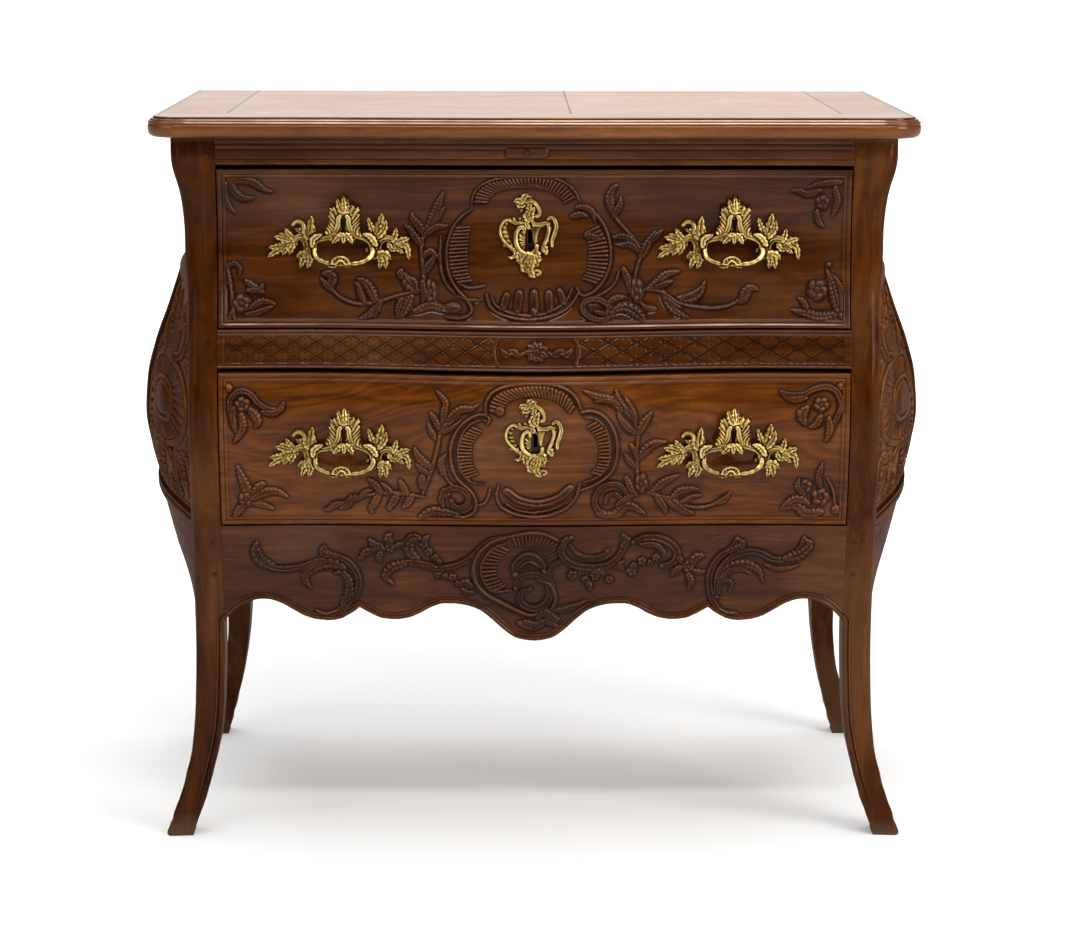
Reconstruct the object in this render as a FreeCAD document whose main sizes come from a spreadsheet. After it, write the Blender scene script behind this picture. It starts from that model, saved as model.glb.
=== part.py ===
import FreeCAD, Part
import math
import os
from FreeCAD import Vector, Rotation, Placement

# A serpentine, swelling (bombe) chest of two long drawers on high curved legs, in solid walnut
# with gilt bronze handles and keyhole plates.
# Frame: X to the right, Y to the back, Z up, front faces -Y. Millimetres.
# The geometry is laid out from the top's front corner (y = 0) and every sub-part is then placed
# "shift_y" forward, which puts the origin under the middle of the whole chest, on the floor.

os.makedirs("parts", exist_ok=True)
doc = FreeCAD.newDocument("bombe_chest")
sheet = doc.addObject("Spreadsheet::Sheet", "dims")
VALUES = {}


def cell(alias, value):
    row = len(VALUES) + 1
    sheet.set("A%d" % row, alias.replace("_", " "))
    sheet.set("B%d" % row, repr(float(value)))
    sheet.setAlias("B%d" % row, alias)
    VALUES[alias] = float(value)


class Q:
    """A length with its number and the sheet expression it comes from."""

    def __init__(self, v, e):
        self.v, self.e = float(v), e

    @staticmethod
    def of(o):
        return o if isinstance(o, Q) else Q(o, "%.6g" % o)

    def __add__(self, o):
        o = Q.of(o)
        return Q(self.v + o.v, "(%s + %s)" % (self.e, o.e))

    __radd__ = __add__

    def __sub__(self, o):
        o = Q.of(o)
        return Q(self.v - o.v, "(%s - %s)" % (self.e, o.e))

    def __rsub__(self, o):
        return Q.of(o) - self

    def __mul__(self, o):
        o = Q.of(o)
        return Q(self.v * o.v, "(%s * %s)" % (self.e, o.e))

    __rmul__ = __mul__

    def __truediv__(self, o):
        o = Q.of(o)
        return Q(self.v / o.v, "(%s / %s)" % (self.e, o.e))

    def __neg__(self):
        return Q(-self.v, "(-1 * %s)" % self.e)


class Dims:
    def __getattr__(self, name):
        return Q(VALUES[name], "dims." + name)


D = Dims()

# ---------------------------------------------------------------- driving dimensions
for alias, value in [
    # whole chest
    ("shift_y", 242.0),
    ("height", 940.0),
    ("top_half_width", 485.0),
    ("top_thick", 26.0),
    ("top_front_y", -32.0),
    ("top_lobe", 8.0),
    ("top_back_y", 550.0),
    ("top_corner_radius", 42.0),
    ("top_step", 2.5),
    ("top_step_inset", 12.0),
    ("top_nose", 9.0),
    ("top_end_joint_x", 390.0),
    ("top_mid_joint_x", 46.0),
    ("top_rail_back_y", 45.0),
    # carcase levels
    ("frieze_low", 879.0),
    ("mid_rail_top", 672.5),
    ("mid_rail_low", 624.5),
    ("apron_top", 419.0),
    ("opening_half", 401.0),
    ("rail_back_y", 52.0),
    ("post_back_y", 47.0),
    ("tenon_long", 24.0),
    ("tenon_thick", 10.0),
    ("apron_thick", 24.0),
    # sides
    ("side_thick", 24.0),
    ("panel_recess", 6.0),
    ("panel_thick", 12.0),
    ("panel_tongue", 7.0),
    ("panel_front_y", 47.0),
    ("panel_rear_y", 393.0),
    ("panel_low", 420.0),
    ("panel_high", 712.0),
    ("rear_post_back_y", 515.0),
    ("rear_post_thick", 36.0),
    # back
    ("rear_rail_front_y", 480.0),
    ("rear_rail_thick", 25.0),
    ("rear_rail_housing", 15.0),
    ("rear_top_rail_low", 868.0),
    ("back_board_thick", 10.0),
    ("back_low", 380.0),
    ("back_high", 910.0),
    ("back_joint_x", 165.0),
    # inside
    ("runner_thick", 22.0),
    ("runner_inner_x", 352.0),
    ("runner_outer_x", 416.0),
    ("guide_x", 401.0),
    ("guide_high", 28.0),
    ("kicker_thick", 11.0),
    ("dust_thick", 8.0),
    ("dust_drop", 6.0),
    ("dust_tongue", 6.0),
    ("stop_x", 300.0),
    ("stop_long", 44.0),
    ("stop_wide", 14.0),
    ("stop_high", 6.5),
    # drawers
    ("drawer_half", 399.6),
    ("front_side_gap", 1.4),
    ("front_low_gap", 2.0),
    ("front_top_gap", 5.5),
    ("side_gap", 0.3),
    ("front_inner_y", 28.0),
    ("upper_hollow", 8.0),
    ("lower_hollow", 25.0),
    ("hollow_half", 180.0),
    ("hollow_flat", 60.0),
    ("drawer_side_thick", 14.0),
    ("drawer_rear_y", 462.0),
    ("drawer_back_thick", 12.0),
    ("drawer_bottom_thick", 8.0),
    ("drawer_bottom_up", 10.0),
    ("drawer_bottom_groove", 6.5),
    ("drawer_side_drop", 12.0),
    ("dovetail_end_y", 12.0),
    ("dovetail_flare", 4.0),
    # locks
    ("lock_wide", 76.0),
    ("lock_high", 104.0),
    ("lock_thick", 12.0),
    ("bolt_wide", 30.0),
    ("bolt_thick", 5.0),
    ("bolt_long", 44.0),
    ("bolt_play", 0.4),
    ("bolt_travel", 14.0),
    ("key_hole_r", 4.5),
    ("key_slot_wide", 5.0),
    ("key_slot_long", 18.0),
    ("upper_key_x", -6.0),
    ("upper_key_z", 794.0),
    ("lower_key_x", 1.0),
    ("lower_key_z", 543.0),
    ("upper_lock_recess", 10.0),
    ("lower_lock_recess", 14.0),
    ("lock_screw_r", 1.6),
    ("lock_screw_long", 14.0),
    # bronze mounts
    ("plate_thick", 2.5),
    ("handle_x", 246.0),
    ("upper_handle_z", 771.0),
    ("lower_handle_z", 508.0),
    ("handle_post_half", 40.0),
    ("handle_post_r", 3.0),
    ("handle_hole_r", 3.2),
    ("handle_reach", 26.0),
    ("handle_ring_thick", 8.0),
    ("handle_ring_a", 40.0),
    ("handle_ring_b", 19.0),
    ("handle_open_a", 31.5),
    ("handle_open_b", 11.5),
    ("handle_crest", 66.0),
    ("handle_wing", 89.5),
    ("nut_side", 12.0),
    ("nut_thick", 5.0),
    # pegs and dowels
    ("peg_r", 3.5),
    ("dowel_r", 5.0),
    ("dowel_half", 14.0),
]:
    cell(alias, value)

# Profiles, each a list of (height or width, value) knots kept in the sheet.
PROFILES = {
    # front face at the corners of the front, against height
    "face": [(0, 13), (40, 12), (80, 12), (150, 14), (250, 15), (340, 7), (400, -5), (480, -23), (560, -30), (640, -20), (720, 0), (800, 7), (870, 0), (940, 0)],
    # how far the middle of the front stands out beyond that
    "lobe": [(0, 0), (200, 4), (270, 5), (400, 10), (600, 35), (660, 28.5), (870, 6), (940, 6)],
    # half width at the front posts
    "waist": [(0, 480), (8, 478.6), (21, 473.8), (35, 469.6), (49, 464.4), (62, 459.8), (76, 456.2), (90, 452.6), (103, 449), (117, 446.6), (130, 445), (144, 443.6), (158, 442.3), (185, 441), (211, 440.2), (238, 439.5), (265, 439), (320, 438.5), (400, 438), (500, 437.5), (600, 437.5), (710, 438), (760, 442), (800, 443), (825, 444.8), (838, 446.4), (850, 448.8), (863, 452.3), (875, 455.8), (888, 457.2), (914, 457.8), (940, 457.8)],
    # swelling of the sides towards the back
    "belly": [(0, 0), (200, 0), (250, 20), (300, 45), (350, 66.4), (400, 82.6), (450, 96.9), (500, 104.8), (550, 101.3), (600, 88.9), (650, 70.3), (690, 56.2), (720, 45.5), (750, 25), (800, 0), (940, 0)],
    # inner edge of the front posts and legs
    "inner": [(0, 446.5), (7, 445), (35, 434.5), (62, 426), (90, 418.6), (117, 412), (144, 406.9), (175, 404), (210, 402.4), (250, 401.2), (280, 401), (940, 401)],
    # back of the front posts and legs
    "legback": [(0, 41), (35, 42), (80, 43), (150, 45), (210, 46.5), (260, 47), (940, 47)],
    # corner rounding of the front posts
    "round": [(0, 7), (150, 9), (240, 14), (300, 16), (940, 16)],
    # rear posts: front edge, back edge, inner edge below the belly
    "rearfront": [(0, 489), (50, 484), (100, 480), (150, 474), (200, 460), (250, 430), (300, 399), (315, 395.2), (330, 393.9), (360, 393.5), (400, 393.3), (940, 393.3)],
    "rearback": [(0, 524), (60, 520), (150, 516), (200, 515), (940, 515)],
    "rearinner": [(0, 446), (15, 442.5), (29, 438.5), (60, 430.5), (90, 423), (120, 417.5), (150, 413), (200, 409), (250, 413), (300, 436), (330, 452)],
    # lower edge of the front apron, half width against height
    "scallop": [(0, 261.5), (8, 262.2), (23, 265.6), (39, 276.4), (54.5, 290.8), (70, 303.1), (85.5, 309.2), (101, 311.8), (116.6, 312), (132.2, 307.2), (148, 298.4), (163.5, 292.2), (179, 290), (195, 291.3), (210, 297.4), (219.5, 302.6), (225.6, 306.3)],
    "scallop_out": [(225.6, 306.3), (233.5, 300.1), (241.4, 295.3), (249.3, 291.2), (265, 288.5), (280.5, 289.9), (296, 294.5), (311, 303), (326.5, 312.2), (342, 317.6), (350, 318.4), (358, 317.6), (373, 312.5), (388.8, 301.7), (401, 288)],
}
for pname, knots in PROFILES.items():
    for i, (a, b) in enumerate(knots):
        cell("%s_at_%d" % (pname, i), a)
        cell("%s_is_%d" % (pname, i), b)


class Profile:
    """A smooth curve through a profile's knots that keeps their rises and falls."""

    def __init__(self, name):
        n = len(PROFILES[name])
        self.x = [VALUES["%s_at_%d" % (name, i)] for i in range(n)]
        self.y = [VALUES["%s_is_%d" % (name, i)] for i in range(n)]
        gaps = [self.x[i + 1] - self.x[i] for i in range(n - 1)]
        rise = [(self.y[i + 1] - self.y[i]) / gaps[i] for i in range(n - 1)]
        self.m = [rise[0]] + [0.0] * (n - 2) + [rise[-1]]
        for i in range(1, n - 1):
            if rise[i - 1] * rise[i] > 0:
                w1, w2 = 2 * gaps[i] + gaps[i - 1], gaps[i] + 2 * gaps[i - 1]
                self.m[i] = (w1 + w2) / (w1 / rise[i - 1] + w2 / rise[i])

    def __call__(self, q):
        x, y, m = self.x, self.y, self.m
        if q <= x[0]:
            return y[0]
        if q >= x[-1]:
            return y[-1]
        i = 0
        while x[i + 1] < q:
            i += 1
        g = x[i + 1] - x[i]
        t = (q - x[i]) / g
        return (2 * t**3 - 3 * t * t + 1) * y[i] + (t**3 - 2 * t * t + t) * g * m[i] + (3 * t * t - 2 * t**3) * y[i + 1] + (t**3 - t * t) * g * m[i + 1]


face, lobe, waist, belly = Profile("face"), Profile("lobe"), Profile("waist"), Profile("belly")
inner, legback, rounding = Profile("inner"), Profile("legback"), Profile("round")
rearfront, rearback, rearinner = Profile("rearfront"), Profile("rearback"), Profile("rearinner")


def bump(x, half):
    x = abs(x)
    return 0.5 * (1 + math.cos(math.pi * x / half)) if x < half else 0.0


def front_y(x, z):
    """The serpentine, swelling front surface."""
    return face(z) - lobe(z) * bump(x, 300.0) - 6.0 * (abs(x) / 405.0) ** 4


def swell(y):
    """Share of the side's swelling at depth y."""
    return math.sin(math.pi / 2 * (y - 30) / 400.0) if y >= 30 else math.pi / 1600.0 * (y - 30)


def side_x(z, y):
    """The swelling side surface."""
    return waist(z) + belly(z) * swell(y)


SUBPARTS = []


def publish(obj, label, shared=False):
    """Names a finished sub-part and places it in the chest's own frame. A form that also cuts its neighbours stays where it is, and a copy that follows it is placed."""
    if shared:
        copy_of = doc.addObject("Part::Compound", label + "_placed")
        copy_of.Links = [obj]
        obj = copy_of
    doc.recompute()
    obj.Label = label
    obj.Placement = Placement(Vector(0, 0, 0), Rotation())
    obj.setExpression("Placement.Base.y", "-1 * dims.shift_y")
    SUBPARTS.append(obj)
    return obj


def box(name, x, y, z, dx, dy, dz):
    b = doc.addObject("Part::Box", name)
    for prop, q in (("Length", dx), ("Width", dy), ("Height", dz), ("Placement.Base.x", x), ("Placement.Base.y", y), ("Placement.Base.z", z)):
        b.setExpression(prop, Q.of(q).e)
    return b


def sided_box(name, s, x, y, z, dx, dy, dz):
    """A box on the right side (s = 1), or its mirror image on the left (s = -1)."""
    return box(name, x if s > 0 else -(Q.of(x) + dx), y, z, dx, dy, dz)


def cylinder_y(name, x, y, z, r, length):
    c = doc.addObject("Part::Cylinder", name)
    c.Placement = Placement(Vector(0, 0, 0), Rotation(Vector(1, 0, 0), -90))
    for prop, q in (("Radius", r), ("Height", length), ("Placement.Base.x", x), ("Placement.Base.y", y), ("Placement.Base.z", z)):
        c.setExpression(prop, Q.of(q).e)
    return c


def cylinder_z(name, x, y, z, r, length):
    c = doc.addObject("Part::Cylinder", name)
    for prop, q in (("Radius", r), ("Height", length), ("Placement.Base.x", x), ("Placement.Base.y", y), ("Placement.Base.z", z)):
        c.setExpression(prop, Q.of(q).e)
    return c


def common(name, a, b):
    o = doc.addObject("Part::Common", name)
    o.Base, o.Tool = a, b
    return o


def cut(name, a, b):
    o = doc.addObject("Part::Cut", name)
    o.Base, o.Tool = a, b
    return o


def fuse(name, things):
    o = doc.addObject("Part::MultiFuse", name)
    o.Shapes = things
    return o


def compound(name, things):
    o = doc.addObject("Part::Compound", name)
    o.Links = things
    return o


def feature(name, shape):
    o = doc.addObject("Part::Feature", name)
    o.Shape = shape
    return o


def publish_pair(obj, label, side=1):
    """Publishes a sub-part made for one side of the chest, and its mirror image for the other side."""
    twin = doc.addObject("Part::Mirroring", label + "_twin")
    twin.Source = obj
    twin.Normal = Vector(1, 0, 0)
    publish(compound(label + "_master", [obj]), label + ("_right" if side > 0 else "_left"))
    publish(twin, label + ("_left" if side > 0 else "_right"))


def body_with_sketch(name, plane, offset):
    body = doc.addObject("PartDesign::Body", name)
    sk = body.newObject("Sketcher::SketchObject", name + "_sketch")
    ref = [f for f in body.Origin.OriginFeatures if f.Role == plane][0]
    sk.AttachmentSupport = [(ref, "")]
    sk.MapMode = "FlatFace"
    off = Q.of(offset)
    sk.AttachmentOffset = Placement(Vector(0, 0, off.v), Rotation())
    sk.setExpression("AttachmentOffset.Base.z", off.e)
    return body, sk


def outline(sk, pts):
    """A closed outline of straight lines, every corner held by two dimensions from the sheet."""
    import Sketcher

    n = len(pts)
    vec = [Vector(Q.of(a).v, Q.of(b).v, 0) for a, b in pts]
    for i in range(n):
        sk.addGeometry(Part.LineSegment(vec[i], vec[(i + 1) % n]), False)
    for i in range(n):
        sk.addConstraint(Sketcher.Constraint("Coincident", i, 2, (i + 1) % n, 1))
    for i, (a, b) in enumerate(pts):
        for kind, q in (("DistanceX", Q.of(a)), ("DistanceY", Q.of(b))):
            c = sk.addConstraint(Sketcher.Constraint(kind, -1, 1, i, 1, q.v))
            sk.setExpression("Constraints[%d]" % c, q.e)


def pad(name, plane, offset, pts, length):
    """A body padded from one outline. XZ sketches pad towards -Y, YZ towards +X, XY towards +Z."""
    body, sk = body_with_sketch(name, plane, offset)
    outline(sk, pts)
    p = body.newObject("PartDesign::Pad", name + "_pad")
    p.Profile = sk
    q = Q.of(length)
    p.Length = q.v
    p.setExpression("Length", q.e)
    return body


# ---------------------------------------------------------------- curved forms
def skin(u_list, v_list, point):
    surface = Part.BSplineSurface()
    surface.interpolate([[point(u, v) for v in v_list] for u in u_list])
    return surface


def spread(a, b, n):
    return [a + (b - a) * i / (n - 1) for i in range(n)]


front_skin = skin(spread(-472, 472, 33), spread(228, 942, 49), lambda x, z: Vector(x, front_y(x, z), z))
front_solid = feature("front_form", front_skin.toShape().extrude(Vector(0, 190, 0)))


def front_patch(name, x0, x1, z0, z1, ahead, depth):
    """A piece of the front surface, brought forward and then thickened to the back."""
    u0, v0 = front_skin.parameter(Vector(x0, front_y(x0, z0), z0))
    u1, v1 = front_skin.parameter(Vector(x1, front_y(x1, z1), z1))
    part_of = front_skin.copy()
    part_of.segment(u0, u1, v0, v1)
    sheet_face = part_of.toShape()
    sheet_face.translate(Vector(0, -ahead, 0))
    return feature(name, sheet_face.extrude(Vector(0, depth, 0)))


apron_solid = front_patch("apron_form", -420, 420, 240, 440, 0, VALUES["apron_thick"])

side_skin = skin(spread(-40, 570, 31), spread(205, 942, 51), lambda y, z: Vector(side_x(z, y), y, z))
side_solid = feature("side_form", side_skin.toShape().extrude(Vector(-VALUES["side_thick"], 0, 0)))
field_face = side_skin.toShape()
field_face.translate(Vector(-VALUES["panel_recess"], 0, 0))
field_solid = feature("field_form", field_face.extrude(Vector(-VALUES["panel_thick"], 0, 0)))


def front_section(z):
    """A front post's or leg's section: the inner side, the front face, a rounded corner, the flared side and the back."""
    xi, yb = inner(z), legback(z)
    corner = Vector(waist(z), front_y(waist(z), z), z)
    a = Vector(xi, front_y(xi, z), z)
    back = Vector(side_x(z, yb), yb, z)
    r = min(rounding(z), 0.42 * (corner - a).Length, 0.42 * (back - corner).Length)
    p, q = corner + (a - corner).normalize() * r, corner + (back - corner).normalize() * r
    mid = (p + q) * 0.5 + (corner - (p + q) * 0.5) * 0.42
    e = Vector(xi, yb, z)
    edges = [Part.LineSegment(e, a).toShape(), Part.LineSegment(a, p).toShape(), Part.Arc(p, mid, q).toShape(), Part.LineSegment(q, back).toShape(), Part.LineSegment(back, e).toShape()]
    return Part.Wire(edges)


def rear_section(z):
    """A rear post's or leg's section: a plank that narrows into the leg below the belly."""
    yf, yb = rearfront(z), rearback(z)
    thick = VALUES["rear_post_thick"]
    if z >= 330:
        xi = min(side_x(z, 0.5 * (yf + yb)) - thick, side_x(z, yf) - 12)
    else:
        xi = min(rearinner(z), side_x(z, yf) - 16)
    pts = [(xi, yb), (xi, yf)] + [(side_x(z, y), y) for y in (yf, 0.5 * (yf + yb), yb)] + [(xi, yb)]
    return Part.makePolygon([Vector(x, y, z) for x, y in pts])


POST_LEVELS = [0, 10, 22, 36, 50, 64, 78, 92, 106, 120, 135, 150, 170, 190, 215, 240, 265, 295, 312, 330, 350, 370, 410, 450, 490, 530, 570, 610, 650, 685, 710, 735, 760, 785, 805, 825, 840, 855, 868, 880, 896, 914]
front_post_form = feature("front_post_form", Part.makeLoft([front_section(z) for z in POST_LEVELS], True, False, False, 5))
rear_post_form = feature("rear_post_form", Part.makeLoft([rear_section(z) for z in POST_LEVELS], True, False, False, 5))

# ---------------------------------------------------------------- pegs and dowels
PEG_PLACES = [(411.5, 657.0), (411.5, 638.0), (412.0, 396.0), (412.0, 352.0), (412.0, 896.0)]
pegs = []
for s in (1, -1):
    for i, (x, z) in enumerate(PEG_PLACES):
        cell("peg_%s%d_x" % ("r_" if s > 0 else "l_", i), s * x)
        cell("peg_%s%d_z" % ("r_" if s > 0 else "l_", i), z)
        tag = "peg_%s%d" % ("r_" if s > 0 else "l_", i)
        pegs.append(cylinder_y(tag, getattr(D, tag + "_x"), -60, getattr(D, tag + "_z"), D.peg_r, 60 + D.post_back_y - 10))
cell("frieze_peg_x", -9.9)
cell("frieze_peg_z", 895.5)
pegs.append(cylinder_y("peg_frieze", D.frieze_peg_x, -60, D.frieze_peg_z, D.peg_r, 78))
peg_bars = compound("peg_bars", pegs)
peg_group = common("tenon_pegs_form", peg_bars, front_solid)

DOWEL_PLACES = [(428.0, 22.0), (-428.0, 22.0), (436.0, 470.0), (-436.0, 470.0), (200.0, 22.0), (-200.0, 22.0)]
dowels = []
for i, (x, y) in enumerate(DOWEL_PLACES):
    cell("dowel_x_at_%d" % i, x)
    cell("dowel_y_at_%d" % i, y)
    dowels.append(cylinder_z("dowel_%d" % i, getattr(D, "dowel_x_at_%d" % i), getattr(D, "dowel_y_at_%d" % i), D.height - D.top_thick - D.dowel_half, D.dowel_r, D.dowel_half * 2))
dowel_group = compound("top_dowels_form", dowels)

# ---------------------------------------------------------------- tenons of the front rails
TENONS = {
    "frieze": (5.0, 884.0, 26.0),
    "middle": (0.0, 629.0, 39.0),
    "apron": (1.5, 338.0, 72.0),
}
tenon_box = {}
for key, (y, z, dz) in TENONS.items():
    cell("tenon_%s_y" % key, y)
    cell("tenon_%s_z" % key, z)
    cell("tenon_%s_high" % key, dz)
    thick = D.tenon_thick if key != "apron" else D.tenon_thick - 2
    for s in (1, -1):
        tenon_box[key, s] = sided_box("tenon_%s_%s" % (key, "right" if s > 0 else "left"), s, D.opening_half, getattr(D, "tenon_%s_y" % key), getattr(D, "tenon_%s_z" % key), D.tenon_long, thick, getattr(D, "tenon_%s_high" % key))

# tenons of the side rail and the side apron: x, y, z, length and height, into the front and the rear post
side_tenons = {}
for key, rows in {"rail": [(431, 29, 810, 20, 70), (431, 391, 810, 22, 70)], "apron": [(426, 29, 350, 20, 55), (493, 391, 350, 22, 35)]}.items():
    side_tenons[key] = []
    for end, row in zip(("front", "rear"), rows):
        alias = "side_%s_%s_" % (key, end)
        for word, value in zip(("x", "y", "z", "long", "high"), row):
            cell(alias + word, value)
        side_tenons[key].append(box(alias + "tenon", getattr(D, alias + "x"), getattr(D, alias + "y"), getattr(D, alias + "z"), D.tenon_thick - 2, getattr(D, alias + "long"), getattr(D, alias + "high")))

# ---------------------------------------------------------------- rear frame
rear_len = {"top": (868.0, 914.0, 437.0), "middle": (628.0, 672.5, 486.0), "bottom": (374.0, 419.0, 497.0)}
rear_rails = {}
for key, (z0, z1, half) in rear_len.items():
    cell("rear_%s_low" % key, z0)
    cell("rear_%s_high" % key, z1)
    cell("rear_%s_half" % key, half)
    h_ = getattr(D, "rear_%s_half" % key)
    lo_, hi_ = getattr(D, "rear_%s_low" % key), getattr(D, "rear_%s_high" % key)
    rear_rails[key] = pad("rear_%s_rail_body" % key, "XZ_Plane", -(D.rear_rail_front_y + D.rear_rail_thick), [(-h_, lo_), (h_, lo_), (h_, hi_), (-h_, hi_)], D.rear_rail_thick)


def back_wire(y, lap):
    """The back boards' outline: straight top and bottom, sides that follow the rear posts."""
    z0, z1 = VALUES["back_low"], VALUES["back_high"]
    zs = spread(z0, z1, 24)
    right = Part.BSplineCurve()
    right.interpolate([Vector(side_x(z, 500) - lap, y, z) for z in zs])
    left = Part.BSplineCurve()
    left.interpolate([Vector(-side_x(z, 500) + lap, y, z) for z in zs])
    a, b = right.StartPoint, right.EndPoint
    c, d = left.StartPoint, left.EndPoint
    return Part.Wire([Part.LineSegment(c, a).toShape(), right.toShape(), Part.LineSegment(b, d).toShape(), left.toShape()])


back_form = feature("back_form", Part.Face(back_wire(VALUES["rear_post_back_y"], 15.0)).extrude(Vector(0, -VALUES["back_board_thick"], 0)))

tool = fuse("front_post_tools", [tenon_box["frieze", 1], tenon_box["middle", 1], tenon_box["apron", 1], side_tenons["rail"][0], side_tenons["apron"][0], peg_bars, dowel_group])
publish_pair(cut("front_post_cut", front_post_form, tool), "front_post")
tool = fuse("rear_post_tools", [rear_rails["top"], rear_rails["middle"], rear_rails["bottom"], side_tenons["rail"][1], side_tenons["apron"][1], back_form, dowel_group])
publish_pair(cut("rear_post_cut", rear_post_form, tool), "rear_post")

for key in ("top", "middle", "bottom"):
    publish(rear_rails[key], "rear_%s_rail" % key, True)

# the back is three boards, tongued together
jx = D.back_joint_x
back_cells = {"left": (-560, 560 - jx), "centre": (-jx, jx * 2), "right": (jx, 560 - jx)}
for key, (x, w) in back_cells.items():
    b = box("back_cell_" + key, x, D.rear_post_back_y - 30, D.back_low - 20, w, 60, D.back_high - D.back_low + 40)
    publish(common("back_board_form_" + key, back_form, b), "back_board_" + key)

# ---------------------------------------------------------------- front rails
open2 = D.opening_half * 2
b = box("frieze_box", -D.opening_half, -60, D.frieze_low, open2, D.rail_back_y + 60, D.height - D.top_thick - D.frieze_low)
frieze_blank = b
b = box("middle_box", -D.opening_half, -90, D.mid_rail_low, open2, D.rail_back_y + 90, D.mid_rail_top - D.mid_rail_low)
middle_blank = b


def apron_wire():
    """The apron's outline: a straight top and the scalloped lower edge, with its two cusps."""
    inner_edge, outer_edge = Profile("scallop"), Profile("scallop_out")
    cusp = VALUES["scallop_at_%d" % (len(PROFILES["scallop"]) - 1)]
    half = VALUES["opening_half"]
    mid = Part.BSplineCurve()
    mid.interpolate([Vector(x, -80, inner_edge(abs(x))) for x in spread(-cusp, cusp, 61)])
    right = Part.BSplineCurve()
    right.interpolate([Vector(x, -80, outer_edge(x)) for x in spread(cusp, half, 25)])
    left = Part.BSplineCurve()
    left.interpolate([Vector(-x, -80, outer_edge(x)) for x in spread(half, cusp, 25)])
    top = VALUES["apron_top"]
    return Part.Wire([left.toShape(), mid.toShape(), right.toShape(), Part.LineSegment(right.EndPoint, Vector(half, -80, top)).toShape(), Part.LineSegment(Vector(half, -80, top), Vector(-half, -80, top)).toShape(), Part.LineSegment(Vector(-half, -80, top), left.StartPoint).toShape()])


apron_prism = feature("apron_prism", Part.Face(apron_wire()).extrude(Vector(0, 160, 0)))
apron_body = fuse("apron_fused", [common("apron_cut_form", apron_solid, apron_prism), tenon_box["apron", 1], tenon_box["apron", -1]])

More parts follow.
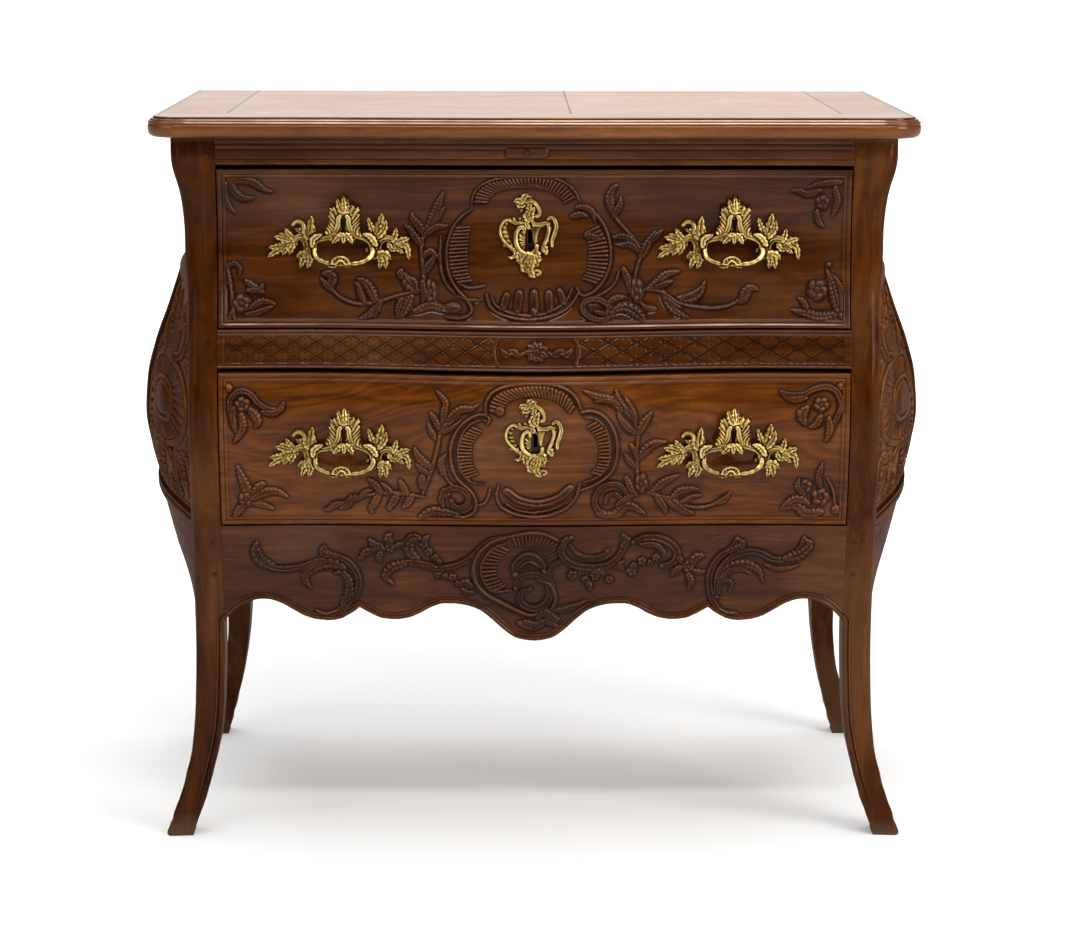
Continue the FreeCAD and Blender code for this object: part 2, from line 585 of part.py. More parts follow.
# ---------------------------------------------------------------- drawers and their locks
DRAWERS = {
    "upper": (D.mid_rail_top, D.frieze_low, D.upper_hollow, D.upper_key_x, D.upper_key_z, D.upper_lock_recess, D.upper_handle_z, 657.0),
    "lower": (D.apron_top, D.mid_rail_low, D.lower_hollow, D.lower_key_x, D.lower_key_z, D.lower_lock_recess, D.lower_handle_z, 395.0),
}
strikes = {}
for which, (z0, z1, hollow, key_x, key_z, recess, handle_z, _) in DRAWERS.items():
    low, high = z0 + D.front_low_gap, z1 - D.front_top_gap
    side_low = z0 + D.side_gap
    side_high = high - D.drawer_side_drop
    bottom_z = low + D.drawer_bottom_up

    # the front: swelling outside, and hollowed inside in flat cuts, the lock on the middle one
    hh, hf, half, yi = D.hollow_half, D.hollow_flat, D.drawer_half, D.front_inner_y
    blank = pad(which + "_front_blank", "XY_Plane", low, [(-half, -110), (half, -110), (half, yi), (hh, yi), (hf, yi - hollow), (-hf, yi - hollow), (-hh, yi), (-half, yi)], high - low)
    outer = front_patch(which + "_front_patch", -half.v - 6, half.v + 6, low.v - 6, high.v + 6, 0, 190)

    # the bottom runs in grooves of the front and sides, and under the back
    bx = half - D.drawer_side_thick + D.drawer_bottom_groove
    iy = yi - D.drawer_bottom_groove
    bottom = pad(which + "_bottom_body", "XY_Plane", bottom_z, [(-bx, iy), (-hh, iy), (-hf, iy - hollow), (hf, iy - hollow), (hh, iy), (bx, iy), (bx, D.drawer_rear_y), (-bx, D.drawer_rear_y)], D.drawer_bottom_thick)

    # sides with lapped dovetails into the front, drawn in the YZ plane
    sides = {}
    tails = 4
    tail_h = (side_high.v - side_low.v) / tails
    for s, tag in ((1, "right"), (-1, "left")):
        y_in, y_end, fl = D.front_inner_y, D.dovetail_end_y, D.dovetail_flare
        pts = [(D.drawer_rear_y, side_low), (D.drawer_rear_y, side_high), (y_in, side_high)]
        for k in range(tails):
            top_of = side_high - (side_high - side_low) * (k / tails)
            step = (side_high - side_low) / tails
            pts += [(y_in, top_of - step * 0.2), (y_end, top_of - step * 0.2 + fl), (y_end, top_of - step * 0.8 - fl), (y_in, top_of - step * 0.8)]
        pts.append((y_in, side_low))
        x0 = D.drawer_half - D.drawer_side_thick if s > 0 else -D.drawer_half
        side = pad("%s_side_%s_blank" % (which, tag), "YZ_Plane", x0, pts, D.drawer_side_thick)
        sides[s] = side

    # the back stands on the bottom, between the sides
    bt = D.drawer_bottom_thick
    bh = D.drawer_half - D.drawer_side_thick
    back = pad("%s_back_body" % which, "XZ_Plane", -D.drawer_rear_y + 2, [(-bh, bottom_z + bt), (bh, bottom_z + bt), (bh, side_high - 4), (-bh, side_high - 4)], D.drawer_back_thick)

    # lock: a case let into the back of the front, its bolt rising into the rail above
    inner_mid = D.front_inner_y - hollow
    case_y = inner_mid - recess
    case_low = high - D.lock_high
    case_blank = box(which + "_case_blank", key_x - D.lock_wide / 2, case_y, case_low, D.lock_wide, D.lock_thick, D.lock_high)
    bolt_y = case_y + (D.lock_thick - D.bolt_thick) / 2
    bolt = pad(which + "_lock_bolt_body", "XZ_Plane", -(bolt_y + D.bolt_thick), [(key_x - D.bolt_wide / 2, high - D.bolt_long), (key_x + D.bolt_wide / 2, high - D.bolt_long), (key_x + D.bolt_wide / 2, high), (key_x - D.bolt_wide / 2, high)], D.bolt_thick)
    way = box(which + "_bolt_way", key_x - D.bolt_wide / 2 - D.bolt_play, bolt_y - D.bolt_play, high - D.bolt_long, D.bolt_wide + D.bolt_play * 2, D.bolt_thick + D.bolt_play * 2, D.bolt_long + 1)
    strikes[which] = box(which + "_strike", key_x - D.bolt_wide / 2 - 1, bolt_y - 1, z1 - 1, D.bolt_wide + 2, D.bolt_thick + 2, D.bolt_travel - D.front_top_gap + 5)
    hole = cylinder_y(which + "_key_round", key_x, -110, key_z, D.key_hole_r, 110 + case_y + D.lock_thick + 2)
    slot = box(which + "_key_slot", key_x - D.key_slot_wide / 2, -110, key_z - D.key_slot_long, D.key_slot_wide, 110 + case_y + D.lock_thick + 2, D.key_slot_long)
    keyway = fuse(which + "_keyway", [hole, slot])
    screws = []
    for i, (sx, sz) in enumerate([(-30, 10), (30, 10), (-30, 92), (30, 92)]):
        cell("%s_screw_x_%d" % (which, i), sx)
        cell("%s_screw_z_%d" % (which, i), sz)
        px = key_x + getattr(D, "%s_screw_x_%d" % (which, i))
        pz = case_low + getattr(D, "%s_screw_z_%d" % (which, i))
        shank = cylinder_y("%s_screw_shank_%d" % (which, i), px, case_y + D.lock_thick - D.lock_screw_long, pz, D.lock_screw_r, D.lock_screw_long)
        head = cylinder_y("%s_screw_head_%d" % (which, i), px, case_y + D.lock_thick, pz, D.lock_screw_r * 2, 1.6)
        screws.append(fuse("%s_screw_%d" % (which, i), [shank, head]))
    screw_group = compound(which + "_screw_group", screws)
    case = cut(which + "_case_cut", case_blank, fuse(which + "_case_tools", [way, keyway, screw_group]))

    # handles, each one casting with two threaded studs through the front
    studs, handles = [], []
    for s, tag in ((1, "right"), (-1, "left")):
        hx = D.handle_x if s > 0 else -D.handle_x
        surf = min(front_y(hx.v + d, handle_z.v) for d in (-40, 0, 40))
        cell("%s_handle_face_%s" % (which, tag), round(surf, 2))
        fy = getattr(D, "%s_handle_face_%s" % (which, tag))
        y0 = fy - D.handle_reach
        parts_ = []
        if s > 0:
            for k in (-1, 1):
                px = hx + D.handle_post_half * k
                stud = cylinder_y("%s_stud_%s_%s" % (which, tag, "ab"[k > 0]), px, y0 + 2, handle_z, D.handle_post_r, D.front_inner_y + D.nut_thick + 3 - y0 - 2)
                bore = cylinder_y("%s_bore_%s_%s" % (which, tag, "ab"[k > 0]), px, -120, handle_z, D.handle_hole_r, 170)
                studs.append((stud, bore, px))
            continue
        a, bb = D.handle_ring_a, D.handle_ring_b
        oa, ob = D.handle_open_a, D.handle_open_b
        n = 16
        ring_pts = [(hx + a * math.cos(2 * math.pi * k / n), handle_z + bb * math.sin(2 * math.pi * k / n)) for k in range(n)]
        hole_pts = [(hx + oa * math.cos(2 * math.pi * k / n), handle_z + ob * math.sin(2 * math.pi * k / n)) for k in range(n)]
        outer_ring = pad("%s_ring_%s" % (which, tag), "XZ_Plane", -(y0 + D.handle_ring_thick), ring_pts, D.handle_ring_thick)
        eye = pad("%s_eye_%s" % (which, tag), "XZ_Plane", -(y0 + D.handle_ring_thick + 30), hole_pts, D.handle_ring_thick + 60)
        ring = cut("%s_loop_%s" % (which, tag), outer_ring, eye)
        parts_.append(ring)
        for k in (-1, 1):
            px = hx + D.handle_post_half * k
            # boss from the loop back to the wood, then the stud through it
            boss = cylinder_y("%s_boss_%s_%s" % (which, tag, "ab"[k > 0]), px, y0, handle_z, 6, 60)
            stud = cylinder_y("%s_stud_%s_%s" % (which, tag, "ab"[k > 0]), px, y0 + 2, handle_z, D.handle_post_r, D.front_inner_y + D.nut_thick + 3 - y0 - 2)
            bore = cylinder_y("%s_bore_%s_%s" % (which, tag, "ab"[k > 0]), px, -120, handle_z, D.handle_hole_r, 170)
            parts_.append(boss)
            studs.append((stud, bore, px))
            # leaf spray from the boss out to the side
            w = D.handle_wing
            wing_pts = [(hx + D.handle_post_half * k, handle_z + 9), (hx + D.handle_post_half * k, handle_z - 9), (hx + (D.handle_post_half + 12) * k, handle_z - 17), (hx + (D.handle_post_half + 22) * k, handle_z - 6), (hx + (w - 8) * k, handle_z - 4), (hx + w * k, handle_z + 5), (hx + (w - 12) * k, handle_z + 11), (hx + (w - 22) * k, handle_z + 12), (hx + (w - 26) * k, handle_z + 30), (hx + (D.handle_post_half + 14) * k, handle_z + 38), (hx + (D.handle_post_half + 10) * k, handle_z + 14)]
            parts_.append(pad("%s_spray_%s_%s" % (which, tag, "ab"[k > 0]), "XZ_Plane", -(fy + 14), wing_pts if k > 0 else wing_pts[::-1], 24))
        crest_pts = [(hx - 24, handle_z + bb * 0.72), (hx + 24, handle_z + bb * 0.72), (hx + 19, handle_z + 34), (hx + 20, handle_z + 48), (hx + 9, handle_z + 58), (hx, handle_z + D.handle_crest), (hx - 9, handle_z + 58), (hx - 20, handle_z + 48), (hx - 19, handle_z + 34)]
        parts_.append(pad("%s_crest_%s" % (which, tag), "XZ_Plane", -(fy - 6), crest_pts, D.handle_reach - 14))
        crest_leg = box("%s_crest_leg_%s" % (which, tag), hx - 9, fy - 10, handle_z + 40, 18, 60, 16)
        parts_.append(crest_leg)
        handles = parts_

    bores = compound(which + "_bores", [b for _, b, _ in studs])
    tools = fuse(which + "_front_tools", [bottom, sides[1], sides[-1], case_blank, keyway, screw_group, bores])
    drawer_front = common(which + "_front_form", cut(which + "_front_cut", blank, tools), outer)
    publish(drawer_front, which + "_drawer_front")
    publish_pair(cut("%s_side_cut" % which, sides[1], bottom), "%s_drawer_side" % which)
    publish(back, which + "_drawer_back")
    publish(bottom, which + "_drawer_bottom", True)
    publish(case, which + "_lock_case")
    publish(bolt, which + "_lock_bolt")
    publish(screw_group, which + "_lock_screws", True)

    # handles are fitted to the curved front, then given their studs; square nuts hold them inside
    nuts = []
    body = fuse("%s_handle_body" % which, handles)
    hx = -D.handle_x
    local = front_patch("%s_handle_patch" % which, hx.v - 96, hx.v + 96, handle_z.v - 44, handle_z.v + 76, 0, 90)
    trimmed = cut("%s_handle_trim" % which, body, local)
    publish_pair(fuse("%s_handle_whole" % which, [trimmed] + [p[0] for p in studs[2:]]), "%s_handle" % which, -1)
    for j, (stud, _, px) in enumerate(studs):
        ns = D.nut_side
        blank_nut = box("%s_nut_%d" % (which, j), px - ns / 2, D.front_inner_y, handle_z - ns / 2, ns, D.nut_thick, ns)
        nuts.append(cut("%s_nut_cut_%d" % (which, j), blank_nut, stud))
    publish(compound(which + "_nut_group", nuts), which + "_handle_nuts")

    # keyhole plate that hugs the front: an irregular scrolled outline, pierced by the keyhole
    ex = -10 if which == "upper" else 0
    if which == "upper":
        plate_xz = [(0, -54.5), (9, -50), (13, -38), (26, -26), (30, -8), (27, 6), (37, 10), (36, 22), (20, 15), (15, 30), (14, 42), (4, 49), (-8, 49), (-13, 40), (-9, 30), (-18, 24), (-33, 16), (-36, 2), (-30, -10), (-24, -22), (-18, -36), (-9, -46)]
    else:
        plate_xz = [(4, -58.5), (12, -52), (15, -40), (28, -28), (34, -10), (36, 8), (28, 20), (16, 18), (12, 30), (10, 40), (0, 48.5), (-12, 48), (-16, 38), (-13, 26), (-28, 22), (-36, 8), (-35, -8), (-27, -20), (-25, -34), (-14, -44), (-8, -54)]
    pts = []
    for i, (a, b2) in enumerate(plate_xz):
        cell("%s_plate_x_%d" % (which, i), a + (ex + 6 if which == "upper" else 0))
        cell("%s_plate_z_%d" % (which, i), b2)
        pts.append((key_x + getattr(D, "%s_plate_x_%d" % (which, i)), key_z + getattr(D, "%s_plate_z_%d" % (which, i))))
    plate_prism = pad(which + "_plate_prism", "XZ_Plane", -20, pts, 110)
    hug = front_patch(which + "_plate_patch", key_x.v - 50, key_x.v + 50, key_z.v - 66, key_z.v + 60, VALUES["plate_thick"], VALUES["plate_thick"])
    plate = cut(which + "_plate_cut", common(which + "_plate_form", plate_prism, hug), keyway)
    publish(plate, which + "_keyhole_plate")

# ---------------------------------------------------------------- front rails, now that the strikes are known
for key, rail_blank, tools in (("frieze", frieze_blank, [pegs[-1], strikes["upper"], dowel_group]), ("middle", middle_blank, [strikes["lower"]])):
    shaped = common(key + "_form", cut(key + "_cut", rail_blank, compound(key + "_tools", tools)), front_solid)
    tongues = [cut("%s_tongue_%d" % (key, i), tenon_box[key, s], peg_bars) for i, s in enumerate((1, -1))]
    publish(fuse(key + "_fused", [shaped] + tongues), key + "_rail")
publish(cut("apron_cut", apron_body, peg_bars), "front_apron")

# ---------------------------------------------------------------- side frames and panels
tg = D.panel_tongue
fy, depth = D.panel_front_y, D.panel_rear_y - D.panel_front_y
panel = common("side_panel_form", field_solid, box("side_panel_cell", 350, fy, D.panel_low - tg, 260, depth, D.panel_high - D.panel_low + tg * 2))
rail = common("side_rail_form", side_solid, box("side_rail_cell", 350, fy, D.panel_high, 260, depth, D.height - D.top_thick - D.panel_high))
# the side apron, arched below
arch = Part.BSplineCurve()
ys = spread(VALUES["panel_front_y"], VALUES["panel_rear_y"], 13)
arch.interpolate([Vector(0, y, 292 + 46 * math.sin(math.pi * (y - ys[0]) / (ys[-1] - ys[0])) ** 0.8 + 14 * (y - ys[0]) / (ys[-1] - ys[0])) for y in ys])
a, b2 = arch.StartPoint, arch.EndPoint
top = VALUES["panel_low"]
wire = Part.Wire([arch.toShape(), Part.LineSegment(b2, Vector(0, b2.y, top)).toShape(), Part.LineSegment(Vector(0, b2.y, top), Vector(0, a.y, top)).toShape(), Part.LineSegment(Vector(0, a.y, top), a).toShape()])
prism = feature("side_apron_prism", Part.Face(wire).extrude(Vector(640, 0, 0)))
lower = common("side_apron_form", side_solid, prism)
publish_pair(fuse("side_rail_whole", [cut("side_rail_cut", rail, panel)] + side_tenons["rail"]), "side_top_rail")
publish_pair(fuse("side_apron_whole", [cut("side_apron_cut", lower, panel)] + side_tenons["apron"]), "side_apron")
publish_pair(panel, "side_panel")

# ---------------------------------------------------------------- drawer supports
ry = D.rear_rail_front_y
rt = D.runner_thick
dust_z = {}
for which, (z0, z1, *_rest) in DRAWERS.items():
    zb = z0 - D.dust_drop - D.dust_thick
    lab = "dust_board" if which == "upper" else "bottom_board"
    x_half = D.runner_inner_x + D.dust_tongue
    board = pad(lab + "_body", "XY_Plane", zb, [(-x_half, D.rail_back_y), (x_half, D.rail_back_y), (x_half, ry), (-x_half, ry)], D.dust_thick)
    blank = box("%s_runner_blank" % which, D.runner_inner_x, D.rail_back_y, z0 - rt, D.runner_outer_x - D.runner_inner_x, ry - D.rail_back_y, rt)
    publish_pair(cut("%s_runner_cut" % which, blank, board), "%s_runner" % which)
    publish(board, lab, True)
# the bearer behind the apron that carries the lower runners' front ends
bearer_blank = box("bearer_blank", -D.opening_half, 12, D.apron_top - rt, open2, D.rail_back_y - 12, rt)
publish(cut("bearer_cut", bearer_blank, apron_body), "front_bearer")
guides, kickers, stops = [], [], []
for which, (z0, z1, *_rest) in DRAWERS.items():
    for s, tag in ((1, "right"), (-1, "left")):
        guides.append(sided_box("%s_guide_%s" % (which, tag), s, D.guide_x, D.rail_back_y, z0, D.runner_outer_x - D.guide_x, ry - D.rail_back_y, D.guide_high))
        stops.append(sided_box("%s_stop_%s" % (which, tag), s, D.stop_x, D.front_inner_y + 0.3, z0, D.stop_long, D.stop_wide, D.stop_high))
for s, tag in ((1, "right"), (-1, "left")):
    kickers.append(sided_box("kicker_" + tag, s, D.runner_inner_x, D.rail_back_y, D.frieze_low, D.runner_outer_x - D.runner_inner_x, ry - D.rail_back_y, D.kicker_thick))
publish(compound("drawer_guides_form", guides), "drawer_guides")
publish(compound("drawer_kickers_form", kickers), "drawer_kickers")
publish(compound("drawer_stops_form", stops), "drawer_stops")
publish(peg_group, "tenon_pegs")
publish(dowel_group, "top_dowels", True)


# ---------------------------------------------------------------- the top
def top_wire(z, inset, back_inset):
    """The top's outline: a shallow serpentine front and two rounded front corners."""
    r = VALUES["top_corner_radius"] - inset
    hw = VALUES["top_half_width"] - inset
    yf = VALUES["top_front_y"] + inset
    yb = VALUES["top_back_y"] - back_inset
    xe = hw - r
    curve = Part.BSplineCurve()
    curve.interpolate([Vector(x, yf - VALUES["top_lobe"] * bump(x, 300.0), z) for x in spread(-xe, xe, 41)])
    k = r * math.sqrt(0.5)
    right = Part.Arc(Vector(xe, yf, z), Vector(xe + k, yf + r - k, z), Vector(hw, yf + r, z))
    left = Part.Arc(Vector(-hw, yf + r, z), Vector(-xe - k, yf + r - k, z), Vector(-xe, yf, z))
    return Part.Wire([curve.toShape(), right.toShape(), Part.LineSegment(Vector(hw, yf + r, z), Vector(hw, yb, z)).toShape(), Part.LineSegment(Vector(hw, yb, z), Vector(-hw, yb, z)).toShape(), Part.LineSegment(Vector(-hw, yb, z), Vector(-hw, yf + r, z)).toShape(), left.toShape()])


z_low = VALUES["height"] - VALUES["top_thick"]
z_nose = VALUES["height"] - VALUES["top_step"]
slab = Part.Face(top_wire(z_low, 0.0, 0.0)).extrude(Vector(0, 0, z_nose - z_low))
nose_edges = [e for e in slab.Edges if (abs(e.BoundBox.ZMax - z_nose) < 1e-4 and abs(e.BoundBox.ZMin - z_nose) < 1e-4 or abs(e.BoundBox.ZMax - z_low) < 1e-4 and abs(e.BoundBox.ZMin - z_low) < 1e-4) and e.BoundBox.YMin < VALUES["top_back_y"] - 1]
slab = slab.makeFillet(VALUES["top_nose"], nose_edges)
cap = Part.Face(top_wire(z_nose, VALUES["top_step_inset"], 0.0)).extrude(Vector(0, 0, VALUES["top_step"]))
top_form = feature("top_form", slab.fuse(cap).removeSplitter())
top_drilled = cut("top_drilled", top_form, dowel_group)
ty, tb = D.top_rail_back_y, D.top_back_y
tz, th = D.height - D.top_thick - 5, D.top_thick + 10
tw = D.top_half_width + 20
for lab, x, y, w, dep in [
    ("top_front_rail", -tw, D.top_front_y - 40, tw * 2, ty - D.top_front_y + 40),
    ("top_end_left", -tw, ty, tw - D.top_end_joint_x, tb - ty + 20),
    ("top_panel_left", -D.top_end_joint_x, ty, D.top_end_joint_x + D.top_mid_joint_x, tb - ty + 20),
    ("top_panel_right", D.top_mid_joint_x, ty, D.top_end_joint_x - D.top_mid_joint_x, tb - ty + 20),
    ("top_end_right", D.top_end_joint_x, ty, tw - D.top_end_joint_x, tb - ty + 20),
]:
    publish(common(lab + "_form", top_drilled, box(lab + "_cell", x, y, tz, w, dep, th)), lab)

# ---------------------------------------------------------------- check and write
doc.recompute()
bad = [o.Name for o in doc.Objects if "Invalid" in o.State or "Error" in o.State]
if bad:
    raise SystemExit("failed objects: %s" % bad)
seen = set()
for o in SUBPARTS:
    if o.Shape.isNull() or not o.Shape.isValid():
        raise SystemExit("sub-part %s has no valid shape" % o.Label)
    if not o.Shape.Solids or o.Label in seen:
        raise SystemExit("sub-part %s has no solid, or a repeated name" % o.Label)
    seen.add(o.Label)
if len(SUBPARTS) > 60:
    raise SystemExit("too many sub-parts: %d" % len(SUBPARTS))
total = FreeCAD.BoundBox()
for o in SUBPARTS:
    o.Shape.exportStep("parts/%s.step" % o.Label)
    bb = o.Shape.BoundBox
    total.add(bb)
    print("%-26s solids %d volume %9.0f  x %7.1f..%7.1f  y %7.1f..%7.1f  z %6.1f..%6.1f" % (o.Label, len(o.Shape.Solids), o.Shape.Volume, bb.XMin, bb.XMax, bb.YMin, bb.YMax, bb.ZMin, bb.ZMax))
print("sub-parts", len(SUBPARTS))
print("whole", total)
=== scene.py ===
"""The looks of the serpentine chest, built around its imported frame.

All lengths in the tables below are millimetres: x to the right, z up, and y to the back, with y = 0 at the front
corner line of the chest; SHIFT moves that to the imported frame's own origin.
"""
import math

import bpy
import numpy as np
from mathutils import Matrix, Vector


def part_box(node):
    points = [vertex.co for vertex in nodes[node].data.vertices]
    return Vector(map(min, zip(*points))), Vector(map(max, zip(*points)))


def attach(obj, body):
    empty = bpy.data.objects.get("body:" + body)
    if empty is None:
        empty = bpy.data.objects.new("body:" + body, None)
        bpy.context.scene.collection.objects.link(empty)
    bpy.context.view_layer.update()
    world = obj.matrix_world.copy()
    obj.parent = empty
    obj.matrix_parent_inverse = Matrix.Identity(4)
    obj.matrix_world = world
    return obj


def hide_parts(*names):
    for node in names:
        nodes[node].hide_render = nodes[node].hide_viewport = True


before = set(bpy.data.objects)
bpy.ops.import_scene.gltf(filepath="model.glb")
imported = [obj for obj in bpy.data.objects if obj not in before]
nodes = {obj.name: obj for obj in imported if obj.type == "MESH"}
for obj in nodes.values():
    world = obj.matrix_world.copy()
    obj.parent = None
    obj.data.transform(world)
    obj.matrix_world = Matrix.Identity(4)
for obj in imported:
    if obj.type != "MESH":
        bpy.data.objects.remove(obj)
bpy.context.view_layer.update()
SHIFT = 242.0

# ---------------------------------------------------------------- the chest's own curves
KNOTS = {
    "face": [(0, 13), (40, 12), (80, 12), (150, 14), (250, 15), (340, 7), (400, -5), (480, -23), (560, -30), (640, -20), (720, 0), (800, 7), (870, 0), (940, 0)],
    "lobe": [(0, 0), (200, 4), (270, 5), (400, 10), (600, 35), (660, 28.5), (870, 6), (940, 6)],
    "waist": [(0, 480), (8, 478.6), (21, 473.8), (35, 469.6), (49, 464.4), (62, 459.8), (76, 456.2), (90, 452.6), (103, 449), (117, 446.6), (130, 445), (144, 443.6), (158, 442.3), (185, 441), (211, 440.2), (238, 439.5), (265, 439), (320, 438.5), (400, 438), (500, 437.5), (600, 437.5), (710, 438), (760, 442), (800, 443), (825, 444.8), (838, 446.4), (850, 448.8), (863, 452.3), (875, 455.8), (888, 457.2), (914, 457.8), (940, 457.8)],
    "belly": [(0, 0), (200, 0), (250, 20), (300, 45), (350, 66.4), (400, 82.6), (450, 96.9), (500, 104.8), (550, 101.3), (600, 88.9), (650, 70.3), (690, 56.2), (720, 45.5), (750, 25), (800, 0), (940, 0)],
    "inner": [(0, 446.5), (7, 445), (35, 434.5), (62, 426), (90, 418.6), (117, 412), (144, 406.9), (175, 404), (210, 402.4), (250, 401.2), (280, 401), (940, 401)],
    "round": [(0, 7), (150, 9), (240, 14), (300, 16), (940, 16)],
    "scallop": [(0, 261.5), (8, 262.2), (23, 265.6), (39, 276.4), (54.5, 290.8), (70, 303.1), (85.5, 309.2), (101, 311.8), (116.6, 312), (132.2, 307.2), (148, 298.4), (163.5, 292.2), (179, 290), (195, 291.3), (210, 297.4), (219.5, 302.6), (225.6, 306.3)],
    "scallop_out": [(225.6, 306.3), (233.5, 300.1), (241.4, 295.3), (249.3, 291.2), (265, 288.5), (280.5, 289.9), (296, 294.5), (311, 303), (326.5, 312.2), (342, 317.6), (350, 318.4), (358, 317.6), (373, 312.5), (388.8, 301.7), (401, 288)],
}


def profile(name):
    """A smooth curve through a table's knots that keeps their rises and falls."""
    x = np.array([k[0] for k in KNOTS[name]], float)
    y = np.array([k[1] for k in KNOTS[name]], float)
    gaps, rise = np.diff(x), np.diff(y) / np.diff(x)
    m = np.zeros(len(x))
    m[0], m[-1] = rise[0], rise[-1]
    for i in range(1, len(x) - 1):
        if rise[i - 1] * rise[i] > 0:
            w1, w2 = 2 * gaps[i] + gaps[i - 1], gaps[i] + 2 * gaps[i - 1]
            m[i] = (w1 + w2) / (w1 / rise[i - 1] + w2 / rise[i])

    def at(q):
        q = np.clip(np.asarray(q, float), x[0], x[-1])
        i = np.clip(np.searchsorted(x, q, side="right") - 1, 0, len(x) - 2)
        g = gaps[i]
        t = (q - x[i]) / g
        return (2 * t**3 - 3 * t * t + 1) * y[i] + (t**3 - 2 * t * t + t) * g * m[i] + (3 * t * t - 2 * t**3) * y[i + 1] + (t**3 - t * t) * g * m[i + 1]

    return at


face, lobe, waist, belly = profile("face"), profile("lobe"), profile("waist"), profile("belly")
inner, rounding = profile("inner"), profile("round")
scallop, scallop_out = profile("scallop"), profile("scallop_out")


def bump(x, half):
    x = np.abs(x)
    return np.where(x < half, 0.5 * (1 + np.cos(np.pi * x / half)), 0.0)


def front_y(x, z):
    return face(z) - lobe(z) * bump(x, 300.0) - 6.0 * (np.abs(x) / 405.0) ** 4


def swell(y):
    y = np.asarray(y, float)
    return np.where(y >= 30, np.sin(np.pi / 2 * (y - 30) / 400.0), np.pi / 1600.0 * (y - 30))


def side_x(z, y):
    return waist(z) + belly(z) * swell(y)


def apron_edge(x):
    """Height of the front apron's scalloped lower edge."""
    x = np.abs(x)
    return np.where(x < 225.6, scallop(x), scallop_out(x))


# ---------------------------------------------------------------- carved relief as height fields
def smooth(a, sigma):
    """Gaussian blur of a height field; sigma in cells."""
    n = max(1, int(round(3 * sigma)))
    k = np.exp(-0.5 * (np.arange(-n, n + 1) / sigma) ** 2)
    k /= k.sum()
    for axis in (0, 1):
        pad = [(n, n) if d == axis else (0, 0) for d in (0, 1)]
        b = np.pad(a, pad, mode="edge")
        out = np.zeros_like(a)
        for i, w in enumerate(k):
            out += w * (b[i:i + a.shape[0], :] if axis == 0 else b[:, i:i + a.shape[1]])
        a = out
    return a


def catmull(points, pitch=1.6):
    """Points along a smooth curve through the given ones."""
    p = np.asarray(points, float)
    if len(p) == 1:
        return p
    if len(p) == 2:
        n = max(2, int(np.linalg.norm(p[1] - p[0]) / pitch) + 1)
        return p[0] + (p[1] - p[0]) * np.linspace(0, 1, n)[:, None]
    q = np.vstack([2 * p[0] - p[1], p, 2 * p[-1] - p[-2]])
    out = []
    for i in range(1, len(q) - 2):
        a, b, c, d = q[i - 1], q[i], q[i + 1], q[i + 2]
        n = max(2, int(np.linalg.norm(c - b) / pitch) + 1)
        t = np.linspace(0, 1, n, endpoint=False)[:, None]
        out.append(0.5 * (2 * b + (c - a) * t + (2 * a - 5 * b + 4 * c - d) * t**2 + (3 * b - a - 3 * c + d) * t**3))
    out.append(p[-1:])
    return np.vstack(out)


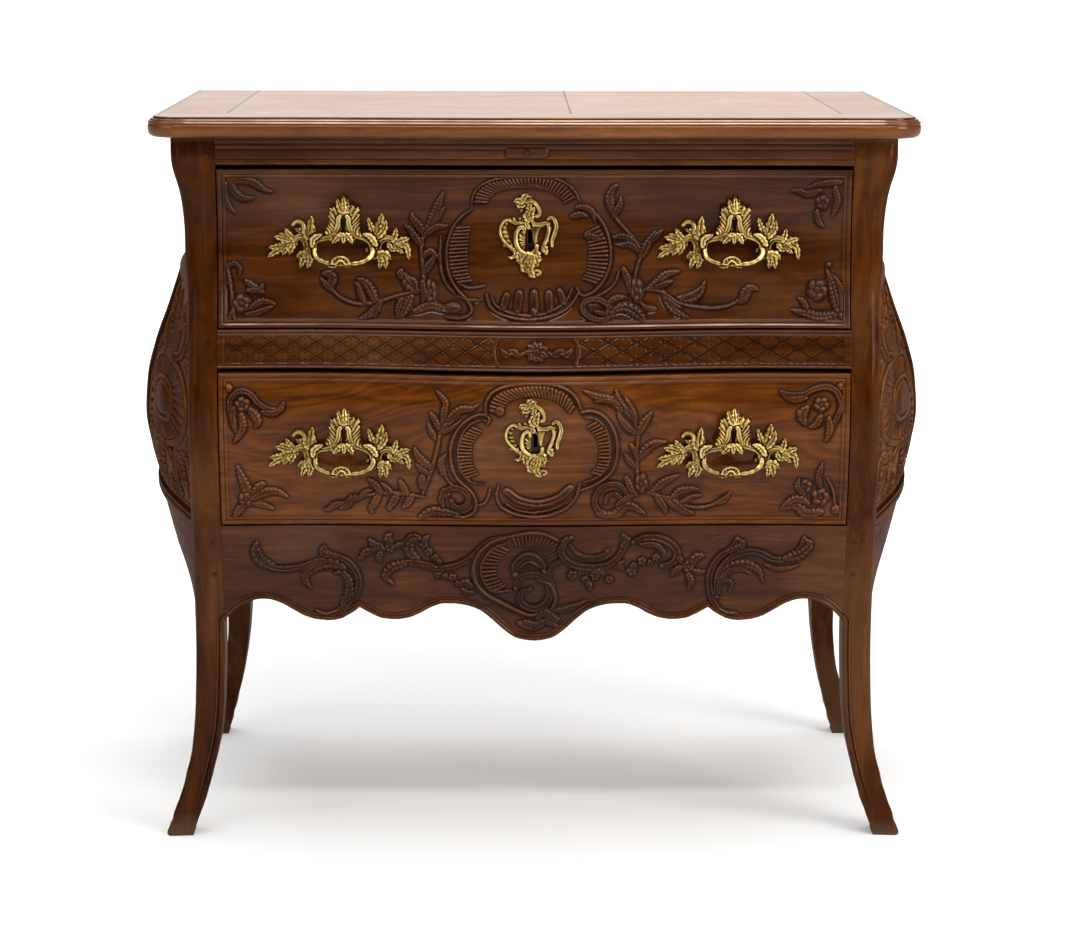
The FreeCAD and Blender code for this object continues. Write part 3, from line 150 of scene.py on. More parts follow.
class Field:
    """Heights of carving over a rectangle of a surface."""

    def __init__(self, u0, u1, v0, v1, step):
        self.u = np.linspace(u0, u1, int(round((u1 - u0) / step)) + 1)
        self.v = np.linspace(v0, v1, int(round((v1 - v0) / step)) + 1)
        self.U, self.V = np.meshgrid(self.u, self.v)
        self.H = np.zeros_like(self.U)
        self.orn = np.zeros_like(self.U)
        self.step = step

    def window(self, lo, hi):
        i0, i1 = np.searchsorted(self.u, [lo[0], hi[0]])
        j0, j1 = np.searchsorted(self.v, [lo[1], hi[1]])
        return slice(j0, j1), slice(i0, i1)

    def near(self, path, reach):
        """Distance to a path, share of its length and side, for the points within reach of it."""
        win = self.window(path.min(0) - reach, path.max(0) + reach)
        shape = self.U[win].shape
        if min(shape) < 1:
            return None
        best, share, side = np.full(shape, np.inf), np.zeros(shape), np.zeros(shape)
        j0, i0 = win[0].start, win[1].start
        seg = np.diff(path, axis=0)
        length = np.maximum(np.hypot(seg[:, 0], seg[:, 1]), 1e-6)
        cum = np.concatenate([[0], np.cumsum(length)])
        for k in range(len(seg)):
            a, b = path[k], path[k + 1]
            w = self.window(np.minimum(a, b) - reach, np.maximum(a, b) + reach)
            if w[0].stop <= w[0].start or w[1].stop <= w[1].start:
                continue
            du, dv = self.U[w] - a[0], self.V[w] - a[1]
            ex, ey = seg[k] / length[k]
            along = np.clip(du * ex + dv * ey, 0, length[k])
            d = np.hypot(du - along * ex, dv - along * ey)
            loc = (slice(w[0].start - j0, w[0].stop - j0), slice(w[1].start - i0, w[1].stop - i0))
            closer = d < best[loc]
            best[loc] = np.where(closer, d, best[loc])
            share[loc] = np.where(closer, (cum[k] + along) / cum[-1], share[loc])
            side[loc] = np.where(closer, np.sign(ex * dv - ey * du), side[loc])
        return win, best, share, side, cum[-1]

    def lay(self, win, h, inside, edge, undercut=0.55, margin=1.7):
        """Sets a carved form on the field; what it lies on is cut back around it."""
        H, O = self.H[win], self.orn[win]
        ring = (~inside) & (edge < margin)
        H[ring] *= 1 - undercut * (1 - edge[ring] / margin)
        H[inside] = np.maximum(H[inside] * 0.25, h[inside]) if undercut else np.maximum(H[inside], h[inside])
        O[inside] = 1.0

    def tube(self, pts, w, h, taper=0.55):
        path = catmull(pts)
        r = self.near(path, w + 2)
        if r is None:
            return
        win, d, s, side, total = r
        ww = w * (taper + (1 - taper) * np.sin(np.pi * np.clip(s, 0, 1)) ** 0.5)
        t = d / np.maximum(ww, 0.2)
        self.lay(win, h * np.sqrt(np.maximum(0, 1 - t * t)) ** 0.8, t < 1, d - ww)

    def leaf(self, pts, w, h, lobes=None):
        w = w * 1.18
        path = catmull(pts)
        r = self.near(path, w * 1.25 + 2)
        if r is None:
            return
        win, d, s, side, total = r
        n = lobes or max(2, int(round(total / max(3.2, w * 0.95))))
        body = np.sin(np.pi * np.clip(0.10 + 0.90 * s, 0, 1) ** 0.80) ** 0.75
        saw = np.mod(s * n + 0.15 * side, 1.0)
        ww = w * body * (1.12 - 0.38 * saw**1.6 * np.clip((total - 8) / 10, 0.25, 1))
        t = d / np.maximum(ww, 0.15)
        inside = t < 1
        dome = np.sqrt(np.maximum(0, 1 - t**2.6))
        vein = np.exp(-((d / np.maximum(0.17 * w, 0.45)) ** 2)) * np.sin(np.pi * np.clip(s * 1.05, 0, 1)) ** 0.4
        fold = np.cos(2 * np.pi * (s * n - 0.55 * np.minimum(t, 9.0))) * np.clip(t * 1.6, 0, 1)
        rise = 0.62 + 0.38 * np.sin(np.pi * np.clip(s * 0.9 + 0.08, 0, 1))
        self.lay(win, h * rise * dome * (1 - 0.42 * vein + 0.17 * fold), inside, d - ww)

    def chan(self, pts, w, h):
        """A hollowed scroll with raised rims, curled at its ends."""
        path = catmull(pts)
        r = self.near(path, w + 2)
        if r is None:
            return
        win, d, s, side, total = r
        ww = w * (0.42 + 0.58 * np.sin(np.pi * np.clip(0.06 + 0.9 * s, 0, 1)) ** 0.7)
        t = d / np.maximum(ww, 0.2)
        rim = np.exp(-(((t - 0.74) / 0.24) ** 2))
        flat = 0.42 + 0.10 * np.cos(2 * np.pi * s * total / 4.2)
        edge = np.clip((1 - t) / 0.22, 0, 1) ** 0.5
        self.lay(win, h * (flat + (1 - flat) * rim) * edge, t < 1, d - ww)
        for end in (path[0], path[-1]):
            self.boss([end], w * 0.62, h * 1.08)

    def boss(self, pts, w, h, e=1.0):
        c = np.asarray(pts[0], float)
        ext = w * max(1, e) + 2.5
        win = self.window(c - ext, c + ext)
        du, dv = self.U[win] - c[0], (self.V[win] - c[1]) / e
        d = np.hypot(du, dv)
        t = d / w
        self.lay(win, h * np.sqrt(np.maximum(0, 1 - t**2)) ** 0.9, t < 1, d - w)

    def rose(self, pts, w, h, e=1.0, petals=5):
        c = np.asarray(pts[0], float)
        ext = w * max(1, e) + 2.5
        win = self.window(c - ext, c + ext)
        du, dv = self.U[win] - c[0], (self.V[win] - c[1]) / e
        d = np.hypot(du, dv)
        turn = np.arctan2(dv, du) + 0.6 * d / w + c[0]
        edge = w * (0.80 + 0.20 * np.abs(np.cos(0.5 * petals * turn)) ** 0.7)
        t = d / edge
        lobes = np.abs(np.cos(0.5 * petals * turn)) ** 0.5
        bowl = 0.55 + 0.45 * np.sin(np.pi * np.clip(t, 0, 1) ** 1.3)
        button = 0.75 * np.sqrt(np.maximum(0, 1 - (d / (0.27 * w)) ** 2))
        moat = 1 - 0.5 * np.exp(-(((d / w - 0.33) / 0.09) ** 2))
        form = (0.35 + 0.65 * lobes) * bowl * np.clip((1 - t) / 0.25, 0, 1) ** 0.5 * moat
        self.lay(win, h * np.maximum(form, button * 0.95), t < 1, d - edge)

    def beads(self, pts, w, h, n=8):
        path = catmull(pts, 0.5)
        seg = np.concatenate([[0], np.cumsum(np.hypot(*np.diff(path, axis=0).T))])
        for k in range(n):
            q = seg[-1] * (k + 0.5) / n
            c = [np.interp(q, seg, path[:, 0]), np.interp(q, seg, path[:, 1])]
            self.boss([c], w, h)

    def flutes(self, outer_pts, inner_pts, h, n=10, taper=0.6):
        def even(pts):
            path = catmull(pts, 0.8)
            seg = np.concatenate([[0], np.cumsum(np.hypot(*np.diff(path, axis=0).T))])
            return seg, path

        so, po = even(outer_pts)
        si, pi_ = even(inner_pts)
        for k in range(n):
            f = (k + 0.5) / n
            a = np.array([np.interp(f * so[-1], so, po[:, 0]), np.interp(f * so[-1], so, po[:, 1])])
            b = np.array([np.interp(f * si[-1], si, pi_[:, 0]), np.interp(f * si[-1], si, pi_[:, 1])])
            w = 0.40 * 0.5 * (so[-1] + si[-1]) / n
            path = a + (b - a) * np.linspace(0, 1, max(3, int(np.hypot(*(b - a)) / 1.5)))[:, None]
            r = self.near(path, w + 1)
            if r is None:
                continue
            win, d, s, side, total = r
            ww = w * (1 - (1 - taper) * s)
            t = d / np.maximum(ww, 0.2)
            self.lay(win, h * np.sqrt(np.maximum(0, 1 - t * t)) * (1 - 0.35 * s), t < 1, d - ww, 0.0)

    def hollow(self, pts, w, h):
        """A gouged hollow."""
        path = catmull(pts)
        r = self.near(path, w + 1)
        if r is None:
            return
        win, d, s, side, total = r
        ww = w * (0.55 + 0.45 * np.sin(np.pi * np.clip(s, 0, 1)) ** 0.6)
        t = np.clip(d / ww, 0, 1)
        self.H[win] -= h * np.sqrt(1 - t * t) * (d < ww)

    def carve(self, strokes):
        for s in strokes:
            kind, extra = s[0], (s[4] if len(s) > 4 and isinstance(s[4], dict) else {})
            if kind == "flutes":
                self.flutes(s[1], s[2], s[3], **s[4])
            elif kind == "cut":
                self.hollow(s[1], s[2], s[3])
            else:
                getattr(self, kind)(s[1], s[2], s[3], **extra)

    def finish_ground(self, depth=0.8, reach=2.2):
        """Lowers the ground in a narrow ring around the ornament, as a carver's gouge leaves it."""
        soft = smooth(self.orn, reach / self.step)
        self.H -= depth * np.clip(soft * 2.2, 0, 1) * (1 - self.orn)

    def shade(self):
        """Painted shade (0..1) in the hollows and round the ornament, and painted highlight (0..1) on raised edges,
        stronger where an edge faces up, from the finished heights.
        """
        wide = smooth(self.H, 3.0 / self.step)
        tight = smooth(self.H, 1.3 / self.step)
        dark = np.clip((wide - self.H - 0.05) / 0.85, 0, 1) + 0.5 * np.clip((tight - self.H - 0.03) / 0.35, 0, 1)
        near = np.clip(smooth(self.orn, 5.0 / self.step) * 1.3, 0, 1)
        mottle = smooth(np.random.default_rng(11).standard_normal(self.H.shape), 9.0 / self.step)
        mottle = np.clip(0.5 + 0.5 * mottle / max(float(mottle.std()), 1e-6), 0, 1.6)
        dark = np.clip(dark + near * (0.30 + 0.48 * mottle), 0, 1)
        light = np.clip((self.H - tight - 0.05) / 0.45, 0, 1)
        up = np.clip(-np.gradient(smooth(self.H, 0.8 / self.step), self.step, axis=0) * 1.6, 0, 1)
        return dark, 0.6 * light + 0.4 * np.clip(light * up * 2.2, 0, 1)

    def sample(self, grid, X, Z):
        """Bilinear look-up of one of the field's grids."""
        fu = np.clip((X - self.u[0]) / (self.u[1] - self.u[0]), 0, len(self.u) - 1.001)
        fv = np.clip((Z - self.v[0]) / (self.v[1] - self.v[0]), 0, len(self.v) - 1.001)
        i, j = fu.astype(int), fv.astype(int)
        a, b = fu - i, fv - j
        return grid[j, i] * (1 - a) * (1 - b) + grid[j, i + 1] * a * (1 - b) + grid[j + 1, i] * (1 - a) * b + grid[j + 1, i + 1] * a * b


# ---------------------------------------------------------------- meshes
def mesh_object(name, verts, faces, smooth_count, mat, body, attrs=None):
    """verts in mm; the first smooth_count faces are shaded smooth, the rest flat."""
    v = np.asarray(verts, float).copy()
    v[:, 1] -= SHIFT
    v /= 1000.0
    me = bpy.data.meshes.new(name)
    me.vertices.add(len(v))
    me.vertices.foreach_set("co", v.astype(np.float32).ravel())
    if isinstance(faces, tuple):
        quads, polys = faces
    else:
        quads, polys = np.zeros((0, 4), int), faces
    quads = np.asarray(quads, int).reshape(-1, 4)
    loops = np.concatenate([quads.ravel()] + [np.asarray(p, int) for p in polys]) if polys else quads.ravel()
    starts = np.concatenate([np.arange(len(quads)) * 4, len(quads) * 4 + np.concatenate([[0], np.cumsum([len(p) for p in polys])[:-1]])]) if polys else np.arange(len(quads)) * 4
    me.loops.add(len(loops))
    me.loops.foreach_set("vertex_index", loops.astype(np.int32))
    me.polygons.add(len(starts))
    me.polygons.foreach_set("loop_start", starts.astype(np.int32))
    flags = np.zeros(len(starts), bool)
    flags[:smooth_count] = True
    me.polygons.foreach_set("use_smooth", flags)
    me.update(calc_edges=True)
    me.validate()
    for key, values in (attrs or {}).items():
        a = me.attributes.new(key, "FLOAT", "POINT")
        a.data.foreach_set("value", np.asarray(values, np.float32))
    o = bpy.data.objects.new(name, me)
    bpy.context.scene.collection.objects.link(o)
    me.materials.append(mat)
    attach(o, body)
    return o


def slab(name, P, Q, mat, body, dark=None, light=None, hole=None, pitch=12, flip=False):
    """A closed piece between a finely carved face P and a plainer back Q, both (rows, columns, 3)."""
    nv, nu = P.shape[:2]
    index = np.arange(nv * nu).reshape(nv, nu)
    solid = np.ones((nv - 1, nu - 1), bool)
    cols, rows = set(range(0, nu - 1, pitch)) | {nu - 1}, set(range(0, nv - 1, pitch)) | {nv - 1}
    if hole:
        solid[hole[2]:hole[3], hole[0]:hole[1]] = False
        cols |= {hole[0], hole[1]}
        rows |= {hole[2], hole[3]}
    cols, rows = sorted(cols), sorted(rows)
    quads = np.stack([index[:-1, :-1], index[:-1, 1:], index[1:, 1:], index[1:, :-1]], -1)[solid]
    back_of, back_list = {}, []

    def back(j, i):
        key = (j, i)
        if key not in back_of:
            back_of[key] = nv * nu + len(back_list)
            back_list.append(Q[j, i])
        return back_of[key]

    def open_cell(j, i):
        return j < 0 or i < 0 or j >= nv - 1 or i >= nu - 1 or not solid[j, i]

    polys, walls = [], []
    for a in range(len(rows) - 1):
        for b in range(len(cols) - 1):
            j0, j1, i0, i1 = rows[a], rows[a + 1], cols[b], cols[b + 1]
            if not solid[j0, i0]:
                continue
            ring = []
            for (ja, ia, jb, ib, out) in ((j0, i0, j0, i1, (j0 - 1, i0)), (j0, i1, j1, i1, (j0, i1)), (j1, i1, j1, i0, (j1, i0)), (j1, i0, j0, i0, (j0, i0 - 1))):
                steps = max(abs(jb - ja), abs(ib - ia))
                if open_cell(*out):
                    side = [(ja + (jb - ja) * k // steps, ia + (ib - ia) * k // steps) for k in range(steps + 1)]
                    for m, n in zip(side[:-1], side[1:]):
                        walls.append((index[n], index[m], back(*m), back(*n)))
                    ring += [back(*s) for s in side[:-1]]
                else:
                    ring.append(back(ja, ia))
            polys.append(ring[::-1])
    verts = np.vstack([P.reshape(-1, 3), np.array(back_list)])
    allq = np.vstack([quads.reshape(-1, 4), np.array(walls)])
    if flip:
        allq = allq[:, ::-1]
        polys = [p[::-1] for p in polys]
    attrs = {}
    for key, g in (("dark", dark), ("light", light)):
        if g is not None:
            attrs[key] = np.concatenate([g.ravel(), np.zeros(len(back_list))])
    return mesh_object(name, verts, (allq, polys), len(quads), mat, body, attrs)


def casting(name, field, T, B, ok, base, mat, body, rounds=3):
    """A pierced casting from its top and underside heights over a surface; ok marks the metal."""
    ok = ok.copy()
    cell = ok[:-1, :-1] & ok[:-1, 1:] & ok[1:, 1:] & ok[1:, :-1]
    used = np.zeros_like(ok)
    used[:-1, :-1] |= cell
    used[:-1, 1:] |= cell
    used[1:, 1:] |= cell
    used[1:, :-1] |= cell
    ids = -np.ones(ok.shape, int)
    ids[used] = np.arange(used.sum())
    n = int(used.sum())
    fq = np.stack([ids[:-1, :-1], ids[:-1, 1:], ids[1:, 1:], ids[1:, :-1]], -1)[cell]
    edges = np.vstack([fq[:, [0, 1]], fq[:, [1, 2]], fq[:, [2, 3]], fq[:, [3, 0]]])
    key = edges[:, 0].astype(np.int64) * n + edges[:, 1]
    rev = edges[:, 1].astype(np.int64) * n + edges[:, 0]
    rim = edges[~np.isin(key, rev)]
    U, V = field.U[used].copy(), field.V[used].copy()
    top, low = T[used].copy(), B[used].copy()
    for _ in range(rounds):
        for arr in (U, V):
            acc, cnt = np.zeros(n), np.zeros(n)
            for a, b in ((0, 1), (1, 0)):
                np.add.at(acc, rim[:, a], arr[rim[:, b]])
                np.add.at(cnt, rim[:, a], 1)
            on = cnt > 0
            arr[on] = 0.35 * arr[on] + 0.65 * acc[on] / cnt[on]
    on_rim = np.zeros(n, bool)
    on_rim[rim.ravel()] = True
    mid = 0.5 * (top + low)
    gap = top - low
    top[on_rim] = mid[on_rim] + 0.22 * gap[on_rim]
    low[on_rim] = mid[on_rim] - 0.22 * gap[on_rim]
    y = base(U, V)
    front = np.stack([U, y - top, V], -1)
    rear = np.stack([U, y - low, V], -1)
    quads = np.vstack([fq, fq[:, ::-1] + n, np.stack([rim[:, 1], rim[:, 0], rim[:, 0] + n, rim[:, 1] + n], -1)])
    # dark marks the hollows below the metal round them, for patina; light is a painted highlight on raised metal, on
    # the front face only
    filled = np.where(used, T, 0.0)
    weight = smooth(used.astype(float), 1.6 / field.step)
    wide = smooth(filled, 1.6 / field.step) / np.maximum(weight, 1e-3)
    dark = np.clip((wide - T)[used] / 0.9, 0, 1)
    light = np.clip((T - wide)[used] / 0.8, 0, 1)
    return mesh_object(name, np.vstack([front, rear]), (quads, []), len(quads), mat, body, {"dark": np.concatenate([dark, dark]), "light": np.concatenate([light, light * 0])})


def within(U, V, ring):
    """Which grid points a closed ring encloses."""
    hit = np.zeros(U.shape, bool)
    for (x0, y0), (x1, y1) in zip(ring, np.roll(ring, -1, 0)):
        if y0 != y1:
            hit ^= ((y0 > V) != (y1 > V)) & (U < (x1 - x0) * (V - y0) / (y1 - y0) + x0)
    return hit


def to_path(U, V, path):
    d = np.hypot(U[..., None] - path[:, 0], V[..., None] - path[:, 1])
    return d.min(-1), d.argmin(-1) / max(1, len(path) - 1)


class Cast(Field):
    """Top and underside of cast metal over a surface, built up stroke by stroke."""

    def __init__(self, *a):
        super().__init__(*a)
        self.T = np.full(self.U.shape, -9.0)
        self.B = np.full(self.U.shape, 99.0)
        self.cut = np.zeros(self.U.shape, bool)

    def add(self, win, top, low, inside):
        T, B = self.T[win], self.B[win]
        T[inside] = np.maximum(T[inside], top[inside])
        B[inside] = np.minimum(B[inside], low[inside])

    def stroke(self, kind, pts, w, c0, c1, dx, dz, mirror=1, **extra):
        turn, grow = extra.get("turn", 0.0), extra.get("grow", 1.0)
        ca, sa = math.cos(turn) * grow, math.sin(turn) * grow

        def place(points):
            return [(mirror * (p[0] * ca - p[1] * sa) + dx, p[0] * sa + p[1] * ca + dz) for p in points]

        pts = place(pts)
        if kind in ("hole", "fill", "fan"):
            path = catmull(pts + pts[:1] if kind != "fan" else pts, 0.8)
            outer = catmull(place(extra["outer"]), 0.8) if kind == "fan" else None
            ring = path if kind != "fan" else np.vstack([path, outer[::-1]])
            win = self.window(ring.min(0) - 1, ring.max(0) + 1)
            U, V = self.U[win], self.V[win]
            inside = within(U, V, ring)
            da, sa_ = to_path(U, V, path)
            if kind == "hole":
                self.cut[win] |= inside
            elif kind == "fill":
                t = np.clip(da / 4.0, 0, 1)
                self.add(win, c0 - 0.4 + (w + 0.8) * np.sqrt(1 - (1 - t) ** 2), c0 - 1.0 + 0 * t, inside)
            else:
                db, sb = to_path(U, V, outer)
                t = da / np.maximum(da + db, 1e-6)
                flute = np.cos(2 * np.pi * extra["n"] * (sa_ * (1 - t) + sb * t))
                c = c0 + (c1 - c0) * t
                form = np.sin(np.pi * (0.16 + 0.70 * t)) * (0.72 + 0.28 * flute)
                self.add(win, c + w * form, c - 1.3 + 0 * t, inside & (t < 0.91 + 0.09 * flute))
            return
        if kind in ("berry", "shell", "beads"):
            if kind == "beads":
                path = catmull(pts, 0.5)
                seg = np.concatenate([[0], np.cumsum(np.hypot(*np.diff(path, axis=0).T))])
                spots = [(np.interp(seg[-1] * (k + 0.5) / extra["n"], seg, path[:, 0]), np.interp(seg[-1] * (k + 0.5) / extra["n"], seg, path[:, 1])) for k in range(extra["n"])]
            else:
                spots = [pts[0]]
            for c in spots:
                c = np.asarray(c)
                if kind == "shell":
                    w = 11.0
                win = self.window(c - w - 2, c + w + 2)
                du, dv = self.U[win] - c[0], self.V[win] - c[1]
                if kind == "shell":
                    du, dv = du, (dv + 2.0) / 0.62
                d = np.hypot(du, dv)
                turn = np.arctan2(dv, du)
                ww = w * (0.93 + 0.07 * np.cos(turn * 9)) if kind == "shell" else w
                t = d / ww
                ball = np.sqrt(np.maximum(0, 1 - t * t))
                ribs = 0.85 + 0.15 * np.cos(turn * 9) if kind == "shell" else 1.0
                self.add(win, c0 + 0.34 * min(w, 8) * ball * ribs + 0.3, c0 - 0.8 - 0.3 * w * ball, t < 1)
            return
        path = catmull(pts, 1.2)
        r = self.near(path, w * 1.3 + 1)
        if r is None:
            return
        win, d, s, side, total = r
        c = c0 + (c1 - c0) * s
        if kind == "bow":
            c = c + extra.get("up", 10) * np.sin(np.pi * s) ** 0.8
            ww = w * 1.12 * (0.95 + 0.05 * np.cos(2 * np.pi * s * total / 9.0))
            t = d / ww
            ball = np.sqrt(np.maximum(0, 1 - t * t))
            self.add(win, c + ww * (0.95 * ball - 0.16 * np.exp(-((t / 0.20) ** 2))), c - ww * 0.8 * ball, t < 1)
        elif kind in ("arm", "rim", "rib"):
            ww = w * ((0.84 + 0.34 * np.sin(np.pi * s)) if kind == "arm" else 1.18)
            t = d / ww
            ball = np.sqrt(np.maximum(0, 1 - t * t))
            groove = 0.30 * np.exp(-((t / 0.22) ** 2)) if kind == "arm" and w > 1.9 else 0.0
            self.add(win, c + min(w, 2.6) * (0.9 * ball - groove), c - min(w, 2.6) * 0.7 * ball, t < 1)
        elif kind == "leaf":
            n = max(1, int(round(total / max(3.0, 1.5 * w))))
            d = np.minimum(d, 99.0)
            body = np.sin(np.pi * np.clip(0.17 + 0.76 * s, 0, 1) ** 0.9) ** 0.6
            lobe_ = np.abs(np.sin(np.pi * (s * n + 0.08 * side)))
            ww = w * 1.34 * body * (0.82 + 0.24 * lobe_)
            t = d / np.maximum(ww, 0.12)
            dome = np.sqrt(np.maximum(0, 1 - t**2.2))
            vein = np.exp(-((d / (0.16 * w + 0.18)) ** 2)) * np.sin(np.pi * np.clip(s, 0, 1)) ** 0.3
            fold = (2 * lobe_ - 1) * np.clip(t * 1.5, 0, 1)
            thick = min(0.50 * w, 1.9) + 0.7
            self.add(win, c + thick * dome * (1 - 0.42 * vein + 0.12 * fold), c - 0.5 * thick * dome - 0.3, t < 1)


# ---------------------------------------------------------------- materials
def graph(name):
    mat = bpy.data.materials.new(name)
    mat.use_nodes = True
    nt = mat.node_tree
    return mat, nt, nt.nodes["Principled BSDF"]


def put(nt, kind, ins=None, **props):
    n = nt.nodes.new(kind)
    for k, v in props.items():
        setattr(n, k, v)
    for k, v in (ins or {}).items():
        if isinstance(v, bpy.types.NodeSocket):
            nt.links.new(v, n.inputs[k])
        else:
            n.inputs[k].default_value = v
    return n


def ramp(nt, fac, stops):
    n = put(nt, "ShaderNodeValToRGB", {"Fac": fac})
    cr = n.color_ramp
    while len(cr.elements) < len(stops):
        cr.elements.new(0.5)
    for e, (p, c) in zip(cr.elements, stops):
        e.position = p
        e.color = (*c, 1)
    return n.outputs["Color"]


def maths(nt, op, a, b=None, c=None, clamp=False):
    n = put(nt, "ShaderNodeMath", operation=op, use_clamp=clamp)
    for i, v in enumerate((a, b, c)):
        if v is None:
            continue
        if isinstance(v, bpy.types.NodeSocket):
            nt.links.new(v, n.inputs[i])
        else:
            n.inputs[i].default_value = v
    return n.outputs[0]


def blend_rgb(nt, mode, fac, a, b):
    n = put(nt, "ShaderNodeMix", data_type="RGBA", blend_type=mode)
    for key, v in ((0, fac), (6, a), (7, b)):
        if isinstance(v, bpy.types.NodeSocket):
            nt.links.new(v, n.inputs[key])
        else:
            n.inputs[key].default_value = v
    return n.outputs[2]


def wood(name, grain, tones, rough=(0.24, 0.42), coat=0.28, coat_rough=0.05, figure=0.30, seed=0.0, patina=0.35, bump_mm=0.10, offset=(0, 0, 0), spec=0.03, joints=(), worn=False, painted_sheen_amount=0.16, painted_shine=(0.26, (0.38, 0.25, 0.17))):
    """Polished timber whose grain runs along one axis. tones: dark, middle and light colour."""
    mat, nt, bsdf = graph(name)
    co = put(nt, "ShaderNodeTexCoord").outputs["Object"]
    i = "xyz".index(grain)

    def stretched(along, across):
        sc = [across] * 3
        sc[i] = along
        return put(nt, "ShaderNodeMapping", {"Vector": co, "Location": (seed + offset[0], seed * 1.7 + offset[1], seed * 0.6 + offset[2]), "Scale": tuple(sc)}).outputs[0]

    streak = put(nt, "ShaderNodeTexNoise", {"Vector": stretched(1.1, 17.0), "Scale": 4.0, "Detail": 7.0, "Roughness": 0.62, "Distortion": 0.7}).outputs["Fac"]
    fine = put(nt, "ShaderNodeTexNoise", {"Vector": stretched(9.0, 260.0), "Scale": 3.2, "Detail": 4.0, "Roughness": 0.7, "Distortion": 0.2}).outputs["Fac"]
    broad = put(nt, "ShaderNodeTexNoise", {"Vector": stretched(0.55, 3.2), "Scale": 2.4, "Detail": 3.0, "Roughness": 0.5, "Distortion": 1.4}).outputs["Fac"]
    rings = maths(nt, "SINE", maths(nt, "MULTIPLY", broad, 95.0))
    rings = maths(nt, "MULTIPLY_ADD", rings, 0.5, 0.5)
    cloud = put(nt, "ShaderNodeTexNoise", {"Vector": co, "Scale": 7.0, "Detail": 4.0, "Roughness": 0.55, "Distortion": 0.3}).outputs["Fac"]
    f = maths(nt, "MULTIPLY_ADD", rings, figure * 0.35, maths(nt, "MULTIPLY", streak, 1.0 - figure * 0.35))
    f = maths(nt, "MULTIPLY_ADD", maths(nt, "SUBTRACT", fine, 0.5), 0.30, f)
    f = maths(nt, "MULTIPLY_ADD", maths(nt, "SUBTRACT", cloud, 0.5), patina, f)
    col = ramp(nt, f, [(0.16, tones[0]), (0.50, tones[1]), (0.86, tones[2])])
    pores = ramp(nt, fine, [(0.30, (0.42, 0.36, 0.32)), (0.44, (1, 1, 1))])
    col = blend_rgb(nt, "MULTIPLY", 0.55, col, pores)
    # broad patches: the paler ones are a painted sheen, like a soft reflection on the polish, and some others are
    # darker
    patch = put(nt, "ShaderNodeTexNoise", {"Vector": stretched(2.6, 5.5), "Scale": 1.0, "Detail": 2.0, "Roughness": 0.5, "Distortion": 0.8}).outputs["Fac"]
    painted_sheen = put(nt, "ShaderNodeMapRange", {"Value": patch, "From Min": 0.50, "From Max": 0.68, "To Min": 0.0, "To Max": painted_sheen_amount}).outputs[0]
    deep = put(nt, "ShaderNodeMapRange", {"Value": patch, "From Min": 0.32, "From Max": 0.50, "To Min": 0.30, "To Max": 0.0}).outputs[0]
    col = blend_rgb(nt, "MIX", painted_sheen, col, (0.26, 0.135, 0.060, 1))
    col = blend_rgb(nt, "MIX", deep, col, (tones[0][0], tones[0][1], tones[0][2], 1))
    # the dark attribute paints shade, almost black, into hollows, grooves and openings; the light attribute paints
    # highlights on crests and edges
    dark = put(nt, "ShaderNodeAttribute", attribute_name="dark").outputs["Fac"]
    light = put(nt, "ShaderNodeAttribute", attribute_name="light").outputs["Fac"]
    col = blend_rgb(nt, "MIX", maths(nt, "MULTIPLY", dark, 0.80, clamp=True), col, (tones[0][0] * 0.16, tones[0][1] * 0.13, tones[0][2] * 0.12, 1))
    col = blend_rgb(nt, "MIX", maths(nt, "MULTIPLY", light, 0.24, clamp=True), col, (min(1, tones[2][0] * 1.5), min(1, tones[2][1] * 1.4), min(1, tones[2][2] * 1.35), 1))
    # painted glint: the brightest crests take the pale shine colour, broken into spots by the cloud noise
    painted_glint = put(nt, "ShaderNodeMapRange", {"Value": light, "From Min": 0.62, "From Max": 1.0, "To Min": 0.0, "To Max": painted_shine[0]}).outputs[0]
    spots = put(nt, "ShaderNodeMapRange", {"Value": cloud, "From Min": 0.42, "From Max": 0.58, "To Min": 0.45, "To Max": 1.0}).outputs[0]
    col = blend_rgb(nt, "MIX", maths(nt, "MULTIPLY", painted_glint, spots), col, (*painted_shine[1], 1))
    # painted highlight lines, near white, where the light attribute runs above 1
    painted_flash = put(nt, "ShaderNodeMapRange", {"Value": light, "From Min": 1.05, "From Max": 1.8, "To Min": 0.0, "To Max": 0.80}).outputs[0]
    col = blend_rgb(nt, "MIX", painted_flash, col, (0.60, 0.46, 0.36, 1))
    where = put(nt, "ShaderNodeSeparateXYZ", {"Vector": co})
    shut = None
    for axis, at in joints:
        gap = maths(nt, "ABSOLUTE", maths(nt, "SUBTRACT", where.outputs[axis], at))
        line = put(nt, "ShaderNodeMapRange", {"Value": gap, "From Min": 0.0007, "From Max": 0.0016, "To Min": 0.85, "To Max": 0.0}).outputs[0]
        col = blend_rgb(nt, "MIX", line, col, (0.010, 0.005, 0.003, 1))
        shut = line if shut is None else maths(nt, "MAXIMUM", shut, line)
    if worn:
        low = put(nt, "ShaderNodeMapRange", {"Value": maths(nt, "MULTIPLY_ADD", cloud, 0.05, where.outputs["Z"]), "From Min": 0.028, "From Max": 0.052, "To Min": 0.62, "To Max": 0.0}).outputs[0]
        col = blend_rgb(nt, "MIX", low, col, (0.120, 0.075, 0.043, 1))
    nt.links.new(col, bsdf.inputs["Base Color"])
    r = put(nt, "ShaderNodeMapRange", {"Value": maths(nt, "ADD", cloud, maths(nt, "MULTIPLY", dark, 0.5)), "From Min": 0.3, "From Max": 0.9, "To Min": rough[0], "To Max": rough[1]}).outputs[0]
    nt.links.new(r, bsdf.inputs["Roughness"])
    h = maths(nt, "MULTIPLY_ADD", fine, 0.7, maths(nt, "MULTIPLY", streak, 0.5))
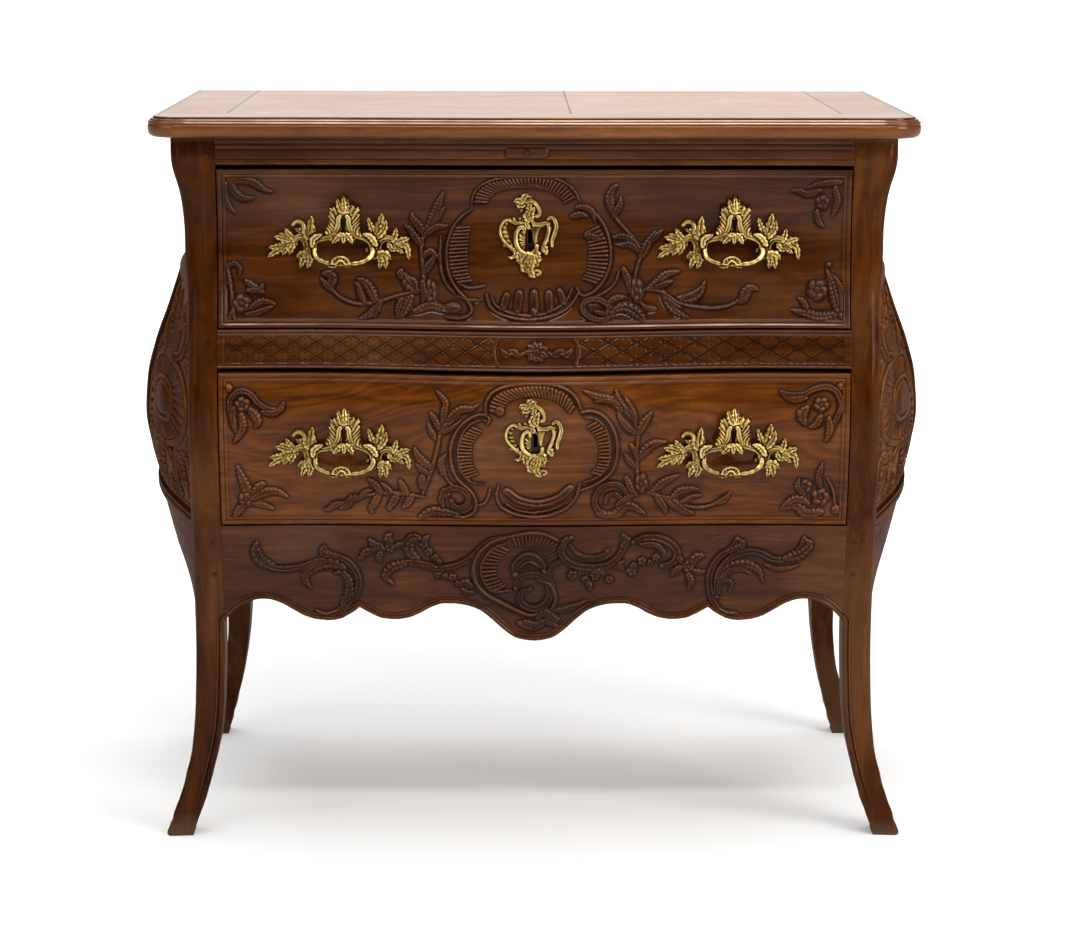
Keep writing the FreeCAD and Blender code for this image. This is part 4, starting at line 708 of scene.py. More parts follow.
    b = put(nt, "ShaderNodeBump", {"Strength": 0.35, "Distance": bump_mm / 1000.0, "Height": h}).outputs["Normal"]
    nt.links.new(b, bsdf.inputs["Normal"])
    bsdf.inputs["Specular IOR Level"].default_value = spec
    bsdf.inputs["Specular Tint"].default_value = (1.0, 0.78, 0.60, 1)
    bsdf.inputs["Coat Weight"].default_value = coat
    bsdf.inputs["Coat Roughness"].default_value = coat_rough
    if shut is not None:
        nt.links.new(maths(nt, "MULTIPLY_ADD", shut, -coat, coat), bsdf.inputs["Coat Weight"])
        nt.links.new(maths(nt, "MULTIPLY_ADD", shut, -spec, spec), bsdf.inputs["Specular IOR Level"])
    return mat


def bronze(name):
    mat, nt, bsdf = graph(name)
    co = put(nt, "ShaderNodeTexCoord").outputs["Object"]
    dark = put(nt, "ShaderNodeAttribute", attribute_name="dark").outputs["Fac"]
    light = put(nt, "ShaderNodeAttribute", attribute_name="light").outputs["Fac"]
    n1 = put(nt, "ShaderNodeTexNoise", {"Vector": co, "Scale": 150.0, "Detail": 5.0, "Roughness": 0.6}).outputs["Fac"]
    n2 = put(nt, "ShaderNodeTexNoise", {"Vector": co, "Scale": 900.0, "Detail": 3.0, "Roughness": 0.6}).outputs["Fac"]
    # raised metal is painted lighter as a highlight; the hollows are darker as patina
    f = maths(nt, "MULTIPLY_ADD", light, 0.55, maths(nt, "MULTIPLY_ADD", dark, -1.05, maths(nt, "MULTIPLY_ADD", n1, 0.6, 0.28)))
    col = ramp(nt, f, [(0.0, (0.012, 0.0065, 0.0018)), (0.30, (0.085, 0.050, 0.011)), (0.62, (0.295, 0.182, 0.042)), (0.95, (0.78, 0.585, 0.240))])
    nt.links.new(col, bsdf.inputs["Base Color"])
    bsdf.inputs["Metallic"].default_value = 1.0
    r = put(nt, "ShaderNodeMapRange", {"Value": maths(nt, "MULTIPLY_ADD", dark, 0.5, n1), "From Min": 0.3, "From Max": 0.9, "To Min": 0.26, "To Max": 0.55}).outputs[0]
    nt.links.new(r, bsdf.inputs["Roughness"])
    b = put(nt, "ShaderNodeBump", {"Strength": 0.3, "Distance": 0.0002, "Height": maths(nt, "MULTIPLY_ADD", n1, 1.0, maths(nt, "MULTIPLY", n2, 0.4))}).outputs["Normal"]
    nt.links.new(b, bsdf.inputs["Normal"])
    return mat


def iron(name):
    mat, nt, bsdf = graph(name)
    co = put(nt, "ShaderNodeTexCoord").outputs["Object"]
    n1 = put(nt, "ShaderNodeTexNoise", {"Vector": co, "Scale": 60.0, "Detail": 6.0, "Roughness": 0.65}).outputs["Fac"]
    n2 = put(nt, "ShaderNodeTexNoise", {"Vector": co, "Scale": 420.0, "Detail": 4.0, "Roughness": 0.6}).outputs["Fac"]
    col = ramp(nt, n1, [(0.30, (0.030, 0.028, 0.027)), (0.55, (0.075, 0.070, 0.066)), (0.75, (0.15, 0.085, 0.05))])
    nt.links.new(col, bsdf.inputs["Base Color"])
    bsdf.inputs["Metallic"].default_value = 0.85
    nt.links.new(put(nt, "ShaderNodeMapRange", {"Value": n1, "From Min": 0.3, "From Max": 0.8, "To Min": 0.42, "To Max": 0.75}).outputs[0], bsdf.inputs["Roughness"])
    nt.links.new(put(nt, "ShaderNodeBump", {"Strength": 0.4, "Distance": 0.0003, "Height": n2}).outputs["Normal"], bsdf.inputs["Normal"])
    return mat


WALNUT = ((0.015, 0.0036, 0.0008), (0.052, 0.0140, 0.0029), (0.115, 0.0360, 0.0075))
LIGHTER = ((0.017, 0.0042, 0.0008), (0.060, 0.0165, 0.0031), (0.125, 0.0400, 0.0082))
left_end, right_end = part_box("top_end_left"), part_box("top_end_right")
left_field, front_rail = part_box("top_panel_left"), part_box("top_front_rail")
back_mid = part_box("back_board_centre")
TOP_JOINTS = (("X", left_end[1][0]), ("X", left_field[1][0]), ("X", right_end[0][0]))
M = {
    "front_x": wood("walnut_drawers", "x", WALNUT, seed=3.1),
    "lower_x": wood("walnut_lower_drawer", "x", ((0.026, 0.0062, 0.0009), (0.100, 0.0272, 0.0036), (0.210, 0.0650, 0.0096)), seed=7.9, figure=0.45),
    "rail_x": wood("walnut_rails", "x", ((0.017, 0.0042, 0.0008), (0.060, 0.0165, 0.0033), (0.130, 0.0410, 0.0084)), seed=12.3),
    "post_z": wood("walnut_posts", "z", LIGHTER, seed=5.2, figure=0.25, spec=0.0, coat=0.13, worn=True),
    "side_z": wood("walnut_sides", "z", ((0.024, 0.0062, 0.0011), (0.098, 0.0280, 0.0054), (0.195, 0.0640, 0.0135)), seed=9.4, spec=0.0, coat=0.10),
    "side_y": wood("walnut_side_rails", "y", ((0.020, 0.0052, 0.0010), (0.075, 0.0210, 0.0043), (0.150, 0.0490, 0.0108)), seed=2.2, spec=0.0, coat=0.10),
    "top_x": wood("walnut_top", "x", ((0.150, 0.050, 0.012), (0.300, 0.105, 0.028), (0.420, 0.170, 0.055)), seed=1.4, rough=(0.16, 0.30), coat=0.35, coat_rough=0.045, spec=0.11, joints=TOP_JOINTS, figure=0.5, painted_sheen_amount=0.05),
    "top_x2": wood("walnut_top_right", "x", ((0.170, 0.058, 0.014), (0.330, 0.120, 0.033), (0.450, 0.190, 0.064)), seed=21.4, rough=(0.16, 0.30), coat=0.35, coat_rough=0.045, spec=0.11, joints=TOP_JOINTS, figure=0.5, painted_sheen_amount=0.05),
    "top_rail": wood("walnut_top_rail", "x", ((0.090, 0.029, 0.007), (0.190, 0.064, 0.017), (0.300, 0.115, 0.036)), seed=14.6, rough=(0.16, 0.30), coat=0.45, coat_rough=0.045, spec=0.12, painted_sheen_amount=0.05),
    "top_y": wood("walnut_top_ends", "y", ((0.140, 0.046, 0.011), (0.270, 0.092, 0.025), (0.390, 0.155, 0.050)), seed=6.6, rough=(0.16, 0.30), coat=0.31, coat_rough=0.045, spec=0.11, joints=TOP_JOINTS, painted_sheen_amount=0.05),
    # the front lip's painted glint is strong and pale cream, for its highlight lines
    "lip_x": wood("walnut_lip", "x", ((0.055, 0.016, 0.004), (0.150, 0.047, 0.012), (0.250, 0.090, 0.026)), seed=17.6, rough=(0.18, 0.30), coat=0.40, coat_rough=0.05, spec=0.10, painted_shine=(0.82, (0.80, 0.63, 0.50)), painted_sheen_amount=0.05),
    "lip_y": wood("walnut_lip_ends", "y", ((0.055, 0.016, 0.004), (0.150, 0.047, 0.012), (0.250, 0.090, 0.026)), seed=19.2, rough=(0.18, 0.30), coat=0.30, coat_rough=0.05, spec=0.08, painted_sheen_amount=0.05),
    "inner_x": wood("inner_wood_x", "x", ((0.13, 0.066, 0.028), (0.27, 0.150, 0.068), (0.40, 0.245, 0.125)), seed=4.4, rough=(0.55, 0.8), coat=0.0, patina=0.45, bump_mm=0.25),
    "inner_y": wood("inner_wood_y", "y", ((0.13, 0.066, 0.028), (0.27, 0.150, 0.068), (0.40, 0.245, 0.125)), seed=8.8, rough=(0.55, 0.8), coat=0.0, patina=0.45, bump_mm=0.25),
    "inner_z": wood("inner_wood_z", "z", ((0.12, 0.056, 0.023), (0.25, 0.130, 0.056), (0.37, 0.215, 0.103)), seed=11.1, rough=(0.55, 0.8), coat=0.0, patina=0.45, bump_mm=0.25, joints=(("X", back_mid[0][0]), ("X", back_mid[1][0]))),
    "peg": wood("peg_wood", "y", ((0.010, 0.0034, 0.0012), (0.030, 0.0105, 0.0036), (0.062, 0.0240, 0.0090)), seed=15.0),
    "bronze": bronze("gilt_bronze"),
    "iron": iron("lock_iron"),
}


def dress(node, mat):
    o = nodes[node]
    o.data.materials.clear()
    o.data.materials.append(mat)


for name in nodes:
    if "handle_nuts" in name or "lock_" in name:
        m = M["iron"]
    elif "handle" in name or "keyhole_plate" in name:
        m = M["bronze"]
    elif name == "top_dowels" or name == "tenon_pegs":
        m = M["peg"]
    elif name in ("top_end_left", "top_end_right"):
        m = M["top_y"]
    elif name == "top_front_rail":
        m = M["top_rail"]
    elif name == "top_panel_right":
        m = M["top_x2"]
    elif name.startswith("top_"):
        m = M["top_x"]
    elif name.startswith("back_board"):
        m = M["inner_z"]
    elif name in ("rear_top_rail", "rear_middle_rail", "rear_bottom_rail", "front_bearer", "dust_board", "bottom_board") or name.endswith(("drawer_back", "drawer_bottom")):
        m = M["inner_x"]
    elif "drawer_side" in name or "runner" in name or name in ("drawer_guides", "drawer_kickers", "drawer_stops"):
        m = M["inner_y"]
    elif "post" in name:
        m = M["post_z"]
    elif name.startswith("side_panel"):
        m = M["side_z"]
    elif name.startswith("side_"):
        m = M["side_y"]
    elif name.startswith("lower_drawer"):
        m = M["lower_x"]
    elif name.startswith("upper_drawer"):
        m = M["front_x"]
    else:
        m = M["rail_x"]
    dress(name, m)

# ---------------------------------------------------------------- the carving: kind, points (x, z), half width, height

CARVING = {
    "ud": [
        ["leaf", [[-383.2, 859.4], [-367.6, 860.7], [-352.2, 856.7], [-339.4, 848.0], [-326.5, 844.8]], 3.98, 1.8],
        ["leaf", [[-381.9, 858.1], [-377.1, 844.9], [-365.7, 837.0], [-350.1, 838.3]], 3.71, 1.6],
        ["leaf", [[-388.4, 855.5], [-390.2, 839.7], [-384.2, 826.5], [-374.1, 815.9]], 3.18, 1.4],
        ["chan", [[-388.1, 729.9], [-389.1, 742.9], [-385.4, 752.7], [-377.6, 754.5], [-371.9, 748.0], [-373.0, 740.2]], 2.39, 3.0],
        ["tube", [[-387.5, 748.0], [-385.0, 732.5], [-382.5, 711.7], [-379.7, 686.2]], 2.12, 2.4],
        ["rose", [[-370.5, 704.5]], 12.2, 3.2],
        ["leaf", [[-364.7, 732.4], [-354.3, 724.5], [-347.8, 721.9], [-342.5, 731.0]], 3.98, 2.6],
        ["leaf", [[-359.5, 698.8], [-346.5, 706.4], [-336.0, 706.4], [-326.9, 703.3]], 3.71, 2.6],
        ["leaf", [[-364.7, 691.2], [-351.6, 693.2], [-338.6, 698.2], [-328.2, 702.8]], 3.18, 2.6],
        ["leaf", [[-362.1, 720.7], [-351.7, 721.4], [-340.7, 718.0]], 3.45, 2.6],
        ["leaf", [[-380.3, 696.4], [-384.2, 688.8], [-388.0, 685.0]], 2.65, 2.6],
        ["tube", [[-141.9, 710.3], [-140.6, 733.4], [-141.9, 753.9], [-143.2, 774.5], [-139.3, 792.7], [-132.7, 808.3]], 1.86, 2.4],
        ["leaf", [[-132.7, 805.7], [-124.7, 821.5], [-119.4, 834.7], [-114.1, 847.4]], 4.51, 2.6],
        ["leaf", [[-139.3, 791.4], [-147.1, 803.0], [-153.6, 810.9], [-154.8, 820.8]], 4.51, 2.6],
        ["leaf", [[-138.0, 792.7], [-126.2, 800.6], [-117.0, 801.9], [-108.4, 803.3]], 3.71, 2.6],
        ["leaf", [[-141.9, 764.2], [-131.4, 770.7], [-124.9, 764.3], [-120.4, 768.3]], 3.18, 2.6],
        ["leaf", [[-144.5, 779.7], [-152.4, 790.0], [-158.9, 799.0], [-164.9, 802.9]], 3.98, 2.6],
        ["leaf", [[-140.6, 743.6], [-131.4, 756.6], [-125.7, 766.9]], 3.71, 2.6],
        ["leaf", [[-130.1, 804.4], [-120.9, 816.3], [-112.4, 828.2]], 3.18, 2.6],
        ["tube", [[-140.6, 723.1], [-157.7, 719.0], [-176.0, 714.4], [-194.4, 708.3], [-212.8, 704.7], [-228.6, 705.3], [-244.4, 711.6], [-254.9, 720.6], [-260.6, 732.2]], 1.86, 2.4],
        ["leaf", [[-259.6, 724.4], [-255.9, 736.1], [-261.4, 742.1], [-270.0, 741.5]], 5.04, 2.6],
        ["leaf", [[-257.0, 721.3], [-264.8, 729.6], [-271.1, 737.4]], 3.18, 2.6],
        ["leaf", [[-201.0, 706.4], [-206.3, 719.7], [-214.1, 731.2], [-226.5, 737.1]], 4.78, 2.6],
        ["leaf", [[-214.9, 705.5], [-220.2, 716.9], [-223.4, 727.3], [-228.6, 732.9]], 3.18, 2.6],
        ["leaf", [[-195.7, 707.5], [-199.7, 699.3], [-208.8, 691.5], [-222.7, 685.3]], 4.24, 2.6],
        ["leaf", [[-194.4, 708.3], [-201.0, 696.7], [-201.7, 687.1]], 2.92, 2.6],
        ["leaf", [[-156.3, 714.7], [-161.6, 702.4], [-166.8, 693.4], [-176.5, 687.7]], 4.51, 2.6],
        ["leaf", [[-168.2, 711.2], [-172.8, 697.1], [-171.7, 687.6]], 3.18, 2.6],
        ["leaf", [[-151.1, 722.4], [-160.3, 731.8], [-167.4, 744.6]], 6.37, 3],
        ["leaf", [[-149.8, 723.0], [-152.4, 733.2], [-160.3, 738.8]], 3.18, 2.6],
        ["leaf", [[-166.9, 736.9], [-170.8, 742.8], [-166.9, 749.0]], 2.92, 2.6],
        ["rose", [[-131.9, 720.1]], 9.02, 3.4, {"e": 1.8}],
        ["leaf", [[-141.9, 733.3], [-139.8, 718.0], [-141.9, 704.7]], 3.45, 2.6],
        ["leaf", [[-151.0, 696.0], [-131.4, 703.4], [-113.0, 698.6], [-96.0, 695.3]], 4.51, 2.6],
        ["tube", [[-78.9, 824.6], [-91.8, 814.8], [-103.1, 800.3], [-109.6, 781.1], [-111.2, 760.5], [-107.9, 741.6], [-98.3, 724.4], [-85.4, 710.5], [-79.7, 699.7], [-83.7, 692.0], [-96.6, 688.7], [-112.7, 690.0]], 1.63, 3],
        ["tube", [[-118.4, 789.0], [-119.6, 766.8], [-117.9, 746.2], [-112.0, 730.5], [-100.7, 718.1]], 1.31, 2],
        ["flutes", [[-97.5, 801.9], [-105.5, 782.7], [-106.7, 760.5], [-103.4, 743.2], [-95.4, 730.7]], [[-82.2, 803.6], [-85.4, 782.9], [-86.2, 760.7], [-83.8, 743.4], [-78.1, 733.3]], 2.2, {"n": 16}],
        ["tube", [[-95.0, 730.7], [-83.8, 725.8], [-70.9, 727.1], [-62.5, 728.7]], 1.31, 2],
        ["tube", [[-98.2, 715.0], [-83.8, 711.3], [-66.9, 710.4]], 1.14, 2],
        ["boss", [[-103.0, 701.7]], 9.47, 3.2, {"e": 0.65}],
        ["tube", [[-79.7, 831.0], [-76.4, 844.0], [-67.6, 853.7], [-51.6, 861.0], [-29.1, 864.3], [-3.5, 864.8], [20.5, 863.6], [38.2, 857.1], [49.4, 847.5], [56.8, 832.9]], 1.47, 2.4],
        ["flutes", [[-75.7, 831.1], [-70.8, 844.8], [-56.4, 855.4], [-32.3, 860.6], [-3.5, 861.6], [22.1, 859.1], [38.2, 852.0], [50.3, 837.8]], [[-61.2, 831.1], [-54.8, 840.9], [-40.4, 848.7], [-13.1, 851.9], [10.9, 848.7], [28.6, 841.3], [38.3, 831.3]], 1.8, {"n": 30}],
        ["beads", [[-40.4, 850.3], [-29.1, 852.9], [-13.1, 854.7], [1.3, 853.1], [15.8, 849.1]], 1.14, 1.6, {"n": 15}],
        ["tube", [[52.8, 828.0], [67.3, 824.0], [81.9, 811.8], [91.6, 792.6], [95.7, 770.3], [94.1, 751.4], [85.2, 732.6], [72.2, 720.1], [59.3, 717.1], [52.9, 726.5]], 1.63, 3],
        ["tube", [[106.2, 746.6], [101.3, 732.4], [90.0, 721.5], [73.8, 713.9], [62.5, 707.7]], 1.31, 2],
        ["flutes", [[78.7, 803.8], [89.2, 783.0], [91.3, 764.0], [87.1, 743.6], [75.5, 730.3]], [[63.4, 795.9], [68.3, 780.0], [68.7, 764.1], [66.6, 746.8], [60.2, 735.9]], 2.2, {"n": 15}],
        ["leaf", [[46.4, 814.8], [57.7, 817.5], [67.3, 814.3]], 3.59, 2.6],
        ["leaf", [[52.8, 826.4], [64.1, 826.1], [72.9, 819.6], [77.1, 805.4]], 3.27, 2.6],
        ["leaf", [[64.2, 790.3], [73.9, 789.5], [83.6, 785.5]], 3.59, 2.6],
        ["chan", [[97.9, 691.1], [81.8, 687.2], [65.7, 692.3], [60.1, 703.1], [67.4, 711.1], [81.9, 710.7], [93.2, 702.8], [89.9, 694.3], [77.0, 696.8]], 3.27, 3.2],
        ["tube", [[-61.2, 718.5], [-56.4, 703.1], [-41.9, 693.9], [-19.5, 688.7], [4.6, 688.8], [28.7, 694.8], [44.8, 704.8], [55.3, 720.2]], 1.8, 3],
        ["tube", [[-54.8, 717.0], [-49.7, 704.7], [-35.5, 697.1], [-13.0, 692.6], [6.2, 693.4], [25.5, 700.2], [40.0, 711.0], [46.8, 725.0]], 1.31, 2.4],
        ["cut", [[-35.5, 717.2], [-40.0, 702.4]], 4.9, 2.4],
        ["cut", [[-19.5, 719.6], [-22.4, 698.7]], 5.55, 2.4],
        ["cut", [[-1.0, 720.4], [-1.0, 695.4]], 5.88, 2.4],
        ["cut", [[17.5, 719.6], [18.3, 698.7]], 5.55, 2.4],
        ["cut", [[31.2, 722.7], [36.5, 707.1]], 4.57, 2.4],
        ["tube", [[125.0, 733.8], [130.2, 754.3], [134.2, 767.1], [127.6, 782.7], [114.4, 798.3], [101.2, 814.0], [95.8, 827.2]], 1.86, 2.4],
        ["leaf", [[97.2, 822.4], [93.9, 837.7], [98.7, 850.9], [105.5, 854.8]], 4.78, 2.6],
        ["leaf", [[99.1, 815.3], [106.8, 829.8], [108.0, 841.6]], 3.45, 2.6],
        ["leaf", [[134.2, 764.0], [140.7, 777.4], [147.3, 787.7], [153.0, 797.3]], 4.51, 2.6],
        ["leaf", [[148.6, 784.6], [156.4, 792.9], [163.0, 798.1]], 3.18, 2.6],
        ["leaf", [[127.6, 780.1], [117.1, 787.9], [106.6, 789.8], [96.6, 788.0]], 3.98, 2.6],
        ["leaf", [[130.2, 771.8], [119.7, 779.6], [109.2, 778.9], [100.8, 780.2]], 3.18, 2.6],
        ["rose", [[128.1, 722.2]], 9.55, 3.4, {"e": 1.7}],
        ["leaf", [[111.9, 749.3], [117.1, 733.9], [120.2, 718.0]], 3.71, 2.6],
        ["tube", [[138.1, 723.4], [153.9, 721.9], [164.5, 717.9], [177.6, 708.8], [196.1, 702.7], [219.8, 699.9], [241.0, 701.3], [256.8, 708.1], [266.0, 717.1]], 1.86, 2.4],
        ["leaf", [[262.1, 711.4], [268.6, 721.8], [275.2, 724.9], [284.4, 721.8]], 4.51, 2.6],
        ["leaf", [[256.8, 707.8], [264.7, 709.4], [273.1, 717.6]], 3.18, 2.6],
        ["leaf", [[143.4, 723.3], [156.6, 733.4], [167.1, 742.4], [185.0, 746.1]], 4.51, 2.6],
        ["leaf", [[151.3, 725.3], [164.5, 730.3], [176.1, 734.5]], 2.92, 2.6],
        ["leaf", [[182.9, 712.1], [198.8, 711.9], [209.3, 720.0], [215.6, 733.9]], 4.78, 2.6],
        ["leaf", [[188.7, 712.5], [201.4, 717.5], [208.8, 725.7]], 2.92, 2.6],
        ["leaf", [[161.8, 719.2], [168.4, 707.6], [177.6, 696.1], [195.5, 687.7]], 4.51, 2.6],
        ["leaf", [[165.8, 712.8], [175.0, 705.0], [186.6, 699.8]], 2.92, 2.6],
        ["leaf", [[152.5, 699.7], [142.0, 700.4], [132.8, 707.6]], 2.92, 2.6],
        ["leaf", [[136.6, 687.4], [119.6, 700.2], [106.5, 700.9], [93.9, 693.0]], 5.84, 2.6],
        ["leaf", [[93.4, 708.1], [103.9, 713.6], [115.0, 715.0]], 3.18, 2.6],
        ["leaf", [[385.2, 691.4], [380.1, 712.4], [374.8, 733.1], [368.9, 749.2]], 5.04, 2.6],
        ["leaf", [[388.4, 694.0], [388.5, 715.0], [383.1, 733.2], [375.2, 743.5]], 3.45, 2.6],
        ["rose", [[357.8, 722.1]], 13.79, 3.2],
        ["leaf", [[380.0, 691.4], [361.7, 688.7], [343.4, 692.7], [322.5, 697.9]], 4.78, 2.6],
        ["leaf", [[344.7, 698.8], [338.7, 709.0], [332.5, 712.6]], 3.18, 2.6],
        ["boss", [[387.8, 690.7]], 3.98, 3.0],
        ["boss", [[372.0, 753.9]], 3.18, 3.0],
        ["leaf", [[359.3, 847.9], [343.9, 843.1], [333.4, 846.8], [320.8, 848.0]], 3.45, 2],
        ["rose", [[362.5, 832.6]], 9.55, 2.4],
        ["leaf", [[377.4, 851.2], [381.2, 832.7], [374.1, 812.8]], 3.71, 2],
        ["leaf", [[355.1, 821.4], [358.1, 808.7], [366.6, 800.4]], 3.18, 2],
        ["leaf", [[385.0, 859.1], [369.4, 857.7], [353.9, 855.0], [342.3, 851.0]], 3.18, 1.8],
    ],
    "ld": [
        ["chan", [[-383.0, 561.4], [-385.9, 576.0], [-382.7, 589.0], [-372.2, 596.7], [-359.2, 592.7], [-350.1, 582.3], [-338.5, 574.3], [-325.4, 573.0], [-317.5, 580.8]], 3.18, 3.2],
        ["leaf", [[-343.7, 569.9], [-330.7, 568.8], [-320.2, 574.0], [-316.5, 581.3]], 3.45, 2.6],
        ["rose", [[-369.2, 579.8]], 10.08, 3.2],
        ["boss", [[-386.5, 600.4]], 4.78, 3.0],
        ["leaf", [[-380.2, 575.4], [-381.6, 562.8], [-378.0, 546.7], [-371.1, 543.5]], 3.45, 2.6],
        ["leaf", [[-371.1, 567.4], [-368.8, 552.0], [-375.1, 538.6], [-382.1, 530.1]], 3.98, 2.6],
        ["leaf", [[-359.4, 572.6], [-352.9, 564.7], [-350.2, 555.9], [-354.5, 549.8]], 4.78, 2.6],
        ["leaf", [[-361.9, 450.0], [-365.8, 467.4], [-371.8, 484.1], [-377.6, 501.7]], 5.31, 2.2],
        ["rose", [[-367.5, 455.7]], 10.08, 2.4],
        ["leaf", [[-356.8, 461.2], [-349.8, 472.9], [-341.0, 477.5]], 5.31, 2.2],
        ["leaf", [[-359.6, 455.6], [-343.5, 464.5], [-327.7, 465.7], [-312.9, 457.5]], 4.78, 2.2],
        ["leaf", [[-370.4, 447.2], [-378.7, 438.7], [-383.5, 430.2]], 4.24, 2],
        ["leaf", [[-358.5, 449.9], [-344.1, 447.0], [-330.6, 441.2]], 3.18, 2],
        ["tube", [[-142.7, 463.0], [-134.5, 485.8], [-126.4, 511.1], [-120.9, 536.1], [-118.1, 557.8]], 2.12, 2.4],
        ["leaf", [[-116.8, 554.6], [-113.9, 573.9], [-112.8, 587.0], [-125.8, 602.7]], 3.45, 2.6],
        ["leaf", [[-120.8, 551.8], [-126.0, 563.0], [-131.7, 573.9]], 3.71, 2.6],
        ["leaf", [[-124.8, 538.1], [-131.3, 549.4], [-134.4, 560.6]], 2.92, 2.6],
        ["leaf", [[-116.9, 546.5], [-107.6, 560.8], [-93.5, 571.0]], 4.24, 2.6],
        ["leaf", [[-110.2, 562.9], [-94.5, 576.5], [-78.9, 578.8], [-68.9, 586.0]], 3.98, 2],
        ["leaf", [[-119.5, 546.5], [-105.1, 552.8], [-91.4, 564.4]], 2.92, 2.6],
        ["leaf", [[-131.2, 499.3], [-142.2, 507.9], [-150.0, 518.8], [-151.7, 528.1]], 4.78, 2.6],
        ["leaf", [[-134.5, 490.8], [-142.3, 496.8], [-151.2, 505.5]], 3.18, 2.6],
        ["leaf", [[-116.0, 491.2], [-118.5, 508.5], [-110.0, 520.4]], 3.71, 2.6],
        ["boss", [[-142.5, 480.5]], 5.31, 2.6, {"e": 2.0}],
        ["tube", [[-140.2, 459.6], [-158.6, 462.7], [-179.8, 464.6], [-201.0, 463.4], [-222.2, 458.3], [-243.6, 450.2], [-259.7, 442.1]], 1.86, 2.4],
        ["leaf", [[-243.6, 450.2], [-254.3, 447.3], [-263.7, 441.0], [-269.8, 443.2]], 3.45, 2.6],
        ["leaf", [[-221.7, 458.3], [-232.9, 455.9], [-238.4, 447.4], [-250.2, 441.6]], 3.98, 2.6],
        ["leaf", [[-197.8, 463.2], [-203.9, 450.6], [-208.8, 441.4], [-204.7, 436.2]], 4.24, 2.6],
        ["leaf", [[-173.9, 463.9], [-180.0, 452.4], [-186.0, 443.4], [-181.2, 441.7]], 4.24, 2.6],
        ["leaf", [[-155.5, 462.2], [-161.5, 451.2], [-169.0, 443.1]], 3.98, 2.6],
        ["leaf", [[-195.1, 464.3], [-203.4, 476.0], [-212.2, 484.7]], 3.98, 2.6],
        ["leaf", [[-181.9, 465.1], [-190.2, 473.4], [-196.4, 479.5]], 2.92, 2.6],
        ["leaf", [[-162.1, 463.2], [-167.7, 473.9], [-172.1, 484.4]], 3.71, 2.6],
        ["leaf", [[-222.2, 458.9], [-214.1, 466.0], [-205.1, 468.1]], 2.92, 2.6],
        ["leaf", [[-144.5, 431.9], [-129.8, 440.2], [-114.0, 438.7], [-94.1, 436.1]], 5.31, 2.6],
        ["rose", [[-113.1, 466.4]], 6.9, 3.2],
        ["tube", [[-61.9, 573.5], [-61.1, 587.3], [-53.1, 599.3], [-35.5, 607.4], [-9.9, 610.8], [17.3, 610.3], [38.1, 604.3], [50.9, 593.9], [58.2, 577.7]], 1.63, 2.8],
        ["flutes", [[-56.3, 574.4], [-53.1, 589.0], [-37.1, 600.3], [-9.9, 605.3], [17.3, 604.5], [38.1, 595.6], [49.4, 579.5]], [[-41.9, 573.0], [-37.1, 584.4], [-22.7, 592.5], [-0.3, 595.0], [22.1, 591.0], [36.5, 581.2], [44.6, 573.0]], 2.0, {"n": 26}],
        ["beads", [[-33.1, 593.7], [-22.7, 598.9], [-9.9, 601.7], [6.1, 601.8], [18.9, 599.3], [30.1, 593.8]], 1.31, 1.6, {"n": 17}],
        ["boss", [[-44.3, 575.9]], 5.88, 2.6],
        ["tube", [[-61.1, 571.1], [-70.7, 570.9], [-83.6, 564.9], [-96.5, 552.2], [-104.7, 533.5], [-106.4, 513.1], [-102.5, 494.2], [-93.7, 480.5], [-80.9, 468.5], [-74.4, 454.4], [-77.0, 440.0], [-89.2, 432.7], [-103.9, 434.3]], 1.8, 3.2],
        ["tube", [[-58.7, 563.0], [-70.7, 563.6], [-83.6, 555.8], [-92.5, 542.3], [-96.7, 525.3], [-96.0, 504.7], [-89.6, 489.3], [-77.5, 479.9], [-63.0, 479.3]], 1.14, 2.2],
        ["flutes", [[-77.2, 556.0], [-91.7, 538.9], [-95.1, 521.9], [-93.1, 501.3], [-84.0, 485.9]], [[-66.0, 551.2], [-77.3, 535.9], [-80.2, 520.5], [-78.1, 503.3], [-71.0, 491.3]], 2.2, {"n": 16}],
        ["tube", [[-61.1, 571.1], [-56.9, 564.6], [-61.1, 557.6]], 1.47, 2.6],
        ["chan", [[-116.8, 448.1], [-118.6, 459.0], [-108.4, 471.5], [-93.8, 471.8], [-84.1, 461.4], [-87.5, 448.9], [-100.5, 446.5], [-106.1, 455.7]], 3.59, 3.2],
        ["tube", [[-114.9, 500.8], [-111.5, 485.4], [-101.6, 473.4]], 1.31, 2],
        ["tube", [[58.2, 574.5], [71.9, 575.8], [86.4, 569.0], [97.8, 553.9], [103.8, 533.6], [103.3, 511.5], [97.1, 494.4], [84.3, 482.5], [68.2, 474.0], [58.5, 470.6]], 1.8, 3.2],
        ["tube", [[60.7, 567.9], [75.2, 566.0], [88.2, 554.1], [94.5, 535.5], [94.8, 515.1], [88.6, 496.3], [76.1, 486.1], [61.6, 481.1]], 1.14, 2.2],
        ["flutes", [[75.2, 562.7], [90.7, 545.7], [94.7, 525.4], [93.3, 504.8], [81.7, 489.5]], [[64.8, 556.3], [77.8, 541.0], [81.7, 523.9], [79.9, 505.1], [70.3, 493.1]], 2.2, {"n": 16}],
        ["chan", [[120.6, 451.6], [113.7, 471.5], [100.6, 478.7], [84.4, 473.7], [76.5, 457.9], [80.0, 443.6], [93.2, 435.9], [107.8, 439.6], [110.8, 455.7], [102.4, 464.6], [91.9, 461.3], [90.5, 452.0]], 3.1, 3.2],
        ["tube", [[-45.2, 477.7], [-48.5, 463.6], [-43.6, 449.3], [-32.2, 440.4], [-16.0, 435.1], [2.0, 433.3], [23.1, 436.9], [42.5, 447.6], [53.7, 463.6], [57.5, 479.4]], 1.63, 2.8],
